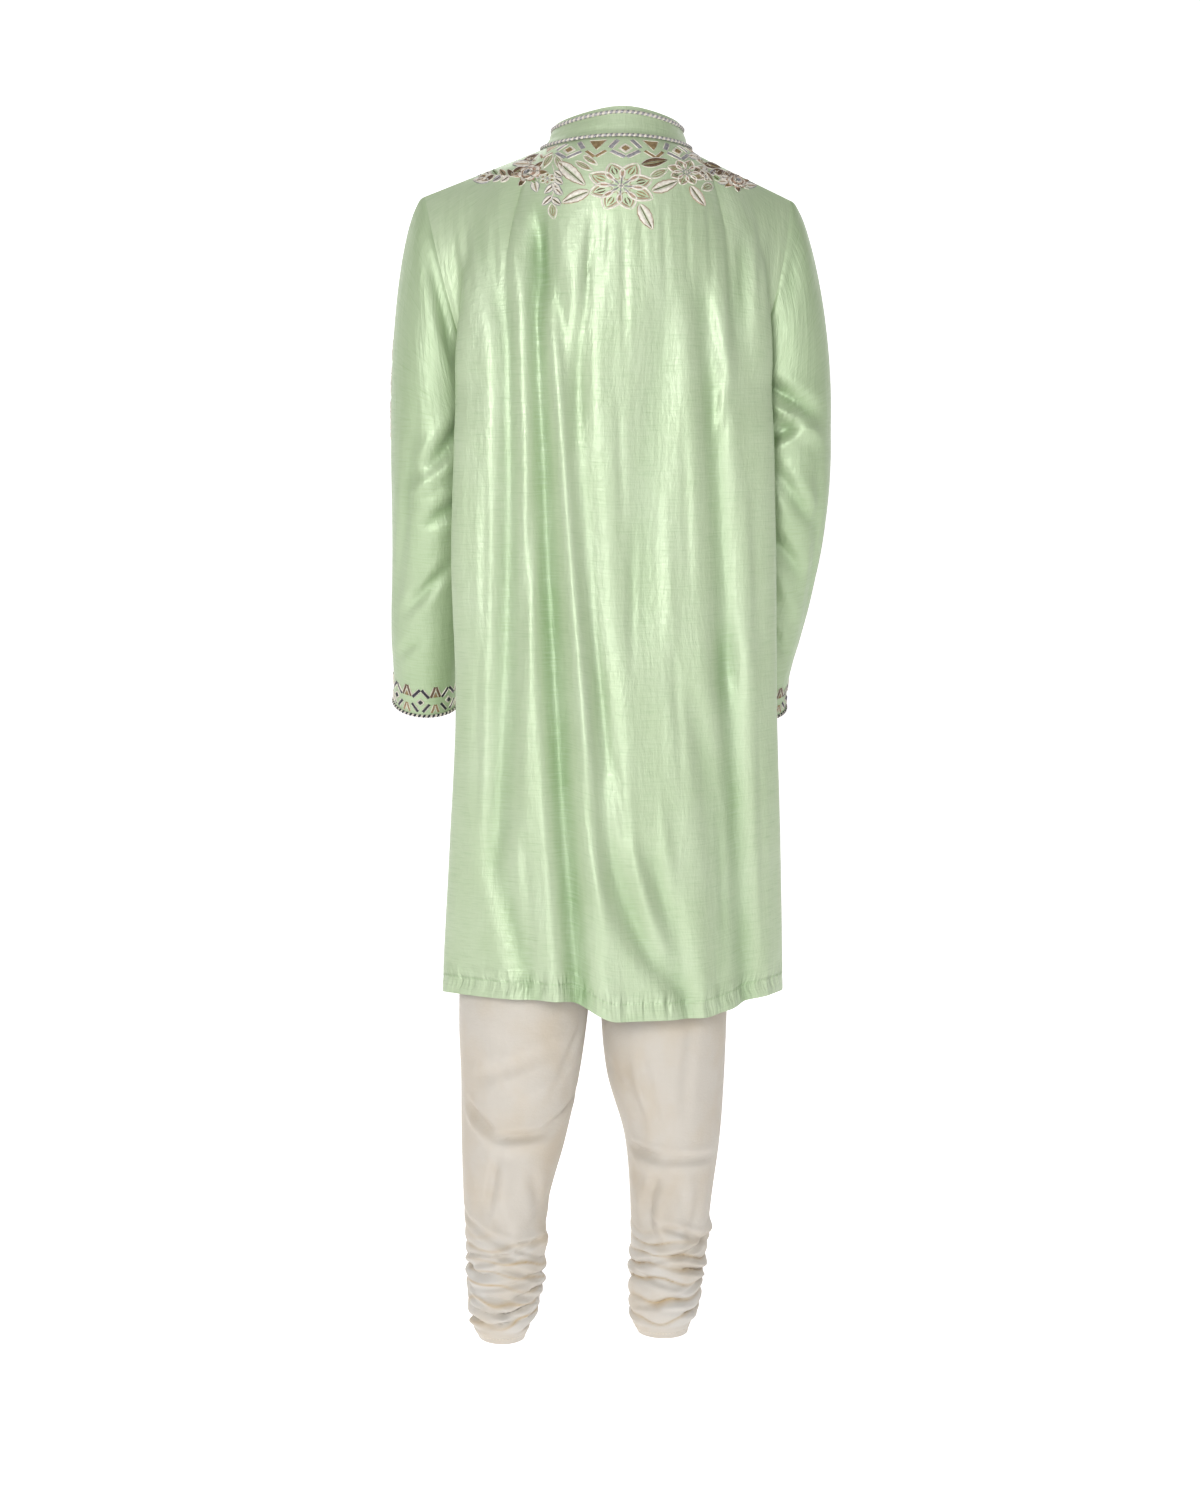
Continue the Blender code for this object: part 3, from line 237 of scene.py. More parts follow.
@dataclass(frozen=True)
class Fold:
    """A long fold: a trough below zero depth, a ridge above it, through three places as (x, drop)."""

    depth: float
    width: float
    top: Pair
    middle: Pair
    low: Pair
    lean: float = 0.0         # above zero the side towards the wearer's left is the steeper one

    def line(self, drop: float) -> float:
        """Where the fold's middle lies at a drop."""
        (x0, d0), (x1, d1), (x2, d2) = self.top, self.middle, self.low
        return (x0 * (drop - d1) * (drop - d2) / ((d0 - d1) * (d0 - d2))
                + x1 * (drop - d0) * (drop - d2) / ((d1 - d0) * (d1 - d2))
                + x2 * (drop - d0) * (drop - d1) / ((d2 - d0) * (d2 - d1)))

    def offset(self, x: float, drop: float, low_edge: float) -> float:
        """How far it moves the cloth out at a place of a panel whose hem is at the low edge."""
        start, end = self.top[1], self.low[1]
        if not start - FOLD_FADE < drop < end + FOLD_FADE:
            return 0.0
        fade = smoothstep(start - FOLD_FADE / 2, start + FOLD_FADE, drop)
        if end < low_edge:
            fade *= 1.0 - smoothstep(end - FOLD_FADE, end + FOLD_FADE / 2, drop)
        away = x - self.line(drop)
        lean = -FOLD_LEAN * self.lean if away > 0 else FOLD_LEAN * self.lean
        across = away / (self.width * (1.0 + lean))
        if abs(across) > FOLD_REACH:
            return 0.0
        return self.depth * fade * groove(across, bank_rise=BANK_RISE if self.depth < 0 else 0.0)


@dataclass(frozen=True)
class Crease:
    """A short crease on a panel, from one place to another as (x, drop)."""

    depth: float
    width: float
    start: Pair
    end: Pair

    def offset(self, x: float, drop: float) -> float:
        """How far it moves the cloth out at a place."""
        along_x = self.end[0] - self.start[0]
        along_d = self.end[1] - self.start[1]
        length = math.hypot(along_x, along_d)
        from_x = x - self.start[0]
        from_d = drop - self.start[1]
        share = (from_x * along_x + from_d * along_d) / length / length
        if share < -CREASE_RUN or share > 1.0 + CREASE_RUN:
            return 0.0
        away = (from_x * along_d - from_d * along_x) / length / self.width
        if abs(away) > CREASE_REACH:
            return 0.0
        fade = smoothstep(-CREASE_RUN, CREASE_GROWN, share)
        fade *= 1.0 - smoothstep(CREASE_FADING, 1.0 + CREASE_RUN, share)
        return self.depth * fade * groove(away)


@dataclass(frozen=True)
class TubeCrease:
    """A crease on a sleeve or leg, from one place to another as (angle in degrees, drop)."""

    depth: float
    width: float
    start: Pair
    end: Pair

    def offset(self, angle: float, drop: float, radius: float) -> float:
        """How far it moves the cloth out at a place of a tube with this radius."""
        to_length = math.radians(1.0) * radius
        flat = Crease(self.depth, self.width, (0.0, self.start[1]),
                      ((self.end[0] - self.start[0]) * to_length, self.end[1]))
        away = (angle - self.start[0] + 180.0) % 360.0 - 180.0
        return flat.offset(away * to_length, drop)


# Cloth as a grid of points

WELD_DISTANCE = 1e-6
CLOTH_EDGE_DEGREES = 55
STITCH_EDGE_DEGREES = 70


class ClothGrid:
    """One cloth piece's outer side as rows of points, with how deep in a fold each point lies."""

    def __init__(self, rows: Rows, closed: bool = False) -> None:
        """Keep the rows, which are closed where the last column lies on the first."""
        self.points = np.array([[tuple(p) for p in row] for row in rows], dtype=np.float64)
        self.closed = closed
        self.hollow = np.zeros(self.points.shape[:2])
        self.near_hem = np.zeros(self.points.shape[:2])

    def normals(self) -> np.ndarray:
        """The unit normal at each point."""
        p = self.points
        across = np.empty_like(p)
        across[:, 1:-1] = p[:, 2:] - p[:, :-2]
        if self.closed:
            across[:, 0] = across[:, -1] = p[:, 1] - p[:, -2]
        else:
            across[:, 0] = p[:, 1] - p[:, 0]
            across[:, -1] = p[:, -1] - p[:, -2]
        up = np.gradient(p, axis=0)
        normal = np.cross(across, up)
        length = np.linalg.norm(normal, axis=2, keepdims=True)
        return normal / np.maximum(length, 1e-12)

    def move_out(self, offset: Callable[[float, float, float, int, int], float]) -> None:
        """Move the points along their normals by offset(x, y, drop, row, column)."""
        count_r, count_c = self.hollow.shape
        out = np.zeros((count_r, count_c))
        for r in range(count_r):
            for k in range(count_c):
                x, y, z = self.points[r, k]
                out[r, k] = offset(x, y, -z, r, k)
        self.points += self.normals() * out[:, :, None]
        self.hollow += out

    def vectors(self, row: int) -> list[Vector]:
        """One row's points."""
        return [Vector(p) for p in self.points[row]]

    def faces(self) -> list[tuple[int, ...]]:
        """The faces between the rows, as numbers of points."""
        count_r, count_c = self.hollow.shape
        return [(a, a + 1, a + 1 + count_c, a + count_c)
                for r in range(count_r - 1) for a in range(r * count_c, (r + 1) * count_c - 1)]

    def tree(self) -> BVHTree:
        """The outer side's faces, for laying things on it."""
        return BVHTree.FromPolygons([Vector(p) for p in self.points.reshape(-1, 3)], self.faces())

    def cloth_map(self) -> np.ndarray:
        """How far each point lies from the middle and from the first row, measured on the cloth."""
        steps_u = np.linalg.norm(np.diff(self.points, axis=1), axis=2)
        along_u = np.concatenate([np.zeros((len(steps_u), 1)), np.cumsum(steps_u, axis=1)], axis=1)
        along_u -= along_u[:, -1:] * 0.5
        steps_v = np.linalg.norm(np.diff(self.points, axis=0), axis=2).mean(axis=1)
        along_v = np.concatenate([[0.0], np.cumsum(steps_v)])
        return np.stack([along_u, np.broadcast_to(along_v[:, None], along_u.shape)], axis=2)

    def build(self, name: str, finish: Material, wall: float) -> bpy.types.Object:
        """Make the piece with its wall.

        Args:
            name: The object's name.
            finish: Its material.
            wall: The cloth's thickness, laid inwards.

        Returns:
            The finished object.
        """
        mesh = bpy.data.meshes.new(name)
        mesh.from_pydata([tuple(p) for p in self.points.reshape(-1, 3)], [], self.faces())
        corner = np.empty(len(mesh.loops), dtype=np.int32)
        mesh.loops.foreach_get("vertex_index", corner)
        uv = self.cloth_map().reshape(-1, 2)[corner]
        mesh.uv_layers.new(name="cloth_uv").data.foreach_set("uv", uv.reshape(-1).astype(np.float32))
        for label, values in (("hollow", self.hollow), ("near_hem", self.near_hem)):
            layer = mesh.attributes.new(label, "FLOAT", "POINT")
            layer.data.foreach_set("value", values.reshape(-1).astype(np.float32))
        mend_mesh(mesh, lambda body: bmesh.ops.remove_doubles(body, verts=body.verts, dist=WELD_DISTANCE))
        mesh.materials.append(finish)
        made = link_object(name, mesh)
        solid = made.modifiers.new("wall", "SOLIDIFY")
        solid.thickness = wall
        solid.offset = -1.0
        apply_modifiers(made)
        made.data.shade_smooth()
        made.data.set_sharp_from_angle(angle=math.radians(CLOTH_EDGE_DEGREES))
        return made


def mend_mesh(mesh: bpy.types.Mesh, change: Callable[[bmesh.types.BMesh], object]) -> None:
    """Open a mesh for a change to its points and faces, and close it again."""
    body = bmesh.new()
    body.from_mesh(mesh)
    change(body)
    body.to_mesh(mesh)
    body.free()


def face_out(mesh: bpy.types.Mesh) -> None:
    """Turn a closed mesh's faces outwards."""
    mend_mesh(mesh, lambda body: bmesh.ops.recalc_face_normals(body, faces=body.faces))


def link_object(name: str, mesh: bpy.types.Mesh) -> bpy.types.Object:
    """Make an object of a mesh and put it in the scene."""
    made = bpy.data.objects.new(name, mesh)
    bpy.context.scene.collection.objects.link(made)
    return made


def apply_modifiers(made: bpy.types.Object) -> None:
    """Turn an object's modifiers into its plain mesh."""
    graph = bpy.context.evaluated_depsgraph_get()
    graph.update()
    finished = bpy.data.meshes.new_from_object(made.evaluated_get(graph), preserve_all_data_layers=True,
                                               depsgraph=graph)
    made.modifiers.clear()
    old = made.data
    made.data = finished
    finished.name = made.name
    bpy.data.meshes.remove(old)


def hand_over(piece: bpy.types.Object, nodes: Sequence[str]) -> None:
    """Let a piece stand for its solids and ride on the garment's body.

    Args:
        piece: The finished piece.
        nodes: The solids that it replaces.
    """
    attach(piece, "root")
    if nodes:
        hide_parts(*nodes)
    LOG.info("%s: %d faces for %s", piece.name, len(piece.data.polygons), ", ".join(nodes) or "no solid")


# The kurta's body


@dataclass(frozen=True)
class Section:
    """A level section.

    Its corner is where the back turns, its press is where the arm holds the cloth in, and its swing is how
    far it hangs to the left.
    """

    drop: float
    corner_x: float
    corner_y: float
    press: float
    side_y: float
    back: float
    front: float
    front_x: float
    swing: float


@dataclass(frozen=True)
class YokeCurve:
    """The inner points of the curves that a panel's columns follow from the underarm to the top edge."""

    low_middle: Vector
    low_side: Vector
    high_neck: Vector
    high_shoulder: Vector
    high_side: Vector


BACK_YOKE = YokeCurve(
    low_middle=Vector((0, 0, 0.110)),
    low_side=Vector((0.020, 0.042, 0.034)),
    high_neck=Vector((0, 0.035, -0.030)),
    high_shoulder=Vector((0, 0.060, -0.013)),
    high_side=Vector((-0.010, 0.062, -0.080)),
)
FRONT_YOKE = YokeCurve(
    low_middle=Vector((0, -0.012, 0.090)),
    low_side=Vector((-0.004, -0.054, 0.032)),
    high_neck=Vector((0, -0.022, -0.048)),
    high_shoulder=Vector((0, -0.060, -0.013)),
    high_side=Vector((-0.036, -0.078, -0.070)),
)


@dataclass
class KurtaBody:
    """The kurta's back and front panels, sewn at the shoulders and down the sides to the vents."""

    finish: Material
    back_length: float = 1.086
    hem_rise_left: float = 0.026
    hem_rise_side: float = 0.018
    hem_step: Pair = (0.005, 0.075)
    hem_behind: Pair = (-0.02, 0.06)
    hem_sides: Pair = (0.10, 0.21)
    shoulder_half: float = 0.232
    shoulder_drop: float = 0.060
    underarm_drop: float = 0.292
    vent_length: float = 0.20
    vent_open: float = 0.004
    neck_x: float = -0.009
    neck_half: float = 0.092
    neck_back: float = 0.080
    neck_front: float = 0.094
    neck_back_rise: float = 0.009
    neck_front_drop: float = 0.040
    neck_fan: float = 0.045
    notch: float = 0.07
    column_lean: float = 0.055
    blade_share: float = 0.55
    blade_step: float = 0.22
    front_flat: float = 0.74
    wall: float = 0.0013
    hem_depth: float = HEM_LINE
    pucker_width: float = 0.0042
    pucker_level: float = 0.80
    pucker_height: float = 0.55
    seam_rise: float = 0.0007
    stitch_groove: float = 0.0011
    stitch_width: float = 0.0028
    body_rows: int = 120
    yoke_rows: int = 46
    shoulder_columns: int = 38
    neck_columns: int = 84
    section_steps: int = 30
    sections: list[Section] = field(default_factory=lambda: rows_of(
        Section,
        (0.292, 0.197, 0.062, 0.170, -0.005, 0.112, 0.118, 0.148, 0.0),
        (0.360, 0.201, 0.064, 0.146, -0.010, 0.114, 0.124, 0.142, 0.0),
        (0.520, 0.205, 0.062, 0.156, -0.015, 0.110, 0.120, 0.144, 0.0),
        (0.700, 0.203, 0.060, 0.168, -0.010, 0.120, 0.124, 0.142, -0.004),
        (0.880, 0.208, 0.056, 0.192, -0.012, 0.130, 0.130, 0.170, -0.004),
        (1.090, 0.214, 0.050, 0.207, -0.010, 0.140, 0.138, 0.186, -0.002),
    ))
    back_folds: list[Fold] = field(default_factory=lambda: rows_of(
        Fold,
        (-0.0150, 0.017, (0.104, 0.075), (0.088, 0.580), (0.053, 1.110), 0.5),
        (0.0070, 0.014, (0.084, 0.190), (0.058, 0.560), (0.022, 0.980), -0.3),
        (-0.0080, 0.015, (0.078, 0.150), (0.052, 0.410), (0.020, 0.800), 0.5),
        (-0.0080, 0.018, (0.028, 0.760), (-0.004, 0.940), (-0.075, 1.060)),
        (-0.0045, 0.011, (0.026, 0.085), (0.044, 0.200), (0.050, 0.360), 0.4),
        (-0.0080, 0.016, (0.137, 0.150), (0.137, 0.450), (0.156, 0.900), 0.4),
        (-0.0060, 0.016, (0.158, 0.880), (0.129, 0.990), (0.100, 1.110)),
        (-0.0040, 0.013, (0.170, 0.070), (0.163, 0.150), (0.152, 0.230)),
        (-0.0060, 0.015, (-0.168, 0.085), (-0.157, 0.180), (-0.156, 0.270)),
        (-0.0080, 0.015, (-0.105, 0.160), (-0.122, 0.370), (-0.143, 0.680), -0.4),
        (-0.0110, 0.018, (-0.140, 0.600), (-0.149, 0.800), (-0.172, 1.110), -0.4),
        (-0.0040, 0.028, (-0.064, 0.170), (-0.038, 0.380), (-0.022, 0.640)),
        (-0.0060, 0.015, (-0.030, 0.860), (-0.060, 0.960), (-0.090, 1.110)),
        (-0.0070, 0.016, (-0.095, 0.680), (-0.112, 0.800), (-0.128, 1.110)),
    ))
    back_creases: list[Crease] = field(default_factory=lambda: rows_of(
        Crease,
        (-0.0030, 0.0060, (0.094, 0.085), (0.092, 0.190)),
        (-0.0018, 0.0035, (0.081, 0.095), (0.078, 0.165)),
        (-0.0022, 0.0040, (0.036, 0.090), (0.043, 0.215)),
        (-0.0018, 0.0035, (0.018, 0.085), (0.022, 0.165)),
        (-0.0020, 0.0045, (-0.004, 0.088), (-0.006, 0.250)),
        (-0.0016, 0.0035, (-0.026, 0.085), (-0.030, 0.155)),
        (-0.0018, 0.0040, (-0.055, 0.080), (-0.058, 0.180)),
        (-0.0014, 0.0040, (-0.085, 0.075), (-0.086, 0.170)),
        (-0.0016, 0.0040, (-0.114, 0.070), (-0.118, 0.175)),
        (-0.0020, 0.0050, (0.152, 0.075), (0.150, 0.200)),
        (-0.0022, 0.0050, (0.186, 0.085), (0.180, 0.190)),
        (-0.0018, 0.0040, (0.198, 0.110), (0.190, 0.215)),
        (-0.0016, 0.0040, (0.121, 0.075), (0.119, 0.150)),
        (-0.0022, 0.0050, (-0.140, 0.110), (-0.146, 0.240)),
        (-0.0020, 0.0045, (-0.186, 0.090), (-0.181, 0.200)),
        (-0.0018, 0.0050, (-0.112, 0.200), (-0.136, 0.300)),
        (0.0020, 0.0060, (-0.138, 0.290), (-0.120, 0.360)),
        (-0.0020, 0.0060, (0.108, 0.420), (0.118, 0.600)),
        (-0.0018, 0.0050, (0.166, 0.420), (0.168, 0.620)),
        (-0.0020, 0.0060, (0.174, 0.640), (0.178, 0.860)),
        (0.0018, 0.0070, (0.121, 0.640), (0.116, 0.840)),
        (-0.0018, 0.0050, (0.121, 0.860), (0.112, 1.010)),
        (-0.0016, 0.0050, (0.002, 0.330), (-0.004, 0.470)),
        (-0.0014, 0.0055, (-0.016, 0.480), (-0.014, 0.640)),
        (0.0016, 0.0080, (-0.060, 0.430), (-0.064, 0.620)),
        (-0.0018, 0.0055, (-0.080, 0.360), (-0.088, 0.540)),
        (-0.0018, 0.0060, (-0.068, 0.640), (-0.078, 0.800)),
        (0.0018, 0.0070, (-0.052, 0.820), (-0.064, 0.960)),
        (-0.0020, 0.0055, (-0.126, 0.820), (-0.134, 1.000)),
        (-0.0020, 0.0055, (-0.180, 0.720), (-0.190, 0.980)),
        (0.0020, 0.0070, (-0.160, 0.420), (-0.168, 0.600)),
        (-0.0020, 0.0060, (0.036, 0.560), (0.018, 0.740)),
        (-0.0022, 0.0060, (0.010, 0.760), (-0.012, 0.900)),
        (0.0020, 0.0080, (-0.008, 0.860), (-0.044, 0.990)),
    ))
    front_folds: list[Fold] = field(default_factory=lambda: rows_of(
        Fold,
        (-0.0100, 0.024, (0.095, 0.230), (0.100, 0.600), (0.120, 1.110)),
        (-0.0080, 0.022, (0.040, 0.420), (0.040, 0.700), (0.050, 1.110)),
        (-0.0080, 0.022, (-0.025, 0.480), (-0.020, 0.760), (-0.010, 1.110)),
        (-0.0100, 0.024, (-0.090, 0.260), (-0.090, 0.620), (-0.085, 1.110)),
    ))
    front_creases: list[Crease] = field(default_factory=lambda: rows_of(
        Crease,
        (-0.0020, 0.0050, (0.170, 0.110), (0.150, 0.220)),
        (-0.0018, 0.0045, (0.140, 0.100), (0.128, 0.190)),
        (-0.0020, 0.0060, (0.135, 0.280), (0.095, 0.340)),
        (-0.0020, 0.0060, (-0.165, 0.120), (-0.145, 0.230)),
        (-0.0016, 0.0050, (-0.120, 0.110), (-0.112, 0.200)),
        (-0.0020, 0.0060, (-0.130, 0.290), (-0.090, 0.350)),
        (-0.0020, 0.0060, (0.070, 0.560), (0.074, 0.800)),
        (0.0020, 0.0080, (0.012, 0.560), (0.008, 0.860)),
        (-0.0020, 0.0060, (-0.058, 0.520), (-0.052, 0.780)),
        (-0.0018, 0.0055, (-0.120, 0.560), (-0.122, 0.860)),
        (-0.0020, 0.0060, (0.132, 0.700), (0.142, 0.960)),
        (-0.0020, 0.0060, (0.018, 0.860), (0.022, 1.040)),
    ))
    puckers: list[Pair] = field(default_factory=lambda: [
        (0.196, 0.0023), (0.183, 0.0030), (0.163, 0.0019), (0.146, 0.0034), (0.134, 0.0023), (0.118, 0.0029),
        (0.103, 0.0023), (0.086, 0.0034), (0.071, 0.0023), (0.049, 0.0027), (0.024, 0.0019), (-0.004, 0.0023),
        (-0.031, 0.0019), (-0.058, 0.0029), (-0.083, 0.0019), (-0.112, 0.0027), (-0.139, 0.0019),
        (-0.164, 0.0027), (-0.188, 0.0019), (-0.201, 0.0027),
    ])

    def neckline(self, share: float, back: bool) -> Vector:
        """A neckline's point, share going from 1 at the wearer's left to -1 at the right."""
        angle = share * math.pi / 2
        x = self.neck_x + self.neck_half * math.sin(angle)
        if back:
            return Vector((x, self.neck_back * math.cos(angle), self.neck_back_rise * math.cos(angle) ** 2))
        return Vector((x, -self.neck_front * math.cos(angle), -self.neck_front_drop * math.cos(angle) ** 2))

    def neck_shares(self, back: bool) -> list[float]:
        """The places of a neckline's points; in front two of them are the sides of the notch."""
        if back:
            return [1.0 - 2.0 * k / self.neck_columns for k in range(self.neck_columns + 1)]
        count = self.neck_columns // 2 - 3
        side = [1.0 + (self.notch - 1.0) * k / count for k in range(count + 1)]
        inner = [self.notch * (1.0 - k / 3) for k in range(1, 3)]
        return side + inner + [0.0] + [-s for s in reversed(inner)] + [-s for s in reversed(side)]

    def shoulder_point(self, side: Side) -> Vector:
        """Where the shoulder seam meets the sleeve."""
        return Vector((side.value * self.shoulder_half, -0.005, -self.shoulder_drop))

    def ring(self, drop: float) -> tuple[list[Vector], list[Vector]]:
        """The level section at a drop: its back half and its front half, from the left side seam."""
        at = row_at(self.sections, drop)
        blade = (at.corner_x * self.blade_share, at.back - (at.back - at.corner_y) * self.blade_step)
        half = [(at.press, at.side_y), (at.corner_x, at.corner_y), blade]
        cheek = -at.front * self.front_flat
        outline = half + [(0, at.back)] + [(-x, y) for x, y in reversed(half)]
        outline += [(-at.front_x, cheek), (0, -at.front), (at.front_x, cheek)]
        curve = closed_curve([Vector((x, y, -drop)) for x, y in outline], self.section_steps)
        curve = [point + Vector((at.swing, 0, 0)) for point in curve]
        seam = 2 * len(half) * self.section_steps
        return curve[:seam + 1], curve[seam:] + curve[:1]

    def half_ring(self, drop: float, back: bool) -> list[Vector]:
        """A panel's own half of the section, from the wearer's left to the right."""
        back_half, front_half = self.ring(drop)
        return back_half if back else list(reversed(front_half))

    def hem_drop(self, x: float, y: float) -> float:
        """How far down the hem hangs at a place of the section."""
        raised = self.hem_rise_left * smoothstep(*self.hem_step, x) * smoothstep(*self.hem_behind, y)
        side = self.hem_rise_side * smoothstep(*self.hem_sides, abs(x)) * (1.0 - raised / self.hem_rise_left)
        return self.back_length - raised - side

    def top_edge(self, back: bool) -> list[Vector]:
        """A panel's top edge: the left shoulder seam, the neckline and the right shoulder seam."""
        left, right = self.shoulder_point(Side.LEFT), self.shoulder_point(Side.RIGHT)
        steps = self.shoulder_columns
        top = [left.lerp(self.neckline(1.0, back), k / steps) for k in range(steps)]
        top += [self.neckline(share, back) for share in self.neck_shares(back)]
        return top + [self.neckline(-1.0, back).lerp(right, k / steps) for k in range(1, steps + 1)]

    def yoke_column(self, low: Vector, top: Vector, share: float, back: bool) -> list[Vector]:
        """The four points of the curve that one column follows up the yoke.

        Args:
            low: Its point at the underarm's level.
            top: Its point on the top edge.
            share: Its place across the panel, 0 to 1.
            back: Whether it is on the back panel.

        Returns:
            The curve's points from the lowest to the top.
        """
        curve = BACK_YOKE if back else FRONT_YOKE
        u = 2.0 * share - 1.0
        mirror = Vector((-1.0 if u > 0 else 1.0, 1, 1))
        at_side = abs(u) ** 5
        from_neck = (top.x - self.neck_x) / self.neck_half
        fan = self.neck_fan * max(-1.0, min(1.0, from_neck)) * (1.0 - smoothstep(1.0, 2.0, abs(from_neck)))
        from_low = curve.low_middle.lerp(curve.low_side * mirror, at_side)
        from_top = curve.high_neck.lerp(curve.high_shoulder, smoothstep(0.60, 1.50, abs(from_neck)))
        from_top = (from_top + Vector((fan, 0, 0))).lerp(curve.high_side * mirror, at_side)
        return [low, low + from_low, top + from_top, top]

    def panel_rows(self, back: bool) -> Rows:
        """Lay out a panel before its folds.

        Args:
            back: Whether it is the back panel.

        Returns:
            Its rows from the hem up, each from the wearer's left to the right.
        """
        top = self.top_edge(back)
        shares = [k / (len(top) - 1) for k in range(len(top))]
        rows = []
        for row in range(self.body_rows):
            part = row / self.body_rows
            half = self.half_ring(self.back_length + (self.underarm_drop - self.back_length) * part, back)
            lean = self.column_lean * (1.0 - part) / (4.0 * self.shoulder_half) if back else 0.0
            line = spread(half, [s + lean * 4.0 * s * (1.0 - s) for s in shares])
            for point in line:
                point.z = -(self.hem_drop(point.x, point.y) * (1 - part) + self.underarm_drop * part)
            rows.append(line)
        start = spread(self.half_ring(self.underarm_drop, back), shares)
        columns = [self.yoke_column(low, high, share, back) for low, high, share in zip(start, top, shares)]
        for row in range(self.yoke_rows + 1):
            rows.append([bezier(*column, row / self.yoke_rows) for column in columns])
        return rows

    def hem_pucker(self, x: float, above: float) -> float:
        """The small vertical puckers that the hem's stitching draws, at a height above the hem's edge."""
        level = above / self.hem_depth
        if level > 2.2:
            return 0.0
        total = 0.0
        for place, depth in self.puckers:
            away = (x - place) / self.pucker_width
            if abs(away) < 3.0:
                total -= depth * math.exp(-away * away)
        return total * math.exp(-((level - self.pucker_level) / self.pucker_height) ** 2)

    def panel(self, back: bool) -> ClothGrid:
        """A panel with its folds, creases, hem and vents."""
        rows = self.panel_rows(back)
        if not back:
            rows = [list(reversed(row)) for row in rows]
        grid = ClothGrid(rows)
        last = len(rows[0]) - 1
        top = len(rows) - 1
        folds = self.back_folds if back else self.front_folds
        creases = self.back_creases if back else self.front_creases
        fold_columns, fold_rows = last / 18.0, 5.0
        crease_columns, crease_rows = 8.0, 6.0
        seam_column, seam_columns = 2.2, 1.2

        def fade(r: int, k: int, columns: float, rows_down: float) -> float:
            return min(1.0, min(k, last - k) / columns) * min(1.0, (top - r) / rows_down)

        def folded(x: float, _y: float, drop: float, r: int, k: int) -> float:
            out = sum(fold.offset(x, drop, self.back_length) for fold in folds)
            return out * fade(r, k, fold_columns, fold_rows)

        def creased(x: float, y: float, drop: float, r: int, k: int) -> float:
            above = self.hem_drop(x, y) - drop
            small = sum(crease.offset(x, drop) for crease in creases) + self.hem_pucker(x, above)
            small -= self.stitch_groove * math.exp(-((above - self.hem_depth) / self.stitch_width) ** 2)
            seam = self.seam_rise * math.exp(-((min(k, last - k) - seam_column) / seam_columns) ** 2)
            return small * fade(r, k, crease_columns, crease_rows) + seam * (r < top - 1)

        for r in range(top + 1):
            for k in range(last + 1):
                x, y, z = grid.points[r, k]
                grid.near_hem[r, k] = max(0.0, 1.0 - (self.hem_drop(x, y) + z) / HEM_REACH)
        grid.move_out(folded)
        grid.move_out(creased)
        sign = 1.0 if back else -1.0
        for k in (0, last):
            for r in range(top + 1):
                drop = -grid.points[r, k, 2]
                below = smoothstep(self.back_length - self.vent_length, self.back_length, drop)
                grid.points[r, k, 1] += sign * self.vent_open * below
        return grid

    def armhole(self, back: ClothGrid, front: ClothGrid, side: Side) -> list[Vector]:
        """The armhole's loop from the underarm up the back and down the front, closed."""
        column_back, column_front = (0, -1) if side is Side.LEFT else (-1, 0)
        up = [Vector(p) for p in back.points[self.body_rows:, column_back]]
        down = [Vector(p) for p in front.points[self.body_rows:, column_front]]
        return up + list(reversed(down[:-1]))

    def make(self) -> tuple[ClothGrid, ClothGrid]:
        grids = []
        for name, back in (("back", True), ("front", False)):
            grid = self.panel(back)
            piece = grid.build("silk_" + name + "_panel", self.finish, self.wall)
            hand_over(piece, ["kurta_" + name])
            grids.append(grid)
        return grids[0], grids[1]


# Sleeves


@dataclass(frozen=True)
class Ring:
    """A ring of a sleeve: x is its distance from the body's axis, pitch its forward tilt in degrees."""

    drop: float
    x: float
    y: float
    half_x: float
    half_y: float
    pitch: float


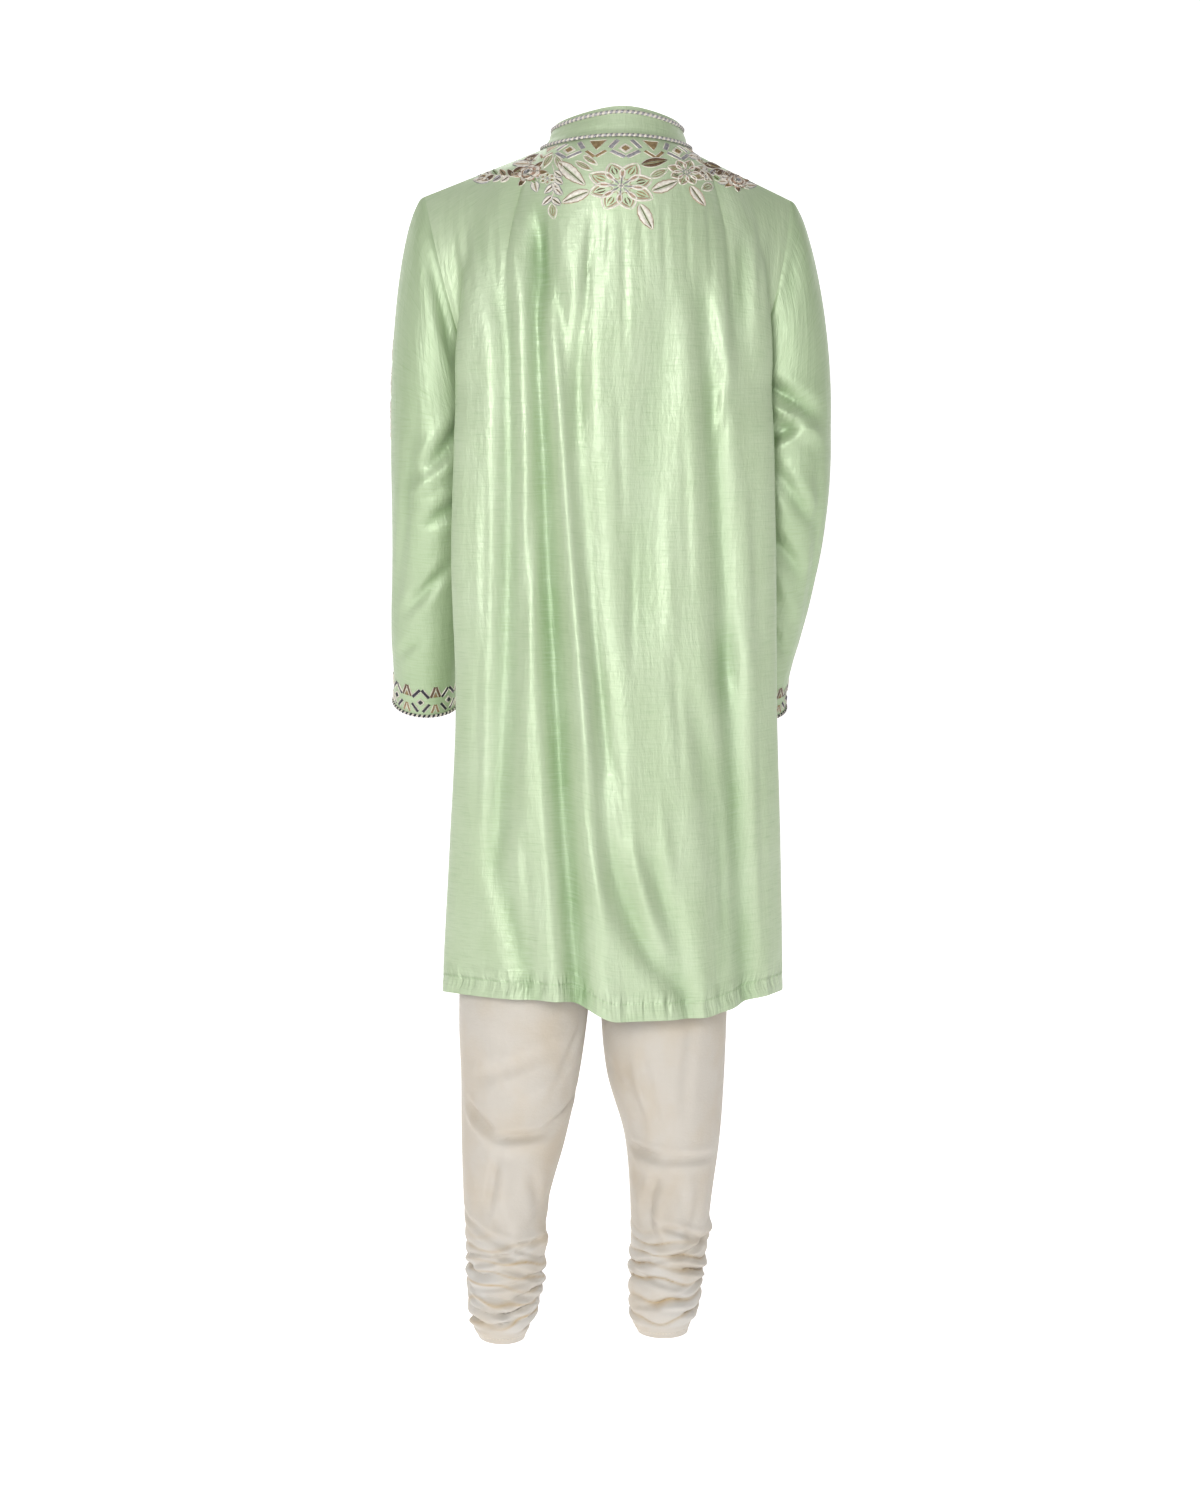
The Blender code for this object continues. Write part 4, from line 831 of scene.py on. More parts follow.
@dataclass
class Sleeve:
    """A set-in sleeve from the armhole to the cuff."""

    side: Side
    finish: Material
    rings: list[Ring]
    creases: list[TubeCrease]
    underarm_ease: float = 0.004
    underarm_dip: float = 0.006
    underarm_power: float = 1.15
    cap_half: float = 0.060
    crease_radius: float = 0.05
    seam_rise: float = 0.0007
    cap_rows: int = 30
    ring_rows: int = 92
    wall: float = 0.0013

    def ellipse(self, outer: Vector, inner: Vector, half_y: float, count: int) -> list[Vector]:
        """A ring through the outer and the inner point, from the inner one round the back."""
        middle = (outer + inner) / 2
        reach = (outer - inner) / 2
        line = []
        for k in range(count + 1):
            angle = math.pi - 2 * math.pi * k / count
            line.append(middle + reach * math.cos(angle) + Vector((0, half_y * math.sin(angle), 0)))
        return line

    def cap(self, loop: list[Vector]) -> Rows:
        """The rows from the armhole's loop down to the first ring."""
        side = self.side.value
        count = len(loop) - 1
        under, crown = loop[0], loop[count // 2]
        first = self.rings[0]
        outer_end = Vector((side * (first.x + first.half_x), first.y, -first.drop))
        inner_end = Vector((side * (first.x - first.half_x), first.y, -first.drop - self.underarm_dip))
        from_crown = Vector((side * 0.026, -0.002, -0.012))
        to_ring = Vector((side * 0.001, 0.008, 0.130))
        start = self.ellipse(crown, under, self.cap_half, count)
        rows = [list(loop)]
        for row in range(1, self.cap_rows + 1):
            t = row / self.cap_rows
            outer = bezier(crown, crown + from_crown, outer_end + to_ring, outer_end, t)
            ease = Vector((side * self.underarm_ease * math.sin(math.pi * t), 0, 0))
            inner = under.lerp(inner_end, t ** self.underarm_power) + ease
            ring = self.ellipse(outer, inner, self.cap_half + (first.half_y - self.cap_half) * t, count)
            rest = (1 - t) ** 2
            rows.append([ring[k] + (loop[k] - start[k]) * rest for k in range(count + 1)])
        return rows

    def rows(self, loop: list[Vector]) -> Rows:
        """Lay the sleeve out.

        Args:
            loop: The armhole's points from the underarm up the back and down the front.

        Returns:
            Rows from the armhole to the cuff.
        """
        count = len(loop) - 1
        rows = self.cap(loop)
        top, low = self.rings[0].drop, self.rings[-1].drop
        for row in range(1, self.ring_rows + 1):
            at = row_at(self.rings, top + (low - top) * row / self.ring_rows)
            pitch = math.radians(at.pitch)
            line = []
            for k in range(count + 1):
                angle = math.pi - 2 * math.pi * k / count
                back = at.half_y * math.sin(angle)
                line.append(Vector((self.side.value * (at.x + at.half_x * math.cos(angle)),
                                    at.y + back * math.cos(pitch), -at.drop - back * math.sin(pitch))))
            rows.append(line)
        for row in rows:
            row[-1] = row[0]
        return rows

    def make(self, loop: list[Vector]) -> ClothGrid:
        rows = self.rows(loop)
        count = len(loop) - 1
        if self.side is Side.RIGHT:
            rows = [list(reversed(row)) for row in rows]
        grid = ClothGrid(rows, closed=True)
        last = len(rows) - 1
        cap_fade, cuff_fade = 6.0, 12.0
        seam_row, seam_rows = 2.0, 1.3

        def creased(_x: float, _y: float, drop: float, r: int, k: int) -> float:
            turn = 360.0 * (k if self.side is Side.LEFT else count - k) / count
            ends = min(1.0, r / cap_fade) * min(1.0, (last - r) / cuff_fade)
            seam = self.seam_rise * math.exp(-((r - seam_row) / seam_rows) ** 2) * (r > 0)
            out = sum(crease.offset(turn, drop, self.crease_radius) for crease in self.creases)
            return out * ends + seam

        grid.move_out(creased)
        grid.points[:, -1] = grid.points[:, 0]
        piece = grid.build("silk_sleeve_" + self.side.word, self.finish, self.wall)
        hand_over(piece, ["sleeve_" + self.side.word])
        return grid


def left_sleeve(finish: Material) -> Sleeve:
    """The left sleeve's sizes."""
    rings = rows_of(
        Ring,
        (0.345, 0.2245, -0.019, 0.0510, 0.0570, 0), (0.385, 0.2250, -0.020, 0.0510, 0.0560, 2),
        (0.425, 0.2250, -0.021, 0.0505, 0.0550, 6), (0.462, 0.2245, -0.026, 0.0505, 0.0530, 12),
        (0.500, 0.2260, -0.035, 0.0485, 0.0510, 16), (0.540, 0.2275, -0.047, 0.0470, 0.0490, 18),
        (0.580, 0.2290, -0.060, 0.0460, 0.0480, 19), (0.620, 0.2295, -0.073, 0.0450, 0.0470, 20),
        (0.655, 0.2290, -0.085, 0.0430, 0.0455, 21), (0.680, 0.2290, -0.094, 0.0420, 0.0450, 21),
        (0.704, 0.2290, -0.103, 0.0420, 0.0450, 21),
    )
    creases = rows_of(
        TubeCrease,
        (-0.0050, 0.010, (105, 0.170), (150, 0.060)), (-0.0055, 0.009, (60, 0.265), (112, 0.150)),
        (-0.0070, 0.011, (35, 0.330), (95, 0.400)), (-0.0065, 0.010, (30, 0.430), (105, 0.470)),
        (0.0030, 0.010, (50, 0.380), (120, 0.430)), (-0.0055, 0.009, (60, 0.520), (130, 0.580)),
        (-0.0030, 0.010, (120, 0.350), (150, 0.560)), (-0.0040, 0.010, (230, 0.410), (320, 0.440)),
        (-0.0035, 0.009, (240, 0.470), (330, 0.455)), (-0.0025, 0.008, (95, 0.610), (150, 0.640)),
        (-0.0030, 0.010, (215, 0.250), (250, 0.130)), (-0.0030, 0.009, (260, 0.560), (320, 0.610)),
    )
    return Sleeve(Side.LEFT, finish, rings, creases)


def right_sleeve(finish: Material) -> Sleeve:
    """The right sleeve's sizes."""
    rings = rows_of(
        Ring,
        (0.345, 0.2350, -0.019, 0.0540, 0.0570, 0), (0.385, 0.2355, -0.020, 0.0540, 0.0560, 2),
        (0.425, 0.2345, -0.021, 0.0535, 0.0550, 6), (0.462, 0.2320, -0.026, 0.0530, 0.0530, 12),
        (0.500, 0.2300, -0.035, 0.0510, 0.0510, 16), (0.540, 0.2260, -0.047, 0.0490, 0.0490, 18),
        (0.580, 0.2220, -0.060, 0.0470, 0.0480, 19), (0.620, 0.2160, -0.073, 0.0450, 0.0470, 20),
        (0.655, 0.2100, -0.085, 0.0430, 0.0455, 21), (0.686, 0.2070, -0.096, 0.0420, 0.0450, 21),
        (0.714, 0.2070, -0.106, 0.0420, 0.0450, 21),
    )
    creases = rows_of(
        TubeCrease,
        (-0.0050, 0.011, (100, 0.190), (150, 0.070)), (-0.0085, 0.010, (30, 0.285), (120, 0.330)),
        (0.0055, 0.010, (40, 0.305), (125, 0.360)), (-0.0085, 0.009, (30, 0.370), (105, 0.335)),
        (-0.0060, 0.010, (60, 0.400), (120, 0.470)), (-0.0060, 0.010, (45, 0.470), (120, 0.540)),
        (0.0030, 0.010, (60, 0.520), (125, 0.590)), (-0.0050, 0.009, (50, 0.590), (120, 0.640)),
        (-0.0030, 0.010, (120, 0.380), (150, 0.600)), (-0.0040, 0.010, (230, 0.400), (320, 0.430)),
        (-0.0035, 0.009, (240, 0.460), (330, 0.450)), (-0.0030, 0.010, (220, 0.260), (255, 0.140)),
        (-0.0030, 0.009, (250, 0.560), (320, 0.600)),
    )
    return Sleeve(Side.RIGHT, finish, rings, creases)


# Collar


@dataclass
class StandCollar:
    """The stand collar round the neck opening, open at the notch in front."""

    body: KurtaBody
    finish: Material
    rise_back: float = 0.034
    rise_front: float = 0.024
    lean: float = 0.011
    left_lean: float = 0.004
    peak: float = 0.004
    levels: int = 14
    wall: float = 0.0015

    def base(self) -> list[Vector]:
        """The neck seam from the notch's left side round the back to its right side."""
        shares = [share for share in self.body.neck_shares(False) if share >= self.body.notch - 1e-6]
        front_left = [self.body.neckline(share, False) for share in reversed(shares)]
        back = [self.body.neckline(share, True) for share in self.body.neck_shares(True)[1:-1]]
        front_right = [self.body.neckline(-share, False) for share in shares]
        return front_left + back + front_right

    def point(self, base: Vector, level: float) -> Vector:
        """The collar's outer side above a point of its seam, level going from 0 to 1 at the top."""
        to_back = (base.y + self.body.neck_front) / (self.body.neck_back + self.body.neck_front)
        rise = self.rise_front + (self.rise_back - self.rise_front) * to_back
        out = (base - Vector((self.body.neck_x, 0, base.z))).normalized()
        rise += self.peak * max(0.0, out.y) ** 6
        lean = self.lean + self.left_lean * max(0.0, out.x)
        return base - out * (lean * level * (1.3 - 0.3 * level)) + Vector((0, 0, rise * level))

    def make(self) -> ClothGrid:
        base = self.base()
        rows = [[self.point(p, level / self.levels) for p in base] for level in range(self.levels + 1)]
        grid = ClothGrid(rows)
        last = len(base) - 1

        def creased(_x: float, _y: float, _drop: float, r: int, k: int) -> float:
            level = r / self.levels
            soft = math.sin(math.pi * level)
            wave = math.sin(0.11 * k + 4.0 * level) + 0.6 * math.sin(0.23 * k - 3.0 * level)
            fold = 0.0012 * math.exp(-((level - 0.30 - 0.10 * math.sin(0.05 * k)) / 0.10) ** 2)
            ends = min(1.0, min(k, last - k) / 6.0)
            return ends * soft * (0.0004 * wave - fold + 0.0006)

        grid.move_out(creased)
        piece = grid.build("silk_collar", self.finish, self.wall)
        hand_over(piece, ["stand_collar"])
        return grid


# Churidar

LEG_RADIUS = 0.045
GATHER_REACH = 3.0
GATHER_BANK_AT = 1.3
GATHER_BANK_RISE = 0.45


@dataclass(frozen=True)
class LegRing:
    """A ring of a churidar leg below the crotch."""

    drop: float
    x: float
    y: float
    half_x: float
    half_y: float


@dataclass(frozen=True)
class Gather:
    """One of the folds pushed up at the ankle: its drop, depth and thickness, and the arc that it covers."""

    drop: float
    depth: float
    height: float
    middle: float
    reach: float
    slant: float

    def offset(self, angle: float, drop: float) -> float:
        """How far it moves the cloth out at a place of the leg."""
        away = (angle - self.middle + 180.0) % 360.0 - 180.0
        if abs(away) > self.reach:
            return 0.0
        level = (drop - self.drop - self.slant * math.radians(away) * LEG_RADIUS) / self.height
        if abs(level) > GATHER_REACH:
            return 0.0
        along = math.cos(math.radians(90.0 * away / self.reach))
        return self.depth * along * groove(level, GATHER_BANK_AT, GATHER_BANK_RISE)


@dataclass
class ChuridarLeg:
    """One leg of the churidar with its half of the seat, gathered at the ankle."""

    side: Side
    finish: Material
    rings: list[LegRing]
    gathers: list[Gather]
    creases: list[TubeCrease]
    waist_drop: float = 0.480
    hip_drop: float = 0.660
    crotch_drop: float = 0.760
    seat_rise: float = 0.130
    crotch_x: float = 0.008
    hip_half: float = 0.142
    hip_back: float = 0.090
    hip_front: float = 0.088
    hip_power: float = 0.85
    waist_share: float = 0.90
    gather_top: float = 1.366
    gather_low: float = 1.508
    gather_lead: float = 0.02
    gather_fade: float = 0.010
    gather_growth: float = 0.062
    gather_folds: int = 7
    gather_depth: float = 0.0045
    ankle_drop: float = 1.522
    columns: int = 108
    seat_rows: int = 40
    leg_rows: int = 160
    ankle_rows: int = 90
    wall: float = 0.0014

    def drops(self) -> list[float]:
        """The heights of the rows, close together at the ankle."""
        ankle = self.gather_top - self.gather_lead
        drops = []
        for start, end, count in ((self.waist_drop, self.crotch_drop, self.seat_rows),
                                  (self.crotch_drop, ankle, self.leg_rows),
                                  (ankle, self.ankle_drop, self.ankle_rows)):
            drops += [start + (end - start) * k / count for k in range(count)]
        return drops + [self.ankle_drop]

    def swell(self, drop: float, turn: float) -> float:
        """The even part of the ankle's gathers, each fold slanting and wandering as it goes round the leg."""
        inside = smoothstep(self.gather_top - self.gather_fade, self.gather_top + self.gather_growth, drop)
        inside *= 1.0 - smoothstep(self.gather_low - self.gather_fade, self.gather_low, drop)
        phase = (drop - self.gather_top) / (self.gather_low - self.gather_top) * self.gather_folds
        start = 1.3 * self.side.value
        phase += 0.32 * math.sin(turn + 1.1 * phase + start) + 0.20 * math.sin(2.0 * turn - 0.8 * phase)
        phase += 0.10 * math.sin(5.0 * turn + 1.7 * phase - start)
        share = 0.72 + 0.30 * math.cos(2.0 * turn + 1.9 * phase) + 0.20 * math.sin(3.0 * turn - 1.3 * phase)
        ridge = 2.0 * abs(math.sin(math.pi * phase)) ** 0.60 - 1.15
        return self.gather_depth * inside * share * ridge

    def row(self, drop: float) -> list[Vector]:
        """One row, from the inseam round the front, the outside and the back."""
        side = self.side.value
        at = row_at(self.rings, max(drop, self.crotch_drop))
        risen = min(1.0, max(0.0, (self.crotch_drop - drop) / self.seat_rise))
        opened = math.sqrt(1.0 - (1.0 - risen) ** 2)
        girth = 1.0 - (1.0 - self.waist_share) * (1.0 - smoothstep(self.waist_drop, self.hip_drop, drop))
        line = []
        for k in range(self.columns + 1):
            turn = 2 * math.pi * k / self.columns
            half_turn = turn / 2
            round_leg = Vector((at.x - side * at.half_x * math.cos(turn),
                                at.y - at.half_y * math.sin(turn), -drop))
            depth = self.hip_front if half_turn < math.pi / 2 else self.hip_back
            hip_out = self.hip_half * girth * max(0.0, math.sin(half_turn)) ** self.hip_power
            round_hip = Vector((self.crotch_x + side * hip_out, -depth * girth * math.cos(half_turn), -drop))
            place = round_leg.lerp(round_hip, opened)
            if opened == 0.0:
                degrees = math.degrees(turn)
                out = self.swell(drop, turn)
                out += sum(gather.offset(degrees, drop) for gather in self.gathers)
                out += sum(crease.offset(degrees, drop, at.half_x) for crease in self.creases)
                place += Vector((-side * math.cos(turn), -math.sin(turn), 0)) * out
            line.append(place)
        if opened == 0.0:
            line[-1] = line[0]
        else:
            line[0].x = line[-1].x = self.crotch_x
        return line

    def make(self) -> tuple[Rows, ClothGrid]:
        """Returns:
            Its rows, from the inseam round the front, and its grid.
        """
        rows = [self.row(drop) for drop in self.drops()]
        grid = ClothGrid(rows if self.side is Side.RIGHT else [list(reversed(row)) for row in rows])
        # The ankle gathers' depth, which the cotton turns into painted shade in their troughs.
        grid.hollow = np.array([[self.swell(drop, 2 * math.pi * k / self.columns)
                                 for k in range(self.columns + 1)] for drop in self.drops()])
        piece = grid.build("cotton_leg_" + self.side.word, self.finish, self.wall)
        hand_over(piece, ["churidar_leg_" + self.side.word])
        return rows, grid


def left_leg(finish: Material) -> ChuridarLeg:
    """The left leg's sizes."""
    rings = rows_of(
        LegRing,
        (0.760, 0.0890, 0.000, 0.0806, 0.088), (0.860, 0.0970, 0.000, 0.0830, 0.088),
        (1.000, 0.1060, 0.002, 0.0840, 0.086), (1.100, 0.1120, 0.006, 0.0830, 0.084),
        (1.180, 0.1170, 0.010, 0.0760, 0.078), (1.260, 0.1260, 0.014, 0.0670, 0.070),
        (1.340, 0.1360, 0.018, 0.0550, 0.061), (1.420, 0.1365, 0.020, 0.0500, 0.056),
        (1.475, 0.1400, 0.022, 0.0450, 0.052), (1.508, 0.1430, 0.020, 0.0360, 0.043),
        (1.522, 0.1420, 0.014, 0.0300, 0.038),
    )
    gathers = rows_of(
        Gather,
        (1.372, -0.0040, 0.0060, 235, 70, 0.5), (1.388, -0.0045, 0.0050, 300, 60, -0.4),
        (1.399, -0.0040, 0.0045, 255, 65, 0.2), (1.413, -0.0050, 0.0055, 220, 60, -0.3),
        (1.424, -0.0035, 0.0045, 290, 55, 0.4), (1.441, -0.0045, 0.0050, 250, 75, -0.2),
        (1.458, -0.0040, 0.0050, 310, 60, 0.3), (1.470, -0.0045, 0.0050, 240, 70, 0.3),
        (1.486, -0.0035, 0.0045, 280, 65, -0.3), (1.380, -0.0040, 0.0050, 90, 75, 0.3),
        (1.404, -0.0045, 0.0055, 60, 70, -0.3), (1.428, -0.0040, 0.0050, 110, 70, 0.3),
        (1.452, -0.0045, 0.0055, 80, 75, -0.2), (1.476, -0.0035, 0.0045, 100, 70, 0.2),
    )
    creases = rows_of(
        TubeCrease,
        (-0.0030, 0.010, (245, 1.300), (262, 1.380)), (-0.0030, 0.012, (215, 1.140), (262, 1.200)),
        (-0.0025, 0.010, (235, 1.290), (225, 1.360)), (-0.0040, 0.012, (340, 1.330), (290, 1.372)),
        (-0.0035, 0.014, (60, 1.230), (130, 1.250)), (-0.0030, 0.014, (70, 1.290), (120, 1.310)),
        (-0.0030, 0.014, (250, 0.980), (300, 1.080)), (-0.0060, 0.006, (204, 1.205), (245, 1.243)),
        (-0.0060, 0.006, (245, 1.243), (292, 1.240)), (-0.0050, 0.006, (292, 1.240), (345, 1.200)),
        (0.0040, 0.009, (208, 1.222), (250, 1.258)), (0.0035, 0.009, (250, 1.258), (310, 1.250)),
        (-0.0040, 0.006, (248, 1.256), (238, 1.350)), (0.0030, 0.008, (262, 1.275), (256, 1.345)),
        (-0.0030, 0.009, (222, 1.170), (300, 1.128)), (-0.0025, 0.008, (290, 1.290), (318, 1.350)),
        (0.0060, 0.012, (322, 1.375), (340, 1.395)), (-0.0035, 0.008, (232, 1.330), (268, 1.372)),
        (-0.0030, 0.008, (330, 1.100), (300, 1.180)), (-0.0025, 0.007, (240, 1.110), (252, 1.160)),
        (0.0025, 0.010, (270, 1.190), (330, 1.150)),
    )
    return ChuridarLeg(Side.LEFT, finish, rings, gathers, creases)


def right_leg(finish: Material) -> ChuridarLeg:
    """The right leg's sizes."""
    rings = rows_of(
        LegRing,
        (0.760, -0.0730, 0.000, 0.0806, 0.088), (0.860, -0.0760, 0.000, 0.0820, 0.088),
        (1.000, -0.0730, 0.002, 0.0820, 0.086), (1.100, -0.0710, 0.006, 0.0815, 0.084),
        (1.180, -0.0730, 0.010, 0.0760, 0.078), (1.260, -0.0810, 0.014, 0.0620, 0.070),
        (1.340, -0.0790, 0.018, 0.0530, 0.061), (1.420, -0.0750, 0.020, 0.0480, 0.056),
        (1.475, -0.0700, 0.022, 0.0450, 0.052), (1.508, -0.0670, 0.020, 0.0380, 0.043),
        (1.522, -0.0690, 0.014, 0.0330, 0.038),
    )
    gathers = rows_of(
        Gather,
        (1.378, -0.0045, 0.0055, 255, 70, -0.4), (1.396, -0.0040, 0.0045, 225, 60, 0.4),
        (1.410, -0.0045, 0.0050, 285, 65, 0.3), (1.425, -0.0050, 0.0050, 245, 70, -0.3),
        (1.439, -0.0035, 0.0045, 300, 60, -0.3), (1.452, -0.0045, 0.0050, 230, 65, 0.3),
        (1.468, -0.0040, 0.0050, 270, 75, 0.2), (1.484, -0.0035, 0.0045, 240, 60, -0.2),
        (1.384, -0.0040, 0.0050, 80, 75, 0.3), (1.410, -0.0045, 0.0055, 110, 70, -0.3),
        (1.436, -0.0040, 0.0050, 70, 70, 0.3), (1.462, -0.0045, 0.0055, 95, 75, -0.2),
    )
    creases = rows_of(
        TubeCrease,
        (-0.0035, 0.009, (330, 1.310), (300, 1.380)), (-0.0030, 0.010, (265, 1.320), (275, 1.390)),
        (-0.0030, 0.012, (345, 1.160), (300, 1.225)), (-0.0025, 0.010, (240, 1.300), (245, 1.390)),
        (-0.0035, 0.014, (60, 1.230), (130, 1.250)), (-0.0030, 0.014, (70, 1.290), (120, 1.310)),
        (-0.0025, 0.014, (265, 0.980), (250, 1.120)), (-0.0070, 0.006, (338, 1.266), (300, 1.276)),
        (-0.0055, 0.006, (300, 1.276), (222, 1.280)), (0.0045, 0.010, (335, 1.284), (285, 1.298)),
        (-0.0055, 0.008, (300, 1.300), (318, 1.360)), (-0.0040, 0.007, (318, 1.360), (290, 1.396)),
        (0.0035, 0.009, (288, 1.325), (300, 1.385)), (-0.0035, 0.007, (300, 1.140), (292, 1.250)),
        (0.0030, 0.009, (306, 1.150), (299, 1.240)), (-0.0030, 0.008, (262, 1.318), (252, 1.390)),
        (-0.0030, 0.008, (236, 1.340), (246, 1.392)), (0.0055, 0.012, (205, 1.372), (190, 1.392)),
        (-0.0025, 0.008, (252, 1.110), (262, 1.220)),
    )
    return ChuridarLeg(Side.RIGHT, finish, rings, gathers, creases)


@dataclass
class WaistCasing:
    """The gathered casing above the two legs, closed round the waist."""

    finish: Material
    height: float = 0.036
    gather_rise: float = 0.0011
    rows: int = 12
    wall: float = 0.0014

    def make(self, left: Rows, right: Rows) -> None:
        """Build the casing on the legs' top rows."""
        low = list(left[0]) + list(reversed(right[0]))[1:]
        low[-1] = low[0]
        rows = [[p + Vector((0, 0, self.height * level / self.rows)) for p in low]
                for level in range(self.rows + 1)]
        grid = ClothGrid(rows, closed=True)

        def gathered(_x: float, _y: float, _drop: float, r: int, k: int) -> float:
            wave = math.sin(0.9 * k) + 0.5 * math.sin(2.3 * k + 1.0)
            return self.gather_rise * math.sin(math.pi * r / self.rows) * wave

        grid.move_out(gathered)
        grid.points[:, -1] = grid.points[:, 0]
        piece = grid.build("cotton_waist_casing", self.finish, self.wall)
        hand_over(piece, ["churidar_waist"])


# Finishes


class Shader:
    """A Principled material under construction, with short ways to add the nodes that cloth needs."""

    def __init__(self, name: str, colour: tuple[float, float, float, float], roughness: float) -> None:
        """Start a material with its plain colour and roughness."""
        self.material = bpy.data.materials.new(name)
        self.material.use_nodes = True
        self.tree = self.material.node_tree
        self.bsdf = self.tree.nodes["Principled BSDF"]
        self.set("Base Color", colour)
        self.set("Roughness", roughness)
        self.material.diffuse_color = colour
        self.bump_normal = None

    def set(self, socket: str, value: object) -> None:
        """Give one of the shader's sockets its value."""
        self.bsdf.inputs[socket].default_value = value

    def node(self, kind: str, **values: object) -> bpy.types.Node:
        """Add a node and set its properties."""
        made = self.tree.nodes.new(kind)
        for name, value in values.items():
            setattr(made, name, value)
        return made

    def link(self, start: Socket, end: Socket) -> None:
        """Join two sockets."""
        self.tree.links.new(start, end)

    def cloth_noise(self, scales: Pair, detail: float, roughness: float = 0.5) -> Socket:
        """A noise stretched along the piece's own cloth map.

        Args:
            scales: Its scales across and along, for each metre.
            detail: The noise's octaves.
            roughness: How much the fine octaves count.

        Returns:
            The noise's value.
        """
        place = self.node("ShaderNodeUVMap", uv_map="cloth_uv")
        mapping = self.node("ShaderNodeMapping")
        mapping.inputs["Scale"].default_value = (scales[0], scales[1], 1.0)
        noise = self.node("ShaderNodeTexNoise", noise_dimensions="2D")
        noise.inputs["Scale"].default_value = 1.0
        noise.inputs["Detail"].default_value = detail
        noise.inputs["Roughness"].default_value = roughness
        self.link(place.outputs["UV"], mapping.inputs["Vector"])
        self.link(mapping.outputs["Vector"], noise.inputs["Vector"])
        return noise.outputs["Fac"]

    def body_noise(self, scale: float, detail: float) -> Socket:
        """A noise on the object's own coordinates."""
        place = self.node("ShaderNodeTexCoord")
        noise = self.node("ShaderNodeTexNoise")
        noise.inputs["Scale"].default_value = scale
        noise.inputs["Detail"].default_value = detail
        self.link(place.outputs["Object"], noise.inputs["Vector"])
        return noise.outputs["Fac"]

    def kept(self, attribute: str) -> Socket:
        """A value that the mesh keeps for each of its points."""
        return self.node("ShaderNodeAttribute", attribute_name=attribute).outputs["Fac"]

    def mix(self, share: Socket, a: object, b: object, blend: str = "MIX") -> Socket:
        """Mix two colours, each a socket or plain values.

        Args:
            share: How much of the second shows.
            a: The first colour.
            b: The second colour.
            blend: The way of mixing.

        Returns:
            The mixed colour.
        """
        made = self.node("ShaderNodeMix", data_type="RGBA", blend_type=blend)
        self.link(share, made.inputs[0])
        for index, colour in ((6, a), (7, b)):
            if isinstance(colour, Socket):
                self.link(colour, made.inputs[index])
            else:
                made.inputs[index].default_value = colour
        return made.outputs[2]

    def range(self, value: Socket, low: float, high: float, to_low: float, to_high: float) -> Socket:
        """Map a value from one range to another, and keep it inside."""
        made = self.node("ShaderNodeMapRange")
        for name, number in (("From Min", low), ("From Max", high), ("To Min", to_low), ("To Max", to_high)):
            made.inputs[name].default_value = number
        self.link(value, made.inputs["Value"])
        return made.outputs["Result"]

    def tint(self, under: object, value: Socket, stops: Pair, share: float, over: object) -> Socket:
        """Lay a colour over another where a value says so.

        Args:
            under: The colour below, as a socket or plain values.
            value: What decides how much of the other shows.
            stops: The value where none of it shows, and the value where the whole share shows.
            share: The most of it that shows.
            over: The colour laid over, as a socket or plain values.

        Returns:
            The mixed colour.
        """
        return self.mix(self.range(value, *stops, 0.0, share), under, over)

    def times(self, first: Socket, second: Socket) -> Socket:
        """The product of two values."""
        made = self.node("ShaderNodeMath", operation="MULTIPLY")
        self.link(first, made.inputs[0])
        self.link(second, made.inputs[1])
        return made.outputs[0]

    def colour(self, socket: Socket) -> None:
        """Lead a colour to the shader."""
        self.link(socket, self.bsdf.inputs["Base Color"])

    def roughness(self, socket: Socket) -> None:
        """Lead a roughness to the shader."""
        self.link(socket, self.bsdf.inputs["Roughness"])

    def bump(self, height: Socket, distance: float, strength: float = 1.0) -> None:
        """Raise the surface by a height, on top of what was raised before."""
        made = self.node("ShaderNodeBump")
        made.inputs["Distance"].default_value = distance
        made.inputs["Strength"].default_value = strength
        self.link(height, made.inputs["Height"])
        if self.bump_normal is not None:
            self.link(self.bump_normal, made.inputs["Normal"])
        self.bump_normal = made.outputs["Normal"]

    def done(self) -> Material:
        """Join the bumps to the shader and hand the material over."""
        if self.bump_normal is not None:
            self.link(self.bump_normal, self.bsdf.inputs["Normal"])
        return self.material


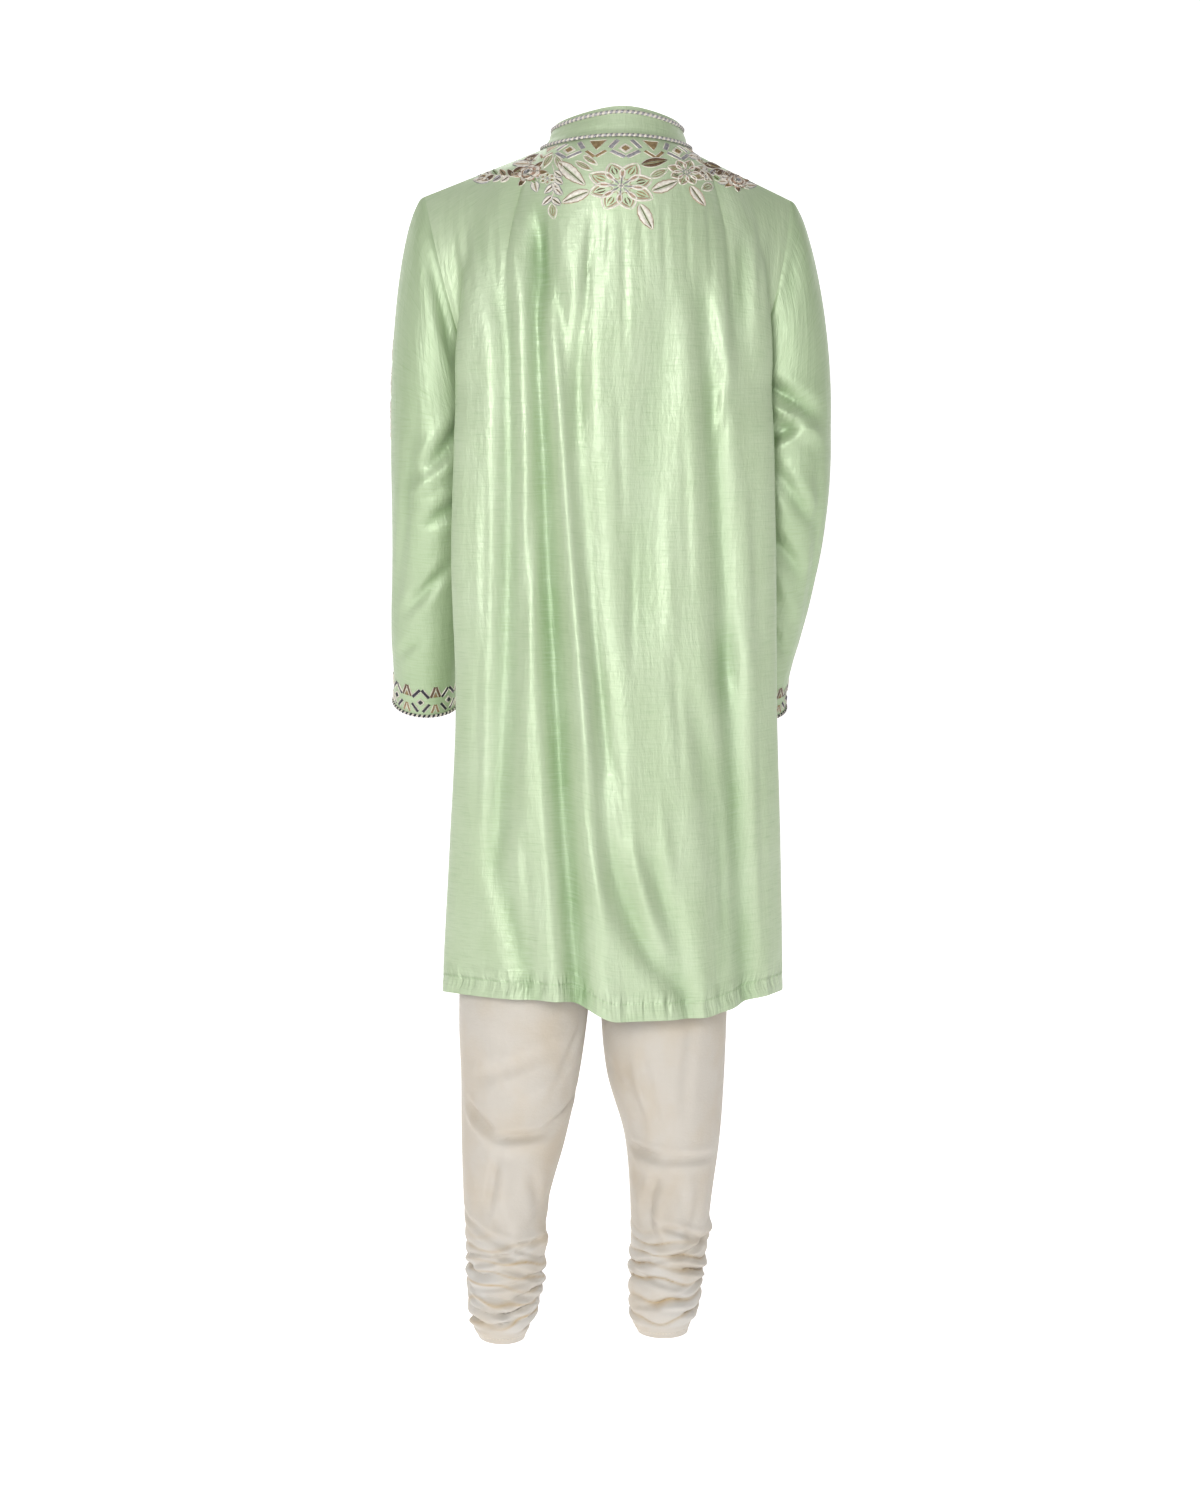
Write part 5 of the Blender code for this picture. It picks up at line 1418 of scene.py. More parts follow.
@dataclass(frozen=True)
class SlubSilk:
    """Pale mint silk with a satin sheen and slubs across it, and painted shade that makes it darker and
    greener in its folds.
    """

    name: str = "mint_slub_silk"
    face: Colour = (173, 190, 155)
    pale: Colour = (190, 203, 176)
    # A darker green for the darker slubs and threads, and for the painted shade in the folds.
    deep: Colour = (116, 150, 98)
    roughness: float = 0.43
    sheen: float = 0.20

    def make(self) -> Material:
        """Build the material."""
        face, pale, deep = srgb(*self.face), srgb(*self.pale), srgb(*self.deep)
        shader = Shader(self.name, face, self.roughness)
        shader.set("Sheen Weight", self.sheen)
        shader.set("Sheen Roughness", 0.35)
        shader.set("Sheen Tint", srgb(236, 244, 228))
        shader.set("Specular IOR Level", 0.65)
        shader.set("Metallic", 0.22)
        slub = shader.cloth_noise(Stretch.SLUB.value, 2.0)
        thread = shader.cloth_noise(Stretch.THREAD.value, 1.0)
        # Painted shade: the deeper a fold, the more of the darker green, standing in for the shade in its
        # trough.
        colour = shader.tint(face, shader.kept("hollow"), (-0.001, -0.015), 0.75, deep)
        colour = shader.tint(colour, shader.cloth_noise(Stretch.MOTTLE.value, 3.0), (0.35, 0.75), 0.35, pale)
        colour = shader.tint(colour, slub, (0.50, 0.80), 0.26, pale)
        colour = shader.tint(colour, slub, (0.42, 0.18), 0.22, deep)
        shader.colour(shader.tint(colour, thread, (0.45, 0.20), 0.14, deep))
        shader.roughness(shader.range(slub, 0.2, 0.8, self.roughness + 0.07, self.roughness - 0.05))
        shader.bump(shader.cloth_noise(Stretch.CRINKLE.value, 3.0, 0.55), 0.0015, 0.40)
        shader.bump(shader.cloth_noise(Stretch.DENTS.value, 3.0, 0.6), 0.0014, 0.55)
        shader.bump(slub, 0.00028, 0.50)
        self.hem(shader)
        shader.bump(shader.cloth_noise(Stretch.WARP.value, 1.0), 0.00016, 0.35)
        return shader.done()

    def hem(self, shader: Shader) -> None:
        """Raise the turned hem above its line of stitches, with the puckers that the stitches draw.

        Args:
            shader: The material, whose cloth holds how near the hem each place is.
        """
        near = shader.kept("near_hem")
        line = 1.0 - HEM_LINE / HEM_REACH
        turned_cloth = shader.range(near, line - 0.05, line + 0.03, 0.0, 1.0)
        above = shader.range(near, line - 0.34, line - 0.04, 0.0, 1.0)
        below = shader.range(near, 1.0, line + 0.10, 0.35, 1.0)
        noise = shader.cloth_noise(Stretch.PUCKER.value, 2.0, 0.55)
        puckers = shader.times(shader.range(noise, 0.30, 0.70, 0.0, 1.0), shader.times(above, below))
        shader.bump(puckers, 0.0026, 0.85)
        shader.bump(turned_cloth, 0.0011, 0.80)


@dataclass(frozen=True)
class SoftCotton:
    """Cream cotton with a soft nap, fine crumples and a warm mottle, and painted shade that makes it warmer
    and darker in its gathers' troughs.
    """

    name: str = "cream_soft_cotton"
    face: Colour = (192, 188, 181)
    # A warm darker cream for the random mottle and for the painted shade in the gathers' troughs.
    warm_mottle_and_shade: Colour = (176, 154, 118)
    roughness: float = 0.72
    sheen: float = 0.30

    def make(self) -> Material:
        """Build the material."""
        face, warm_mottle_and_shade = srgb(*self.face), srgb(*self.warm_mottle_and_shade)
        shader = Shader(self.name, face, self.roughness)
        shader.set("Sheen Weight", self.sheen)
        shader.set("Sheen Roughness", 0.5)
        shader.set("Sheen Tint", srgb(250, 244, 232))
        shader.set("Specular IOR Level", 0.35)
        weave = shader.cloth_noise(Stretch.WEAVE.value, 1.0)
        # Painted shade: darker and warmer where the cloth lies low in a gather.
        colour = shader.tint(face, shader.kept("hollow"), (0.0008, -0.0045), 0.95, warm_mottle_and_shade)
        mottle = shader.cloth_noise(Stretch.COTTON_MOTTLE.value, 3.0)
        shader.colour(shader.tint(colour, mottle, (0.4, 0.75), 0.30, warm_mottle_and_shade))
        shader.roughness(shader.range(weave, 0.3, 0.7, self.roughness + 0.05, self.roughness - 0.06))
        shader.bump(shader.cloth_noise(Stretch.CRUMPLE.value, 4.0, 0.55), 0.0030, 0.50)
        shader.bump(weave, 0.00022, 0.45)
        return shader.done()


@dataclass(frozen=True)
class StitchThread:
    """Embroidery thread laid side by side, with a fine ribbed light."""

    name: str
    face: Colour
    dark: Colour
    roughness: float = 0.45
    metallic: float = 0.0

    def make(self) -> Material:
        """Build the material."""
        face, dark = srgb(*self.face), srgb(*self.dark)
        shader = Shader(self.name, face, self.roughness)
        shader.set("Metallic", self.metallic)
        shader.set("Specular IOR Level", 0.55)
        fine = shader.body_noise(1400.0, 2.0)
        colour = shader.tint(face, shader.body_noise(260.0, 2.0), (0.35, 0.75), 0.8, dark)
        shader.colour(shader.tint(colour, fine, (0.45, 0.75), 0.5, dark))
        shader.roughness(shader.range(fine, 0.3, 0.7, self.roughness + 0.08, self.roughness - 0.08))
        shader.bump(fine, 0.00035, 0.7)
        return shader.done()


@dataclass(frozen=True)
class ShellButton:
    """The pale polished stuff of the front's buttons."""

    name: str = "polished_shell"
    face: Colour = (226, 222, 210)
    veil: Colour = (203, 198, 184)
    roughness: float = 0.22

    def make(self) -> Material:
        """Build the material."""
        shader = Shader(self.name, srgb(*self.face), self.roughness)
        shader.set("Coat Weight", 0.4)
        cloud = shader.body_noise(190.0, 3.0)
        shader.colour(shader.tint(srgb(*self.face), cloud, (0.35, 0.7), 0.8, srgb(*self.veil)))
        shader.roughness(shader.range(cloud, 0.3, 0.7, 0.30, 0.18))
        shader.bump(cloud, 0.0002, 0.3)
        return shader.done()


@dataclass(frozen=True)
class StudioFloor:
    """The pale even floor, lit from within a little as a product table is."""

    name: str = "studio_floor"
    face: Colour = (250, 249, 250)
    shade: Colour = (246, 245, 246)
    roughness: float = 0.85
    glow: float = 0.62

    def make(self) -> Material:
        """Build the material."""
        face = srgb(*self.face)
        shader = Shader(self.name, face, self.roughness)
        shader.set("Emission Color", face)
        shader.set("Emission Strength", self.glow)
        grain = shader.body_noise(30.0, 2.0)
        shader.colour(shader.tint(face, grain, (0.3, 0.7), 0.3, srgb(*self.shade)))
        shader.bump(grain, 0.0004, 0.2)
        return shader.done()


class Thread(Enum):
    """The threads of the embroidery with their finishes, in the order of a piece's materials."""

    WHITE = StitchThread("white_thread", (224, 219, 208), (178, 171, 157), 0.42)
    SILVER = StitchThread("silver_thread", (172, 170, 172), (112, 110, 116), 0.34, 0.45)
    ROSE = StitchThread("rose_beige_thread", (176, 150, 130), (128, 100, 80), 0.46, 0.1)
    GOLD = StitchThread("dull_gold_thread", (160, 138, 100), (106, 84, 54), 0.40, 0.35)
    BROWN = StitchThread("brown_thread", (106, 82, 58), (62, 44, 30), 0.45, 0.15)
    DARK = StitchThread("dark_thread", (42, 42, 54), (22, 22, 28), 0.38, 0.2)
    LEAF = StitchThread("green_thread", (148, 176, 124), (96, 126, 78), 0.42)


class Finishes:
    """Every material of the set, made once."""

    def __init__(self) -> None:
        """Make the cloths, the threads and the buttons' shell."""
        self.silk = SlubSilk().make()
        # The sleeves' silk is a darker copy of the same silk: painted shade over the whole of both sleeves.
        self.sleeve_silk = SlubSilk("mint_slub_silk_sleeve_shaded", (162, 181, 144), (180, 196, 164)).make()
        self.cotton = SoftCotton().make()
        self.mint = StitchThread("mint_sewing_thread", (176, 204, 158), (146, 180, 128), 0.5).make()
        self.cream = StitchThread("cream_sewing_thread", (232, 224, 208), (206, 194, 172), 0.55).make()
        self.shell = ShellButton().make()
        self.threads = {thread: thread.value.make() for thread in Thread}


# Threads that follow a path


@dataclass
class PathThread:
    """Beads of thread set along a path by Geometry Nodes: a twisted rope or a row of stitches.

    Each bead is a slim drop as long as `length`, turned by `slant` degrees from the path about the way out
    of the cloth, with the two finishes taking turns.
    """

    name: str
    first: Material
    second: Material
    pitch: float
    length: float
    half_width: float
    half_height: float
    slant: float

    def sizes(self) -> dict[str, float]:
        """The sizes that the node tree asks for, by name."""
        return {"Pitch": self.pitch, "Length": self.length, "Half Width": self.half_width,
                "Half Height": self.half_height, "Slant": math.radians(self.slant)}

    def tree(self) -> bpy.types.NodeTree:
        """Build the node tree with its named sizes."""
        tree = bpy.data.node_groups.new(self.name + "_nodes", "GeometryNodeTree")
        tree.interface.new_socket("Geometry", in_out="INPUT", socket_type="NodeSocketGeometry")
        for label in self.sizes():
            tree.interface.new_socket(label, in_out="INPUT", socket_type="NodeSocketFloat")
        tree.interface.new_socket("Geometry", in_out="OUTPUT", socket_type="NodeSocketGeometry")

        def node(kind: str, inputs: dict[object, object], **choices: str) -> Sequence[Socket]:
            made = tree.nodes.new(kind)
            for name, choice in choices.items():
                setattr(made, name, choice)
            for socket, value in inputs.items():
                if isinstance(value, Socket):
                    tree.links.new(value, made.inputs[socket])
                else:
                    made.inputs[socket].default_value = value
            return made.outputs

        entry = node("NodeGroupInput", {})
        line = node("GeometryNodeMeshToCurve", {0: entry["Geometry"]})
        even = node("GeometryNodeResampleCurve", {"Curve": line[0], "Length": entry["Pitch"]}, mode="LENGTH")
        points = node("GeometryNodeCurveToPoints", {0: even[0]}, mode="EVALUATED")
        out = node("GeometryNodeInputNamedAttribute", {"Name": "out"}, data_type="FLOAT_VECTOR")
        along = node("FunctionNodeAlignRotationToVector", {"Vector": points["Tangent"]}, axis="Z")
        outwards = node("FunctionNodeAlignRotationToVector", {"Rotation": along[0], "Vector": out[0]},
                        axis="X", pivot_axis="Z")
        turn = node("ShaderNodeCombineXYZ", {"X": entry["Slant"]})
        slant = node("FunctionNodeEulerToRotation", {0: turn[0]})
        facing = node("FunctionNodeRotateRotation", {"Rotation": outwards[0], "Rotate By": slant[0]},
                      rotation_space="LOCAL")
        bead = node("GeometryNodeMeshUVSphere", {"Segments": 6, "Rings": 4, "Radius": 1.0})
        half = node("ShaderNodeMath", {0: entry["Length"], 1: 0.5}, operation="MULTIPLY")
        size = node("ShaderNodeCombineXYZ",
                    {"X": entry["Half Height"], "Y": entry["Half Width"], "Z": half[0]})
        odd = node("ShaderNodeMath", {0: node("GeometryNodeInputIndex", {})[0], 1: 2.0}, operation="MODULO")
        not_odd = node("ShaderNodeMath", {0: 1.0, 1: odd[0]}, operation="SUBTRACT")
        dressed = []
        for chosen, finish in ((odd, self.first), (not_odd, self.second)):
            placed = node("GeometryNodeInstanceOnPoints", {
                "Points": points["Points"], "Instance": bead["Mesh"], "Rotation": facing[0],
                "Scale": size[0], "Selection": chosen[0]})
            solid = node("GeometryNodeRealizeInstances", {0: placed[0]})
            dressed.append(node("GeometryNodeSetMaterial", {0: solid[0], "Material": finish})[0])
        join = tree.nodes.new("GeometryNodeJoinGeometry")
        for beads in dressed:
            tree.links.new(beads, join.inputs[0])
        node("NodeGroupOutput", {0: join.outputs[0]})
        return tree

    def make(self, paths: Sequence[Path]) -> bpy.types.Object:
        """Set the beads along one or more paths.

        Args:
            paths: For each path its points, the way out of the cloth at each, and whether it is closed.

        Returns:
            The plain mesh object.
        """
        points: list[Vector] = []
        outs: list[Vector] = []
        edges: list[tuple[int, int]] = []
        for line, ways_out, closed in paths:
            start = len(points)
            points += line
            outs += ways_out
            edges += [(start + k, start + k + 1) for k in range(len(line) - 1)]
            if closed:
                edges.append((start + len(line) - 1, start))
        mesh = bpy.data.meshes.new(self.name)
        mesh.from_pydata([tuple(p) for p in points], edges, [])
        way = mesh.attributes.new("out", "FLOAT_VECTOR", "POINT")
        way.data.foreach_set("vector", [c for out in outs for c in out])
        made = link_object(self.name, mesh)
        tree = self.tree()
        modifier = made.modifiers.new("thread", "NODES")
        modifier.node_group = tree
        sizes = self.sizes()
        for item in tree.interface.items_tree:
            if item.item_type == "SOCKET" and item.in_out == "INPUT" and item.name in sizes:
                modifier[item.identifier] = sizes[item.name]
        apply_modifiers(made)
        made.data.shade_smooth()
        return made


# Embroidery

PHOTO_FORWARD = Vector((-0.1212, -0.9871, -0.1045))
PHOTO_RIGHT = Vector((-0.99255, 0.12187, 0.0))
PHOTO_UP = Vector((-0.01274, -0.10375, 0.99452))
CAST_FROM = 0.4
CORD_SECTION = ((-1.0, -0.15), (-0.75, 0.62), (0.0, 1.0), (0.75, 0.62), (1.0, -0.15))
SEED_SECTION = ((0.75, -0.1), (1.0, 0.45), (0.6, 0.88))
SEED_SIDES = 6
PAD_FOOT = -0.0002
SQUARE_LIFT = 0.0009


def seen_on(tree: BVHTree, centre: Vector) -> Place:
    """Lay a drawing on the cloth as it is seen from the photograph's side.

    Args:
        tree: The cloth.
        centre: A point near the drawing's middle.

    Returns:
        A function from (right, down) in metres to the cloth's point and its way out.
    """

    def place(u: float, v: float) -> OnCloth:
        spot = centre + PHOTO_RIGHT * u - PHOTO_UP * v
        point, normal, _face, _distance = tree.ray_cast(spot - PHOTO_FORWARD * CAST_FROM, PHOTO_FORWARD)
        if point is None:
            point, normal, _face, _distance = tree.find_nearest(spot)
        return point, normal

    return place


def turned(place: Place, u: float, v: float, degrees: float) -> Place:
    """A drawing's own axes moved to (u, v) and turned, so that its down points away from straight down."""
    c, s = math.cos(math.radians(degrees)), math.sin(math.radians(degrees))

    def inner(a: float, b: float) -> OnCloth:
        return place(u + a * c + b * s, v - a * s + b * c)

    return inner


def flattened(place: Place, share: float) -> Place:
    """A drawing's axes with its downward lengths pressed to a share."""

    def inner(a: float, b: float) -> OnCloth:
        return place(a, b * share)

    return inner


def lifted(place: Place, height: float) -> Place:
    """A drawing's axes on top of what is already sewn, at a height above the cloth."""

    def inner(a: float, b: float) -> OnCloth:
        point, out = place(a, b)
        return point + out * height, out

    return inner


def square_on_tip(a: float, b: float, half: float) -> list[Pair]:
    """The corners of a square that stands on its tip, round (a, b)."""
    return [(a, b - half), (a + half, b), (a, b + half), (a - half, b)]


class Embroidery:
    """One piece of raised embroidery, gathered from pads, cords and seeds."""

    def __init__(self, name: str, finishes: Finishes) -> None:
        """Start an empty piece."""
        self.name = name
        self.finishes = finishes
        self.points: list[Vector] = []
        self.faces: list[tuple[int, ...]] = []
        self.threads: list[Thread] = []

    def add_face(self, thread: Thread, *corners: int) -> None:
        """Keep a face in a thread's finish."""
        self.faces.append(corners)
        self.threads.append(thread)

    def skin(self, thread: Thread, start: int, width: int, closed: bool = False) -> None:
        """Join the sections that were just laid, with flat ends unless they are closed.

        Args:
            thread: The thread that they are in.
            start: The number of their first point.
            width: How many points each section has.
            closed: Whether the last section meets the first.
        """
        count = (len(self.points) - start) // width
        for k in range(count if closed else count - 1):
            low = start + k * width
            high = start + ((k + 1) % count) * width
            for step in range(width):
                after = (step + 1) % width
                self.add_face(thread, low + step, low + after, high + after, high + step)
        if not closed:
            self.add_face(thread, *range(start, start + width))
            last = start + (count - 1) * width
            self.add_face(thread, *reversed(range(last, last + width)))

    def cord(self, line: Sequence[OnCloth], thread: Thread, half_width: float, height: float,
             closed: bool = False, lift: float = 0.0) -> None:
        """Couch a cord on the cloth.

        Args:
            line: Points with the cloth's way out at each.
            thread: Its thread.
            half_width: Half of its width.
            height: How far it stands up.
            closed: Whether its end meets its start.
            lift: How far it lies above the cloth.
        """
        count = len(line)
        start = len(self.points)
        for k, (point, out) in enumerate(line):
            before = line[k - 1][0] if closed or k > 0 else point
            after = line[(k + 1) % count][0] if closed or k < count - 1 else point
            side = (after - before).cross(out)
            side = side.normalized() if side.length > 1e-9 else Vector((1, 0, 0))
            taper = 1.0 if closed or 0 < k < count - 1 else 0.35
            for across, high in CORD_SECTION:
                self.points.append(point + side * (half_width * across * taper)
                                   + out * (height * high * taper + lift))
        self.skin(thread, start, len(CORD_SECTION), closed)

    def edges(self, left: Sequence[OnCloth], right: Sequence[OnCloth],
              thread: Thread, half_width: float, height: float) -> None:
        """Couch the same cord along both edges of a shape."""
        self.cord(left, thread, half_width, height)
        self.cord(right, thread, half_width, height)

    def pad(self, left: Sequence[OnCloth], right: Sequence[OnCloth],
            thread: Thread, crown: float, lift: float = 0.0) -> None:
        """Fill between two edges with a raised satin pad.

        Args:
            left: One edge's points with the way out.
            right: The other edge's.
            thread: Its thread.
            crown: How far its middle stands up.
            lift: How far it lies above the cloth.
        """
        start = len(self.points)
        levels = ((0.0, PAD_FOOT), (0.0, 0.35 * crown), (0.25, 0.85 * crown), (0.5, crown),
                  (0.75, 0.85 * crown), (1.0, 0.35 * crown), (1.0, PAD_FOOT))
        for k, ((a, out_a), (b, out_b)) in enumerate(zip(left, right)):
            end = 0.5 if k in (0, len(left) - 1) else 1.0
            for share, high in levels:
                out = out_a.lerp(out_b, share).normalized()
                self.points.append(a.lerp(b, share) + out * (high * end + lift))
        self.skin(thread, start, len(levels))

    def seed(self, place: OnCloth, thread: Thread, radius: float, height: float,
             lift: float = 0.0) -> None:
        """A knot or bead on the cloth."""
        point, out = place
        side = out.cross(Vector((0, 0, 1)))
        side = side.normalized() if side.length > 1e-6 else Vector((1, 0, 0))
        up = side.cross(out)
        start = len(self.points)
        for reach, high in SEED_SECTION:
            for k in range(SEED_SIDES):
                angle = 2 * math.pi * k / SEED_SIDES
                self.points.append(point + (side * math.cos(angle) + up * math.sin(angle)) * (radius * reach)
                                   + out * (height * high + lift))
        self.points.append(point + out * (height + lift))
        top = len(self.points) - 1
        for k in range(SEED_SIDES):
            after = (k + 1) % SEED_SIDES
            for low in range(start, top - SEED_SIDES, SEED_SIDES):
                high = low + SEED_SIDES
                self.add_face(thread, low + k, low + after, high + after, high + k)
            self.add_face(thread, top - SEED_SIDES + k, top - SEED_SIDES + after, top)
        self.add_face(thread, *reversed(range(start, start + SEED_SIDES)))

    def blade(self, place: Place, length: float, width: float, bend: float = 0.0,
              scallops: int = 0, steps: int = 10) -> tuple[list, list, list]:
        """The two edges and the vein of a pointed petal or leaf that grows down from (0, 0).

        Args:
            place: The drawing's axes.
            length: From its root to its tip.
            width: Its greatest width.
            bend: How far its tip leans to the right.
            scallops: How many scallops each edge has.
            steps: How many steps its edges have.

        Returns:
            The left edge, the right edge and the vein, as points with the way out.
        """
        left, right, vein = [], [], []
        for k in range(steps + 1):
            s = k / steps
            half = 0.5 * width * math.sin(math.pi * s ** 0.85) ** 0.85 if 0.0 < s < 1.0 else 0.0
            if scallops:
                half *= 0.86 + 0.14 * abs(math.sin(math.pi * scallops * s))
            half += 0.00025
            middle = bend * s * s
            left.append(place(middle - half, length * s))
            right.append(place(middle + half, length * s))
            vein.append(place(middle, length * s))
        return left, right, vein

    def petal(self, place: Place, length: float, width: float, inner: Thread, seeds: Thread) -> None:
        """An outlined petal with a second outline inside and short curved strokes."""
        left, right, _vein = self.blade(place, length, width)
        self.edges(left, right, Thread.WHITE, 0.034 * width + 0.0005, 0.0014)
        inside = turned(place, 0.0, length * 0.08, 0.0)
        left, right, _vein = self.blade(inside, length * 0.80, width * 0.66, steps=7)
        self.edges(left, right, inner, 0.030 * width + 0.0003, 0.0010)
        for side in (-1.0, 1.0):
            stroke = [place(side * width * (0.05 + 0.07 * math.sin(math.pi * s)), length * (0.36 + 0.36 * s))
                      for s in (0.0, 0.33, 0.67, 1.0)]
            self.cord(stroke, seeds, 0.028 * width + 0.0003, 0.0010)

    def leaf(self, place: Place, length: float, width: float, sides: Thread, middle: Thread,
             outline: Thread, bend: float = 0.0, scallops: int = 0) -> None:
        """A leaf of two satin halves beside a vein, with a thin outline."""
        left, right, vein = self.blade(place, length, width, bend, scallops, 12 if scallops else 9)
        to_vein = 0.78

        def inward(edge: list) -> list:
            return [(a.lerp(b, to_vein), out) for (a, out), (b, _way) in zip(edge, vein)]

        self.pad(left, inward(left), sides, 0.0011)
        self.pad(inward(right), right, sides, 0.0011)
        self.cord(vein[1:-1], middle, 0.0006, 0.0009)
        self.edges(left, right, outline, 0.0005, 0.0012)

    def outlined_leaf(self, place: Place, length: float, width: float, inner: Thread,
                      bend: float = 0.0) -> None:
        """An open leaf: a white outline, an inner outline and a vein, with the silk showing between."""
        left, right, vein = self.blade(place, length, width, bend)
        self.edges(left, right, Thread.WHITE, 0.0008, 0.0010)
        inside = turned(place, 0.0, length * 0.10, 0.0)
        left, right, _vein = self.blade(inside, length * 0.72, width * 0.55, bend * 0.7, steps=7)
        self.edges(left, right, inner, 0.0005, 0.0008)
        self.cord(vein[2:-2], Thread.GOLD, 0.0005, 0.0007)

    def bar(self, place: Place, start: Pair, end: Pair, width: float,
            thread: Thread) -> None:
        """A straight satin bar with a thin white edging on both sides.

        Args:
            place: The drawing's axes.
            start: Where it starts.
            end: Where it ends.
            width: Its width.
            thread: Its thread.
        """
        along = Vector((end[0] - start[0], end[1] - start[1]))
        side = Vector((-along.y, along.x)).normalized() * (width / 2)
        left, right = [], []
        steps = 4
        for k in range(steps + 1):
            middle = Vector(start) + along * (k / steps)
            left.append(place(*(middle + side)))
            right.append(place(*(middle - side)))
        self.pad(left, right, thread, 0.0009)
        self.edges(left, right, Thread.WHITE, 0.00062, 0.0013)

    def wedge(self, place: Place, corners: Sequence[Pair], fill: Thread,
              edging: Thread) -> None:
        """A filled triangle or diamond with an edging: three or four corners, in order."""
        a, b, *middle, c = (Vector(corner) for corner in corners)
        if middle:
            left_line, right_line = (a, b, middle[0]), (a, c, middle[0])
            shares = [0.02, 0.5, 1.0, 1.5, 1.98]
        else:
            left_line, right_line = (a, b), (a, c)
            shares = [0.02, 0.35, 0.7, 1.0]

        def on(line: Sequence[Vector], share: float) -> OnCloth:
            k = min(len(line) - 2, int(share))
            return place(*line[k].lerp(line[k + 1], share - k))

        self.pad([on(left_line, s) for s in shares], [on(right_line, s) for s in shares], fill, 0.0008)
        ring = [place(*corner) for corner in corners]
        rim = []
        for (p, out), (q, _out) in zip(ring, ring[1:] + ring[:1]):
            rim += [(p.lerp(q, share), out) for share in (0.06, 0.5, 0.94)]
        self.cord(rim, edging, 0.00045, 0.0010, closed=True)

    def build(self) -> bpy.types.Object:
        """Make the piece's object."""
        mesh = bpy.data.meshes.new(self.name)
        mesh.from_pydata([tuple(p) for p in self.points], [], self.faces)
        for thread in Thread:
            mesh.materials.append(self.finishes.threads[thread])
        number = {thread: k for k, thread in enumerate(Thread)}
        mesh.polygons.foreach_set("material_index", [number[thread] for thread in self.threads])
        face_out(mesh)
        mesh.shade_smooth()
        mesh.set_sharp_from_angle(angle=math.radians(STITCH_EDGE_DEGREES))
        return link_object(self.name, mesh)


class Growth(Enum):
    """The kinds of single motif on the yoke."""

    FLOWER = "flower"
    SCALLOPED = "scalloped leaf"
    OUTLINED = "outlined leaf"
    SATIN = "satin leaf"
    DARK_LEAF = "dark satin leaf"
    SPRIG = "sprig"
    ROSE = "rose"
    ROSETTE = "rosette"
    SPRAY = "spray"


LEAF_STYLES = {
    Growth.SCALLOPED: (Thread.WHITE, Thread.BROWN, Thread.ROSE, 0.002, 5),
    Growth.SATIN: (Thread.WHITE, Thread.ROSE, Thread.SILVER, 0.001),
    Growth.DARK_LEAF: (Thread.BROWN, Thread.GOLD, Thread.WHITE, 0.001),
}


@dataclass(frozen=True)
class Motif:
    """One motif on the yoke: its kind, its middle (x, drop) from behind, its size as seen, and its turn."""

    kind: Growth
    x: float
    drop: float
    length: float
    width: float
    turn: float
    node: str | None = None


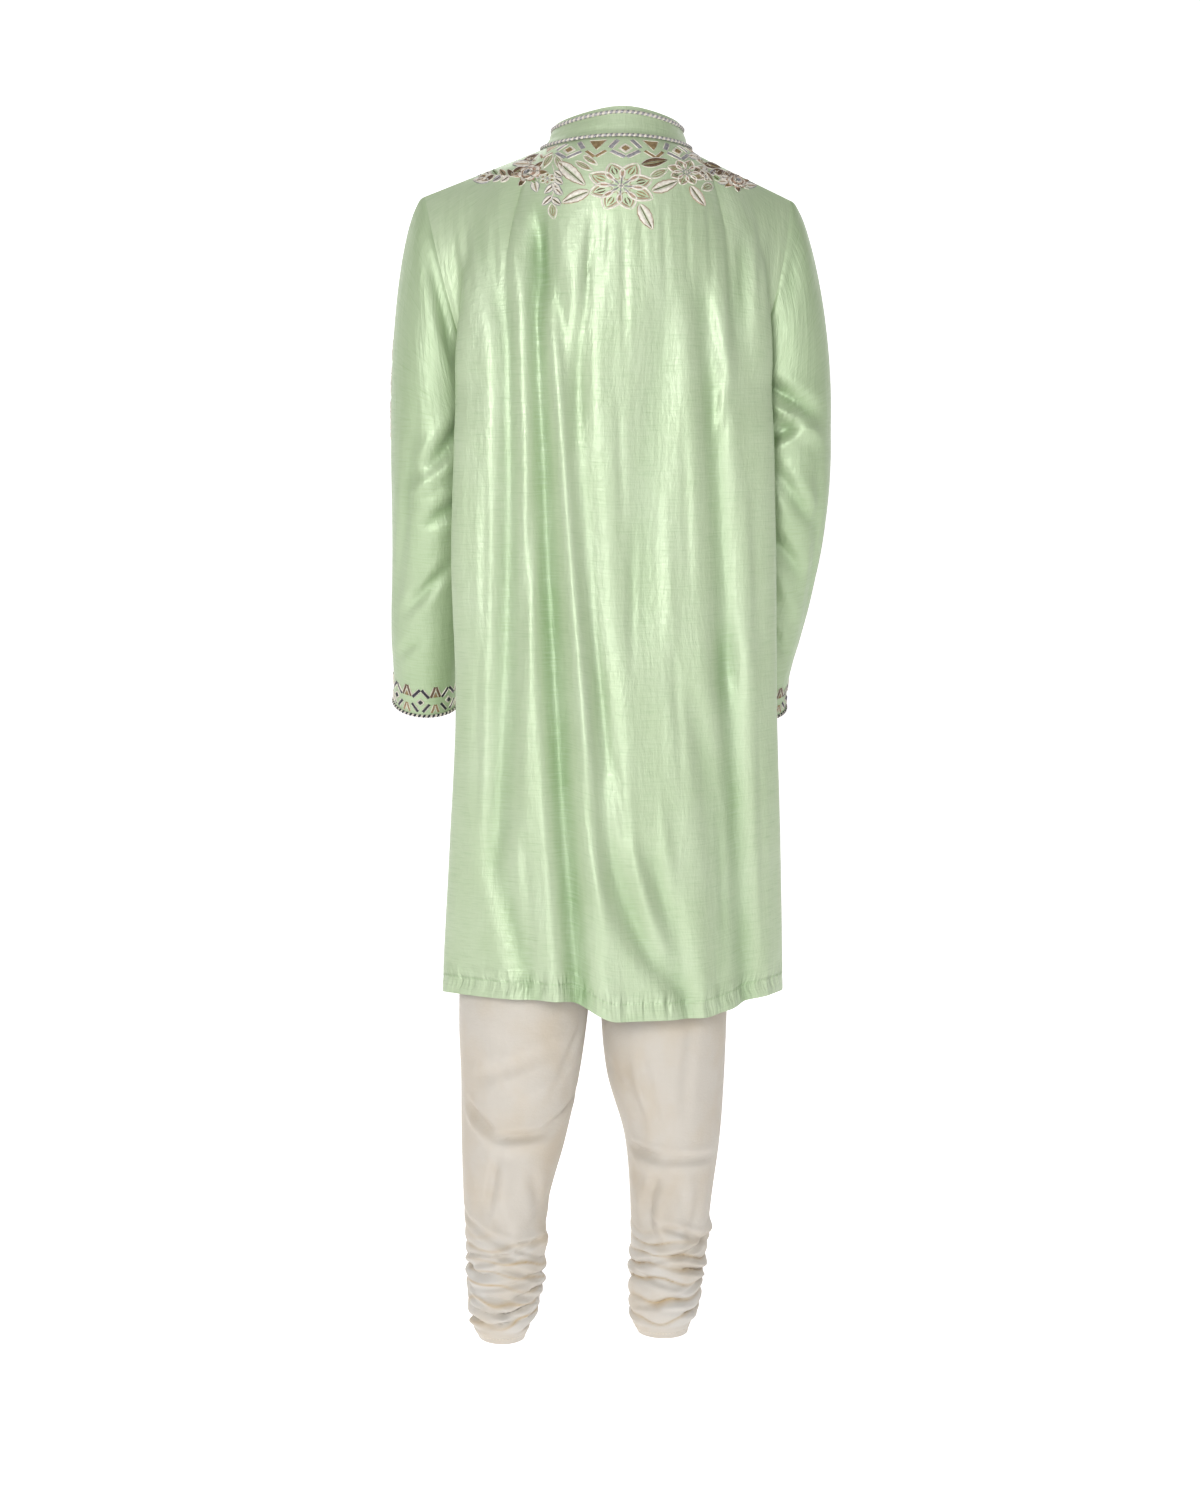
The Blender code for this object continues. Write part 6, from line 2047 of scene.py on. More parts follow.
@dataclass
class YokeEmbroidery:
    """The flowers, leaves, sprig and roses across the back of the yoke."""

    finishes: Finishes
    tree: BVHTree
    petals: int = 8
    flat: float = 0.74
    motifs: list[Motif] = field(default_factory=lambda: rows_of(
        Motif,
        (Growth.FLOWER, -0.0019, 0.0535, 0.088, 0.088, 18, "yoke_flower_large"),
        (Growth.FLOWER, -0.0860, 0.0339, 0.048, 0.048, 30, "yoke_flower_small"),
        (Growth.SCALLOPED, 0.0578, 0.0380, 0.047, 0.017, 44, "yoke_leaf_upper_left"),
        (Growth.SCALLOPED, 0.0534, 0.0660, 0.037, 0.014, -72, "yoke_leaf_lower_left"),
        (Growth.SCALLOPED, -0.0316, 0.0910, 0.035, 0.016, 25, "yoke_leaf_lower_right"),
        (Growth.SCALLOPED, -0.0576, 0.0530, 0.037, 0.014, 112, "yoke_leaf_right"),
        (Growth.SCALLOPED, -0.0996, 0.0630, 0.030, 0.013, 35, "yoke_leaf_under_flower"),
        (Growth.DARK_LEAF, -0.0446, 0.0238, 0.034, 0.011, 103, "yoke_leaf_over_flower"),
        (Growth.SPRIG, 0.0814, 0.0480, 0.050, 0.026, 0, "yoke_sprig_left"),
        (Growth.OUTLINED, 0.0810, 0.0840, 0.020, 0.010, 5, "yoke_bud_left"),
        (Growth.ROSE, 0.1050, 0.0342, 0.034, 0.034, 20, "shoulder_rose_left"),
        (Growth.SPRAY, 0.1420, 0.0350, 0.044, 0.022, -100, "shoulder_spray_left"),
        (Growth.SPRAY, -0.1276, 0.0330, 0.042, 0.020, 95, "shoulder_spray_right"),
        (Growth.ROSE, -0.1586, 0.0400, 0.028, 0.028, 60, "shoulder_rose_right"),
        (Growth.ROSETTE, 0.0854, 0.0430, 0.022, 0.022, 0),
        (Growth.ROSETTE, 0.1004, 0.0170, 0.016, 0.016, 0),
        (Growth.ROSETTE, -0.1136, 0.0380, 0.014, 0.014, 0),
        (Growth.OUTLINED, 0.0424, 0.0290, 0.026, 0.007, 58),
        (Growth.OUTLINED, 0.0344, 0.0220, 0.022, 0.006, 52),
        (Growth.OUTLINED, -0.0506, 0.0370, 0.026, 0.009, 116),
        (Growth.OUTLINED, 0.0714, 0.0240, 0.022, 0.008, 20),
        (Growth.OUTLINED, 0.0844, 0.0200, 0.024, 0.009, -35),
        (Growth.SATIN, 0.0754, 0.0560, 0.020, 0.008, 30),
        (Growth.DARK_LEAF, 0.1000, 0.0130, 0.022, 0.010, -70),
        (Growth.SATIN, 0.1120, 0.0200, 0.024, 0.010, -95),
        (Growth.DARK_LEAF, 0.1180, 0.0300, 0.020, 0.010, -60),
        (Growth.SATIN, 0.1000, 0.0520, 0.016, 0.010, 10),
        (Growth.SATIN, 0.0994, 0.0350, 0.020, 0.009, -140),
        (Growth.OUTLINED, -0.1126, 0.0170, 0.026, 0.010, 70),
        (Growth.OUTLINED, -0.1066, 0.0280, 0.020, 0.008, 120),
        (Growth.SATIN, -0.1016, 0.0120, 0.020, 0.009, 100),
        (Growth.OUTLINED, -0.1146, 0.0500, 0.018, 0.010, -60),
        (Growth.DARK_LEAF, -0.1286, 0.0200, 0.022, 0.010, 80),
        (Growth.DARK_LEAF, -0.1386, 0.0290, 0.024, 0.010, 75),
        (Growth.SATIN, -0.1426, 0.0400, 0.020, 0.009, 100),
        (Growth.DARK_LEAF, -0.1526, 0.0310, 0.020, 0.009, 85),
        (Growth.SATIN, -0.1766, 0.0430, 0.022, 0.009, 95),
        (Growth.SATIN, 0.1620, 0.0400, 0.022, 0.009, -100),
    ))

    def flower(self, piece: Embroidery, place: Place, radius: float, turn: float) -> None:
        """Pointed petals round a pale heart, with fine stamens over them."""
        root = radius * 0.20
        for k in range(self.petals):
            angle = turn + 360.0 * k / self.petals
            reach = radius * (1.0 if k % 2 else 0.92)
            axes = turned(turned(place, 0.0, 0.0, angle), 0.0, root, 0.0)
            strokes = Thread.GOLD if k % 2 else Thread.BROWN
            piece.petal(axes, reach - root, radius * 0.54, Thread.ROSE, strokes)
            between_petals = turned(place, 0.0, 0.0, angle + 180.0 / self.petals)
            line = [between_petals(0.0, radius * (0.06 + 0.12 * step)) for step in range(4)]
            piece.cord(line, Thread.SILVER, radius * 0.024, 0.0016)
        for ring, count, thread in ((0.0, 1, Thread.SILVER), (radius * 0.07, 6, Thread.WHITE)):
            for k in range(count):
                angle = 2 * math.pi * k / count
                spot = place(ring * math.cos(angle), ring * math.sin(angle))
                piece.seed(spot, thread, radius * 0.034, 0.0018)

    def rose(self, piece: Embroidery, place: Place, radius: float, turn: float) -> None:
        """Curled petals in four rounds, raised towards a silver heart, with leaves under it."""
        for k, thread in enumerate((Thread.GOLD, Thread.BROWN, Thread.LEAF, Thread.GOLD, Thread.BROWN)):
            axes = turned(turned(place, 0.0, 0.0, turn - 110.0 + 56.0 * k), 0.0, radius * 0.55, 0.0)
            piece.leaf(axes, radius * 0.85, radius * 0.46, thread, Thread.GOLD, Thread.WHITE)
        rounds = ((0.86, 7, 0.0008, Thread.WHITE, Thread.ROSE),
                  (0.64, 6, 0.0018, Thread.ROSE, Thread.WHITE),
                  (0.44, 5, 0.0028, Thread.WHITE, Thread.ROSE),
                  (0.26, 4, 0.0036, Thread.SILVER, Thread.WHITE))
        for round_share, count, height, fill, rim in rounds:
            for k in range(count):
                middle = turn + 360.0 * (k + round_share) / count
                outer, inner = [], []
                for step in range(6):
                    share = step / 5
                    angle = math.radians(middle + 320.0 / count * (share - 0.5))
                    swell = math.sin(math.pi * share)
                    for line, share_out in ((outer, 0.90 + 0.16 * swell), (inner, 0.88 - 0.28 * swell)):
                        reach = radius * round_share * share_out
                        line.append(place(reach * math.sin(angle), reach * math.cos(angle)))
                piece.pad(outer, inner, fill, 0.0013, height)
                piece.cord(outer, rim, 0.0006, 0.0015, lift=height)
        piece.seed(place(0.0, 0.0), Thread.SILVER, radius * 0.14, 0.0018, 0.0038)

    def rosette(self, piece: Embroidery, place: Place, radius: float) -> None:
        """Small loops in a ring round a knot."""
        for k in range(6):
            loop = turned(place, 0.0, 0.0, 60.0 * k)
            left, right, _vein = piece.blade(loop, radius, radius * 0.62, steps=6)
            piece.edges(left, right, Thread.WHITE, 0.00055, 0.0011)
            knot = Thread.GOLD if k % 2 else Thread.ROSE
            piece.seed(loop(0.0, radius * 0.58), knot, radius * 0.14, 0.0012)
        piece.seed(place(0.0, 0.0), Thread.SILVER, radius * 0.16, 0.0016)

    def spray(self, piece: Embroidery, place: Place, length: float, width: float) -> None:
        """A stem with leaves on both sides and beads beyond it."""
        stem = [place(0.0015 * math.sin(6.0 * s), length * (s - 0.5)) for s in (0.0, 0.25, 0.5, 0.75, 1.0)]
        piece.cord(stem, Thread.WHITE, 0.0007, 0.0012)
        threads = (Thread.BROWN, Thread.WHITE, Thread.GOLD, Thread.SILVER, Thread.LEAF)
        for k in range(8):
            side = 1.0 if k % 2 else -1.0
            root = turned(place, 0.0, length * (-0.45 + 0.115 * k), 46.0 * side)
            thread = threads[k % len(threads)]
            piece.leaf(root, width * 0.60, width * 0.30, thread, Thread.BROWN, Thread.WHITE)
        for k in range(5):
            spot = place(0.002 * math.sin(2.0 * k), length * (0.52 + 0.05 * k))
            piece.seed(spot, Thread.SILVER, 0.0010, 0.0015)

    def sprig(self, piece: Embroidery, place: Place, length: float, width: float) -> None:
        """A curved white stem with small leaves on both sides."""

        def on_stem(share: float) -> Pair:
            return width * (0.18 - 0.75 * (share - 0.45) ** 2), length * (share - 0.5)

        steps = 12
        piece.cord([place(*on_stem(k / steps)) for k in range(steps + 1)], Thread.WHITE, 0.0009, 0.0013)
        for share, side, size in ((0.22, 1, 0.26), (0.40, 1, 0.26), (0.55, -1, 0.34), (0.66, 1, 0.28),
                                  (0.84, -1, 0.34), (0.90, 1, 0.30)):
            root = turned(place, *on_stem(share), 50.0 * side)
            piece.leaf(root, length * size, width * 0.30, Thread.WHITE, Thread.BROWN, Thread.SILVER)

    def add(self, piece: Embroidery, motif: Motif) -> None:
        """Add one motif to a piece."""
        behind = Vector((motif.x, CAST_FROM, -motif.drop))
        hit, _out, _face, _distance = self.tree.ray_cast(behind, Vector((0, -1, 0)))
        place = seen_on(self.tree, hit)
        axes = turned(place, 0.0, 0.0, motif.turn)
        root = turned(axes, 0.0, -motif.length / 2, 0.0)
        pressed = flattened(place, self.flat)
        if motif.kind is Growth.FLOWER:
            self.flower(piece, pressed, motif.length / 2, motif.turn)
        elif motif.kind is Growth.ROSE:
            self.rose(piece, pressed, motif.length / 2, motif.turn)
        elif motif.kind is Growth.ROSETTE:
            self.rosette(piece, pressed, motif.length / 2)
        elif motif.kind is Growth.SPRAY:
            self.spray(piece, axes, motif.length, motif.width)
        elif motif.kind is Growth.SPRIG:
            self.sprig(piece, axes, motif.length, motif.width)
        elif motif.kind is Growth.OUTLINED:
            piece.outlined_leaf(root, motif.length, motif.width, Thread.ROSE, 0.001)
        else:
            piece.leaf(root, motif.length, motif.width, *LEAF_STYLES[motif.kind])

    def make(self) -> None:
        """Build every motif over its solid, and the small leaves between them as one piece."""
        small = Embroidery("embroidered_small_leaves", self.finishes)
        for motif in self.motifs:
            if motif.node is None:
                self.add(small, motif)
                continue
            piece = Embroidery("embroidered_" + motif.node, self.finishes)
            self.add(piece, motif)
            hand_over(piece.build(), [motif.node])
        hand_over(small.build(), [])


@dataclass
class NeckBand:
    """The geometric band under the neck seam: diamonds, with triangles between them."""

    finishes: Finishes
    body: KurtaBody
    back: BVHTree
    front: BVHTree
    start: float = 0.0062
    width: float = 0.032
    repeat: float = 0.0620
    end_share: float = 0.50

    def table(self, back: bool) -> tuple[list[float], list[float]]:
        """Lengths along half a neckline from its middle, with the share at each."""
        shares = [k / 60 for k in range(61)]
        lengths = [0.0]
        for a, b in zip(shares, shares[1:]):
            lengths.append(lengths[-1] + (self.body.neckline(b, back) - self.body.neckline(a, back)).length)
        return lengths, shares

    def place(self, back: bool) -> Place:
        """The band's own axes: along the neckline from its middle, towards image right behind, and down."""
        lengths, shares = self.table(back)
        tree = self.back if back else self.front

        def inner(a: float, b: float) -> OnCloth:
            share = float(np.interp(abs(a), lengths, shares)) * (-1.0 if a > 0 else 1.0)
            point = self.body.neckline(share, back)
            out = (point - Vector((self.body.neck_x, 0, point.z))).normalized()
            narrow = self.end_share + (1.0 - self.end_share) * abs(out.y)
            reach = self.start + b * narrow
            guess = point + out * reach * 0.78 + Vector((0, 0, -reach * 0.62))
            near, normal, _face, _distance = tree.find_nearest(guess)
            return near, normal

        return inner

    def diamond(self, piece: Embroidery, place: Place, a: float) -> None:
        """One diamond of silver bars round a small gold square."""
        middle, low = self.width * 0.48, self.width * 0.94
        for side in (-1.0, 1.0):
            piece.bar(place, (a + side * 0.0165, middle - 0.001), (a + side * 0.0080, 0.0010), 0.0056,
                      Thread.SILVER)
            piece.bar(place, (a + side * 0.0150, middle + 0.004), (a + side * 0.0008, low), 0.0054,
                      Thread.SILVER)
        piece.wedge(place, square_on_tip(a, middle, 0.0078), Thread.WHITE, Thread.WHITE)
        piece.wedge(lifted(place, SQUARE_LIFT), square_on_tip(a, middle, 0.0042), Thread.GOLD, Thread.GOLD)

    def triangle(self, piece: Embroidery, place: Place, a: float) -> None:
        """One gold triangle pointing down, over an open chevron."""
        top, arm, tip = 0.0008, self.width * 0.56, self.width * 0.95
        half = 0.0105
        piece.wedge(place, [(a, arm), (a - half, top), (a + half, top)], Thread.GOLD, Thread.WHITE)
        for side in (-1.0, 1.0):
            piece.bar(place, (a + side * half, arm + 0.001), (a + side * 0.0008, tip - 0.001), 0.0044,
                      Thread.GOLD)

    def make(self) -> None:
        """Build the band behind and on both front sides."""
        behind = Embroidery("embroidered_neck_band_back", self.finishes)
        place = self.place(True)
        for k in (-1, 0, 1):
            self.diamond(behind, place, k * self.repeat)
        for k in (-1.5, -0.5, 0.5, 1.5):
            self.triangle(behind, place, k * self.repeat)
        hand_over(behind.build(), ["neck_band_back"])
        place = self.place(False)
        for side, name in ((-1.0, "left"), (1.0, "right")):
            piece = Embroidery("embroidered_neck_band_front_" + name, self.finishes)
            self.triangle(piece, place, side * 0.0400)
            self.diamond(piece, place, side * 0.0690)
            self.triangle(piece, place, side * 0.0990)
            self.diamond(piece, place, side * 0.1260)
            hand_over(piece.build(), ["neck_band_front_" + name])


@dataclass
class CuffBand:
    """A cuff's embroidered band of bars, small squares and chevrons, with the rope on its edge."""

    finishes: Finishes
    side: Side
    sleeve: ClothGrid
    repeats: int = 7
    rope_steps: int = 90

    def place(self) -> tuple[Place, float]:
        """The band's axes, round the cuff and up from its edge, and the cuff's girth."""
        edge = self.sleeve.vectors(-1)[:-1]
        above = self.sleeve.vectors(-8)[:-1]
        middle = sum(edge, Vector()) / len(edge)
        up = (sum(above, Vector()) / len(above) - middle).normalized()
        lengths = [0.0]
        for a, b in zip(edge, edge[1:] + edge[:1]):
            lengths.append(lengths[-1] + (b - a).length)
        girth = lengths[-1]
        tree = self.sleeve.tree()
        count = len(edge)

        def inner(a: float, b: float) -> OnCloth:
            target = a % girth
            spot = float(np.interp(target, lengths, range(count + 1)))
            k = int(spot) % count
            base = edge[k].lerp(edge[(k + 1) % count], spot - int(spot))
            near, normal, _face, _distance = tree.find_nearest(base + up * b)
            return near, normal

        return inner, girth

    def unit(self, piece: Embroidery, place: Place, a: float, reach: float) -> None:
        """One repeat of the band, centred at a.

        Args:
            piece: The embroidery.
            place: The band's axes.
            a: Where its middle lies round the cuff.
            reach: Half of the repeat's length.
        """
        apart = a + reach
        for side in (-1.0, 1.0):
            for middle, start, end, width, thread in (
                    (a, (0.56 * reach, 0.0275), (0.0012, 0.0385), 0.0044, Thread.DARK),
                    (a, (0.60 * reach, 0.0185), (0.16 * reach, 0.0075), 0.0042, Thread.DARK),
                    (apart, (0.32 * reach, 0.0280), (0.0008, 0.0425), 0.0040, Thread.BROWN),
                    (apart, (0.24 * reach, 0.0062), (0.0006, 0.0175), 0.0036, Thread.GOLD)):
                piece.bar(place, (middle + side * start[0], start[1]), (middle + side * end[0], end[1]),
                          width, thread)
        level = 0.0212
        piece.wedge(place, square_on_tip(a, level, 0.0052), Thread.WHITE, Thread.WHITE)
        piece.wedge(lifted(place, SQUARE_LIFT), square_on_tip(a, level, 0.0028), Thread.DARK, Thread.DARK)
        low, half = 0.0285, 0.0026
        point_up = [(apart, 0.0345), (apart - half, low), (apart + half, low)]
        piece.wedge(place, point_up, Thread.GOLD, Thread.GOLD)

    def make(self) -> None:
        """Build the band and its rope."""
        place, girth = self.place()
        piece = Embroidery("embroidered_cuff_" + self.side.word, self.finishes)
        reach = girth / self.repeats / 2
        for k in range(self.repeats):
            self.unit(piece, place, 2 * reach * k, reach)
        hand_over(piece.build(), ["cuff_band_" + self.side.word])
        line, outs = [], []
        for k in range(self.rope_steps):
            near, out = place(girth * k / self.rope_steps, 0.0)
            high, _out = place(girth * k / self.rope_steps, 0.004)
            down = (near - high).normalized()
            line.append(near - down * 0.0018 + out * 0.0006)
            outs.append((out + down * 0.2).normalized())
        threads = self.finishes.threads
        rope = PathThread("rope_cuff_" + self.side.word, threads[Thread.WHITE], threads[Thread.DARK],
                          pitch=0.0031, length=0.0058, half_width=0.0016, half_height=0.0017, slant=52.0)
        hand_over(rope.make([(line, outs, True)]), ["cuff_cord_" + self.side.word])


@dataclass
class CollarRopes:
    """The twisted ropes on the neck seam and under the collar's top edge."""

    finishes: Finishes
    collar: StandCollar
    seam_stand: float = 0.0026
    top_level: float = 0.80
    top_stand: float = 0.0015

    def make(self) -> None:
        """Build both ropes."""
        seam, seam_out, upper, upper_out = [], [], [], []
        neck_x = self.collar.body.neck_x
        for point in self.collar.base():
            out = (point - Vector((neck_x, 0, point.z))).normalized()
            corner = (out + Vector((0, 0, 0.75))).normalized()
            seam.append(point + corner * self.seam_stand)
            seam_out.append(corner)
            low = self.collar.point(point, self.top_level - 0.05)
            high = self.collar.point(point, self.top_level + 0.05)
            along = (high - low).normalized()
            wall_out = (out - along * out.dot(along)).normalized()
            upper.append(self.collar.point(point, self.top_level) + wall_out * self.top_stand)
            upper_out.append(wall_out)
        threads = self.finishes.threads
        for name, node, line, outs in (("rope_neck_seam", "neck_seam_cord", seam, seam_out),
                                       ("rope_collar_top", "collar_top_cord", upper, upper_out)):
            rope = PathThread(name, threads[Thread.SILVER], threads[Thread.WHITE], pitch=0.0033,
                              length=0.0066, half_width=0.0019, half_height=0.0021, slant=42.0)
            hand_over(rope.make([(line, outs, False)]), [node])


@dataclass
class SleevePatch:
    """The applique on the left sleeve's outer side: leaves up and down from a rosette."""

    finishes: Finishes
    tree: BVHTree
    x: float = 0.500
    y: float = -0.040
    drop: float = 0.288
    length: float = 0.168
    width: float = 0.066

    def make(self) -> None:
        """Build the patch."""

        def place(a: float, b: float) -> OnCloth:
            start = Vector((self.x, self.y - a, -self.drop - b))
            point, normal, _face, _distance = self.tree.ray_cast(start, Vector((-1, 0, 0)))
            if point is None:
                point, normal, _face, _distance = self.tree.find_nearest(start - Vector((0.25, 0, 0)))
            return point, normal

        piece = Embroidery("embroidered_sleeve_patch", self.finishes)
        radius = self.width * 0.36
        for k in range(10):
            axes = turned(turned(place, 0.0, 0.0, 36.0 * k), 0.0, radius * 0.16, 0.0)
            outline = Thread.BROWN if k % 2 else Thread.ROSE
            piece.petal(axes, radius * 0.84, radius * 0.46, outline, Thread.GOLD)
        for k in range(8):
            angle = math.pi * k / 4
            spot = place(radius * 0.12 * math.cos(angle), radius * 0.12 * math.sin(angle))
            piece.seed(spot, Thread.SILVER, 0.0012, 0.0030)
        threads = (Thread.GOLD, Thread.WHITE, Thread.BROWN, Thread.LEAF)
        for end, base_turn in ((-1.0, 180.0), (1.0, 0.0)):
            stem = [place(0.004 * math.sin(6.0 * s), end * (radius + (self.length / 2 - radius) * s))
                    for s in (0.0, 0.25, 0.5, 0.75, 1.0)]
            piece.cord(stem, Thread.WHITE, 0.0009, 0.0028)
            for k in range(4):
                for side in (-1.0, 1.0):
                    along = end * (radius * 0.95 + 0.0135 * k)
                    root = turned(place, 0.0, along, base_turn + side * 54.0)
                    thread = threads[(k + (side > 0)) % len(threads)]
                    piece.leaf(root, self.width * (0.44 - 0.06 * k), self.width * 0.18, thread, Thread.GOLD,
                               Thread.WHITE)
            tip = turned(place, 0.0, end * (self.length / 2 - 0.016), base_turn)
            piece.leaf(tip, 0.016, 0.010, Thread.ROSE, Thread.BROWN, Thread.WHITE)
        hand_over(piece.build(), ["sleeve_applique_left"])


@dataclass
class Placket:
    """The placket strip down the front and its domed buttons."""

    finishes: Finishes
    body: KurtaBody
    tree: BVHTree
    width: float = 0.034
    length: float = 0.300
    top_gap: float = 0.010
    strip_stand: float = 0.0018
    stitch_inset: float = 0.003
    stitch_stand: float = 0.0020
    stitch_steps: int = 40
    wall: float = 0.0012
    columns: int = 14
    rows: int = 110
    buttons: int = 4
    button_radius: float = 0.0065
    button_height: float = 0.0045
    button_stand: float = 0.0016
    button_sides: int = 40
    button_levels: tuple[Pair, ...] = (
        (0.0, 0.30), (0.34, 0.34), (0.40, 0.90), (0.50, 0.985), (0.60, 1.0), (0.70, 0.985), (0.76, 0.93),
        (0.75, 0.86), (0.78, 0.78), (0.88, 0.58), (0.96, 0.32))

    def point(self, across: float, share: float) -> OnCloth:
        """The front panel's point under a place of the strip, and its way out."""
        top = self.body.neck_front_drop + self.top_gap
        x = self.body.neck_x * (1.0 - share) + across
        start = Vector((x, -CAST_FROM, -top - self.length * share))
        near, normal, _face, _distance = self.tree.ray_cast(start, Vector((0, 1, 0)))
        return near, normal

    def make(self) -> None:
        """Build the strip, its edge stitches and the buttons."""
        rows = []
        for r in range(self.rows + 1):
            line = []
            for k in range(self.columns + 1):
                near, normal = self.point(self.width * (k / self.columns - 0.5), 1.0 - r / self.rows)
                line.append(near + normal * self.strip_stand)
            rows.append(line)
        piece = ClothGrid(rows).build("silk_placket", self.finishes.silk, self.wall)
        hand_over(piece, ["front_placket"])
        paths = []
        for side in (-1.0, 1.0):
            across = side * (self.width / 2 - self.stitch_inset)
            spots = [self.point(across, step / self.stitch_steps) for step in range(self.stitch_steps + 1)]
            line = [near + out * self.stitch_stand for near, out in spots]
            paths.append((line, [out for _near, out in spots], False))
        stitches = PathThread("stitches_placket", self.finishes.mint, self.finishes.mint, pitch=0.0034,
                              length=0.0024, half_width=0.00030, half_height=0.00035, slant=0.0)
        hand_over(stitches.make(paths), [])
        for k in range(self.buttons):
            self.button(k)

    def button(self, index: int) -> None:
        """Build one domed button with a turned rim, on a short shank."""
        near, normal = self.point(0.0, (index + 0.5) / self.buttons)
        side = normal.cross(Vector((0, 0, 1))).normalized()
        up = side.cross(normal)
        base = near + normal * self.button_stand
        sides = self.button_sides
        points = []
        for height, reach in self.button_levels:
            for k in range(sides):
                angle = 2 * math.pi * k / sides
                sideways = side * math.cos(angle) + up * math.sin(angle)
                points.append(base + normal * (self.button_height * height)
                              + sideways * (self.button_radius * reach))
        points.append(base + normal * (self.button_height * 0.99))
        faces = [tuple(range(sides))]
        last = (len(self.button_levels) - 1) * sides
        for level in range(0, last, sides):
            for k in range(sides):
                a, b = level + k, level + (k + 1) % sides
                faces.append((a, a + sides, b + sides, b))
        faces += [(last + k, len(points) - 1, last + (k + 1) % sides) for k in range(sides)]
        name = "domed_button_%d" % (index + 1)
        mesh = bpy.data.meshes.new(name)
        mesh.from_pydata([tuple(p) for p in points], [], faces)
        face_out(mesh)
        mesh.materials.append(self.finishes.shell)
        mesh.shade_smooth()
        hand_over(link_object(name, mesh), ["button_%d" % (index + 1)])


@dataclass
class Sewing:
    """The rows of stitches along the kurta's hem and round the ankles."""

    finishes: Finishes
    body: KurtaBody
    ankle_height: float = 0.010
    stand: float = 0.0002

    def row_above(self, grid: ClothGrid, height: float, low_first: bool) -> Path:
        """A path on a grid at a height above its lower edge.

        Args:
            grid: The cloth.
            height: How far above the edge.
            low_first: Whether the grid's first row is the lower edge.

        Returns:
            The path's points, the ways out and whether it is closed.
        """
        points = grid.points if low_first else grid.points[::-1]
        normals = grid.normals() if low_first else grid.normals()[::-1]
        line, outs = [], []
        for k in range(2, points.shape[1] - 2):
            gone = 0.0
            r = 0
            step = float(np.linalg.norm(points[1, k] - points[0, k]))
            while gone + step < height:
                gone += step
                r += 1
                step = float(np.linalg.norm(points[r + 1, k] - points[r, k]))
            share = (height - gone) / step
            spot = Vector(points[r, k]).lerp(Vector(points[r + 1, k]), share)
            out = Vector(normals[r, k])
            line.append(spot + out * self.stand)
            outs.append(out)
        return line, outs, False

    def stitches(self, name: str, thread: Material) -> PathThread:
        """A row of straight stitches in one thread."""
        return PathThread(name, thread, thread, pitch=0.0042, length=0.0028, half_width=0.00032,
                          half_height=0.00035, slant=0.0)

    def make(self, back: ClothGrid, front: ClothGrid, left: ClothGrid, right: ClothGrid) -> None:
        """Build the kurta's hem stitches and the ankles' stitches.

        Args:
            back: The kurta's back.
            front: The kurta's front.
            left: The churidar's left leg.
            right: The churidar's right leg.
        """
        hem = [self.row_above(panel, self.body.hem_depth, True) for panel in (back, front)]
        made = self.stitches("stitches_kurta_hem", self.finishes.mint).make(hem)
        hand_over(made, [])
        ankles = [self.row_above(leg, self.ankle_height, False) for leg in (left, right)]
        made = self.stitches("stitches_ankles", self.finishes.cream).make(ankles)
        hand_over(made, [])


# Studio


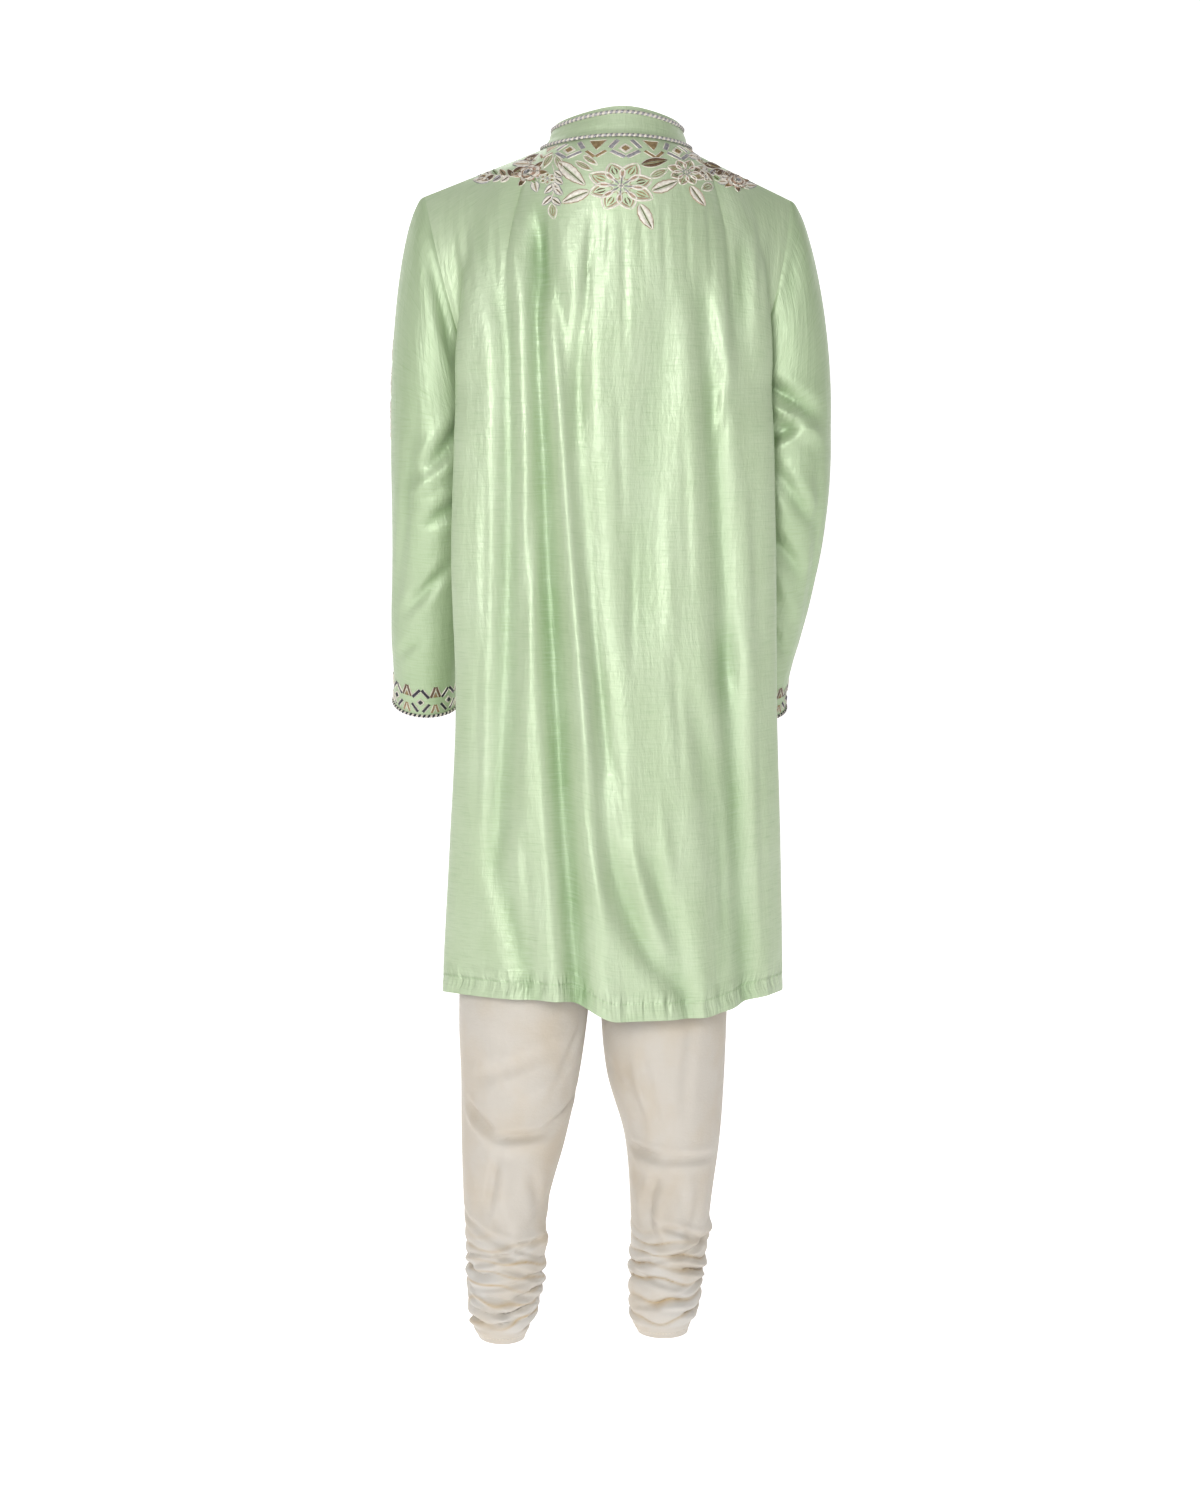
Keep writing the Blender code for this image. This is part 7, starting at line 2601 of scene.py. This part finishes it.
@dataclass
class Studio:
    """The pale floor, the soft lights and the camera at the photograph's angle."""

    floor_level: float = -1.566
    floor_size: float = 24.0
    sweep_start: float = 2.2
    sweep_radius: float = 2.6
    sweep_height: float = 9.0
    sweep_steps: int = 24
    camera_place: Colour = (0.4509, 3.6724, -0.370)
    pitch: float = 6.0
    focal_pixels: float = 2895.0
    image_height: float = 1500.0
    sensor: float = 36.0
    heading: float = 173.18

    def make(self) -> None:
        """Build the floor, the lights and the camera."""
        self.make_floor()
        self.make_lights()
        self.make_camera()

    def make_floor(self) -> None:
        """Lay the floor, which rises in a wide curve far behind the garment."""
        half = self.floor_size / 2
        profile = [(half, 0.0)]
        for k in range(self.sweep_steps + 1):
            angle = math.pi / 2 * k / self.sweep_steps
            profile.append((-self.sweep_start - self.sweep_radius * math.sin(angle),
                            self.sweep_radius * (1.0 - math.cos(angle))))
        profile.append((profile[-1][0], self.sweep_height))
        points = [(x, y, self.floor_level + z) for y, z in profile for x in (-half, half)]
        faces = [(2 * k, 2 * k + 2, 2 * k + 3, 2 * k + 1) for k in range(len(profile) - 1)]
        mesh = bpy.data.meshes.new("studio_floor")
        mesh.from_pydata(points, [], faces)
        mesh.materials.append(StudioFloor().make())
        mesh.shade_smooth()
        floor = link_object("studio_floor", mesh)
        floor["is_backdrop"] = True

    def area_light(self, name: str, place: tuple, target: tuple, size: float, power: float) -> None:
        """Add a square soft light.

        Args:
            name: The light's name.
            place: Where it stands.
            target: What it faces.
            size: Its side's length.
            power: Its power in watts.
        """
        data = bpy.data.lights.new(name, "AREA")
        data.shape = "SQUARE"
        data.size = size
        data.energy = power
        light = bpy.data.objects.new(name, data)
        aim = (Vector(target) - Vector(place)).to_track_quat("-Z", "Y")
        light.matrix_world = Matrix.Translation(place) @ aim.to_matrix().to_4x4()
        bpy.context.scene.collection.objects.link(light)

    def make_lights(self) -> None:
        """Hang a large soft light on each side behind the camera, one in front and a pale surround."""
        middle = (0.0, 0.0, -0.6)
        self.area_light("left_softbox", (1.25, 3.7, 0.25), middle, 1.0, 88.0)
        self.area_light("right_softbox", (-0.9, 4.0, 0.8), middle, 1.4, 22.0)
        self.area_light("front_softbox", (0.5, -1.9, 1.6), middle, 1.6, 14.0)
        self.area_light("top_softbox", (0.0, 0.4, 2.6), middle, 2.2, 8.0)
        world = bpy.data.worlds.new("studio_surround")
        world.use_nodes = True
        world.node_tree.nodes["Background"].inputs["Color"].default_value = (1.0, 1.0, 1.0, 1.0)
        world.node_tree.nodes["Background"].inputs["Strength"].default_value = 0.24
        bpy.context.scene.world = world
        bpy.context.scene.view_settings.view_transform = "Standard"

    def make_camera(self) -> None:
        """Stand the camera where the photograph was taken from."""
        data = bpy.data.cameras.new("photo_camera")
        data.sensor_fit = "VERTICAL"
        data.sensor_height = self.sensor
        data.lens = self.focal_pixels * self.sensor / self.image_height
        data.clip_end = 100.0
        camera = bpy.data.objects.new("photo_camera", data)
        pitch = math.radians(self.pitch)
        heading = math.radians(self.heading)
        camera.rotation_euler = (math.pi / 2 - pitch, 0.0, heading)
        camera.location = self.camera_place
        bpy.context.scene.collection.objects.link(camera)
        bpy.context.scene.camera = camera


def write_sizes() -> None:
    """Turn the solids' box and the dressed garment's box into plain numbers, and keep neither."""
    for name, corners in (("cad", CAD_BOX), ("visual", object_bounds())):
        [[float(c) for c in corner] for corner in corners]


def main() -> None:
    """Build the kurta set piece by piece."""
    logging.basicConfig(level=logging.INFO, format="%(name)s: %(message)s")
    finishes = Finishes()
    body = KurtaBody(finishes.silk)
    back, front = body.make()
    # The sleeves take the darker copy of the silk, which paints shade on them.
    left = left_sleeve(finishes.sleeve_silk).make(body.armhole(back, front, Side.LEFT))
    right = right_sleeve(finishes.sleeve_silk).make(body.armhole(back, front, Side.RIGHT))
    collar = StandCollar(body, finishes.silk)
    collar.make()
    left_rows, left_grid = left_leg(finishes.cotton).make()
    right_rows, right_grid = right_leg(finishes.cotton).make()
    WaistCasing(finishes.cotton).make(left_rows, right_rows)
    CollarRopes(finishes, collar).make()
    CuffBand(finishes, Side.LEFT, left).make()
    CuffBand(finishes, Side.RIGHT, right).make()
    back_tree, front_tree = back.tree(), front.tree()
    NeckBand(finishes, body, back_tree, front_tree).make()
    YokeEmbroidery(finishes, back_tree).make()
    SleevePatch(finishes, left.tree()).make()
    Placket(finishes, body, front_tree).make()
    Sewing(finishes, body).make(back, front, left_grid, right_grid)
    Studio().make()
    write_sizes()


if __name__ == "__main__":
    main()
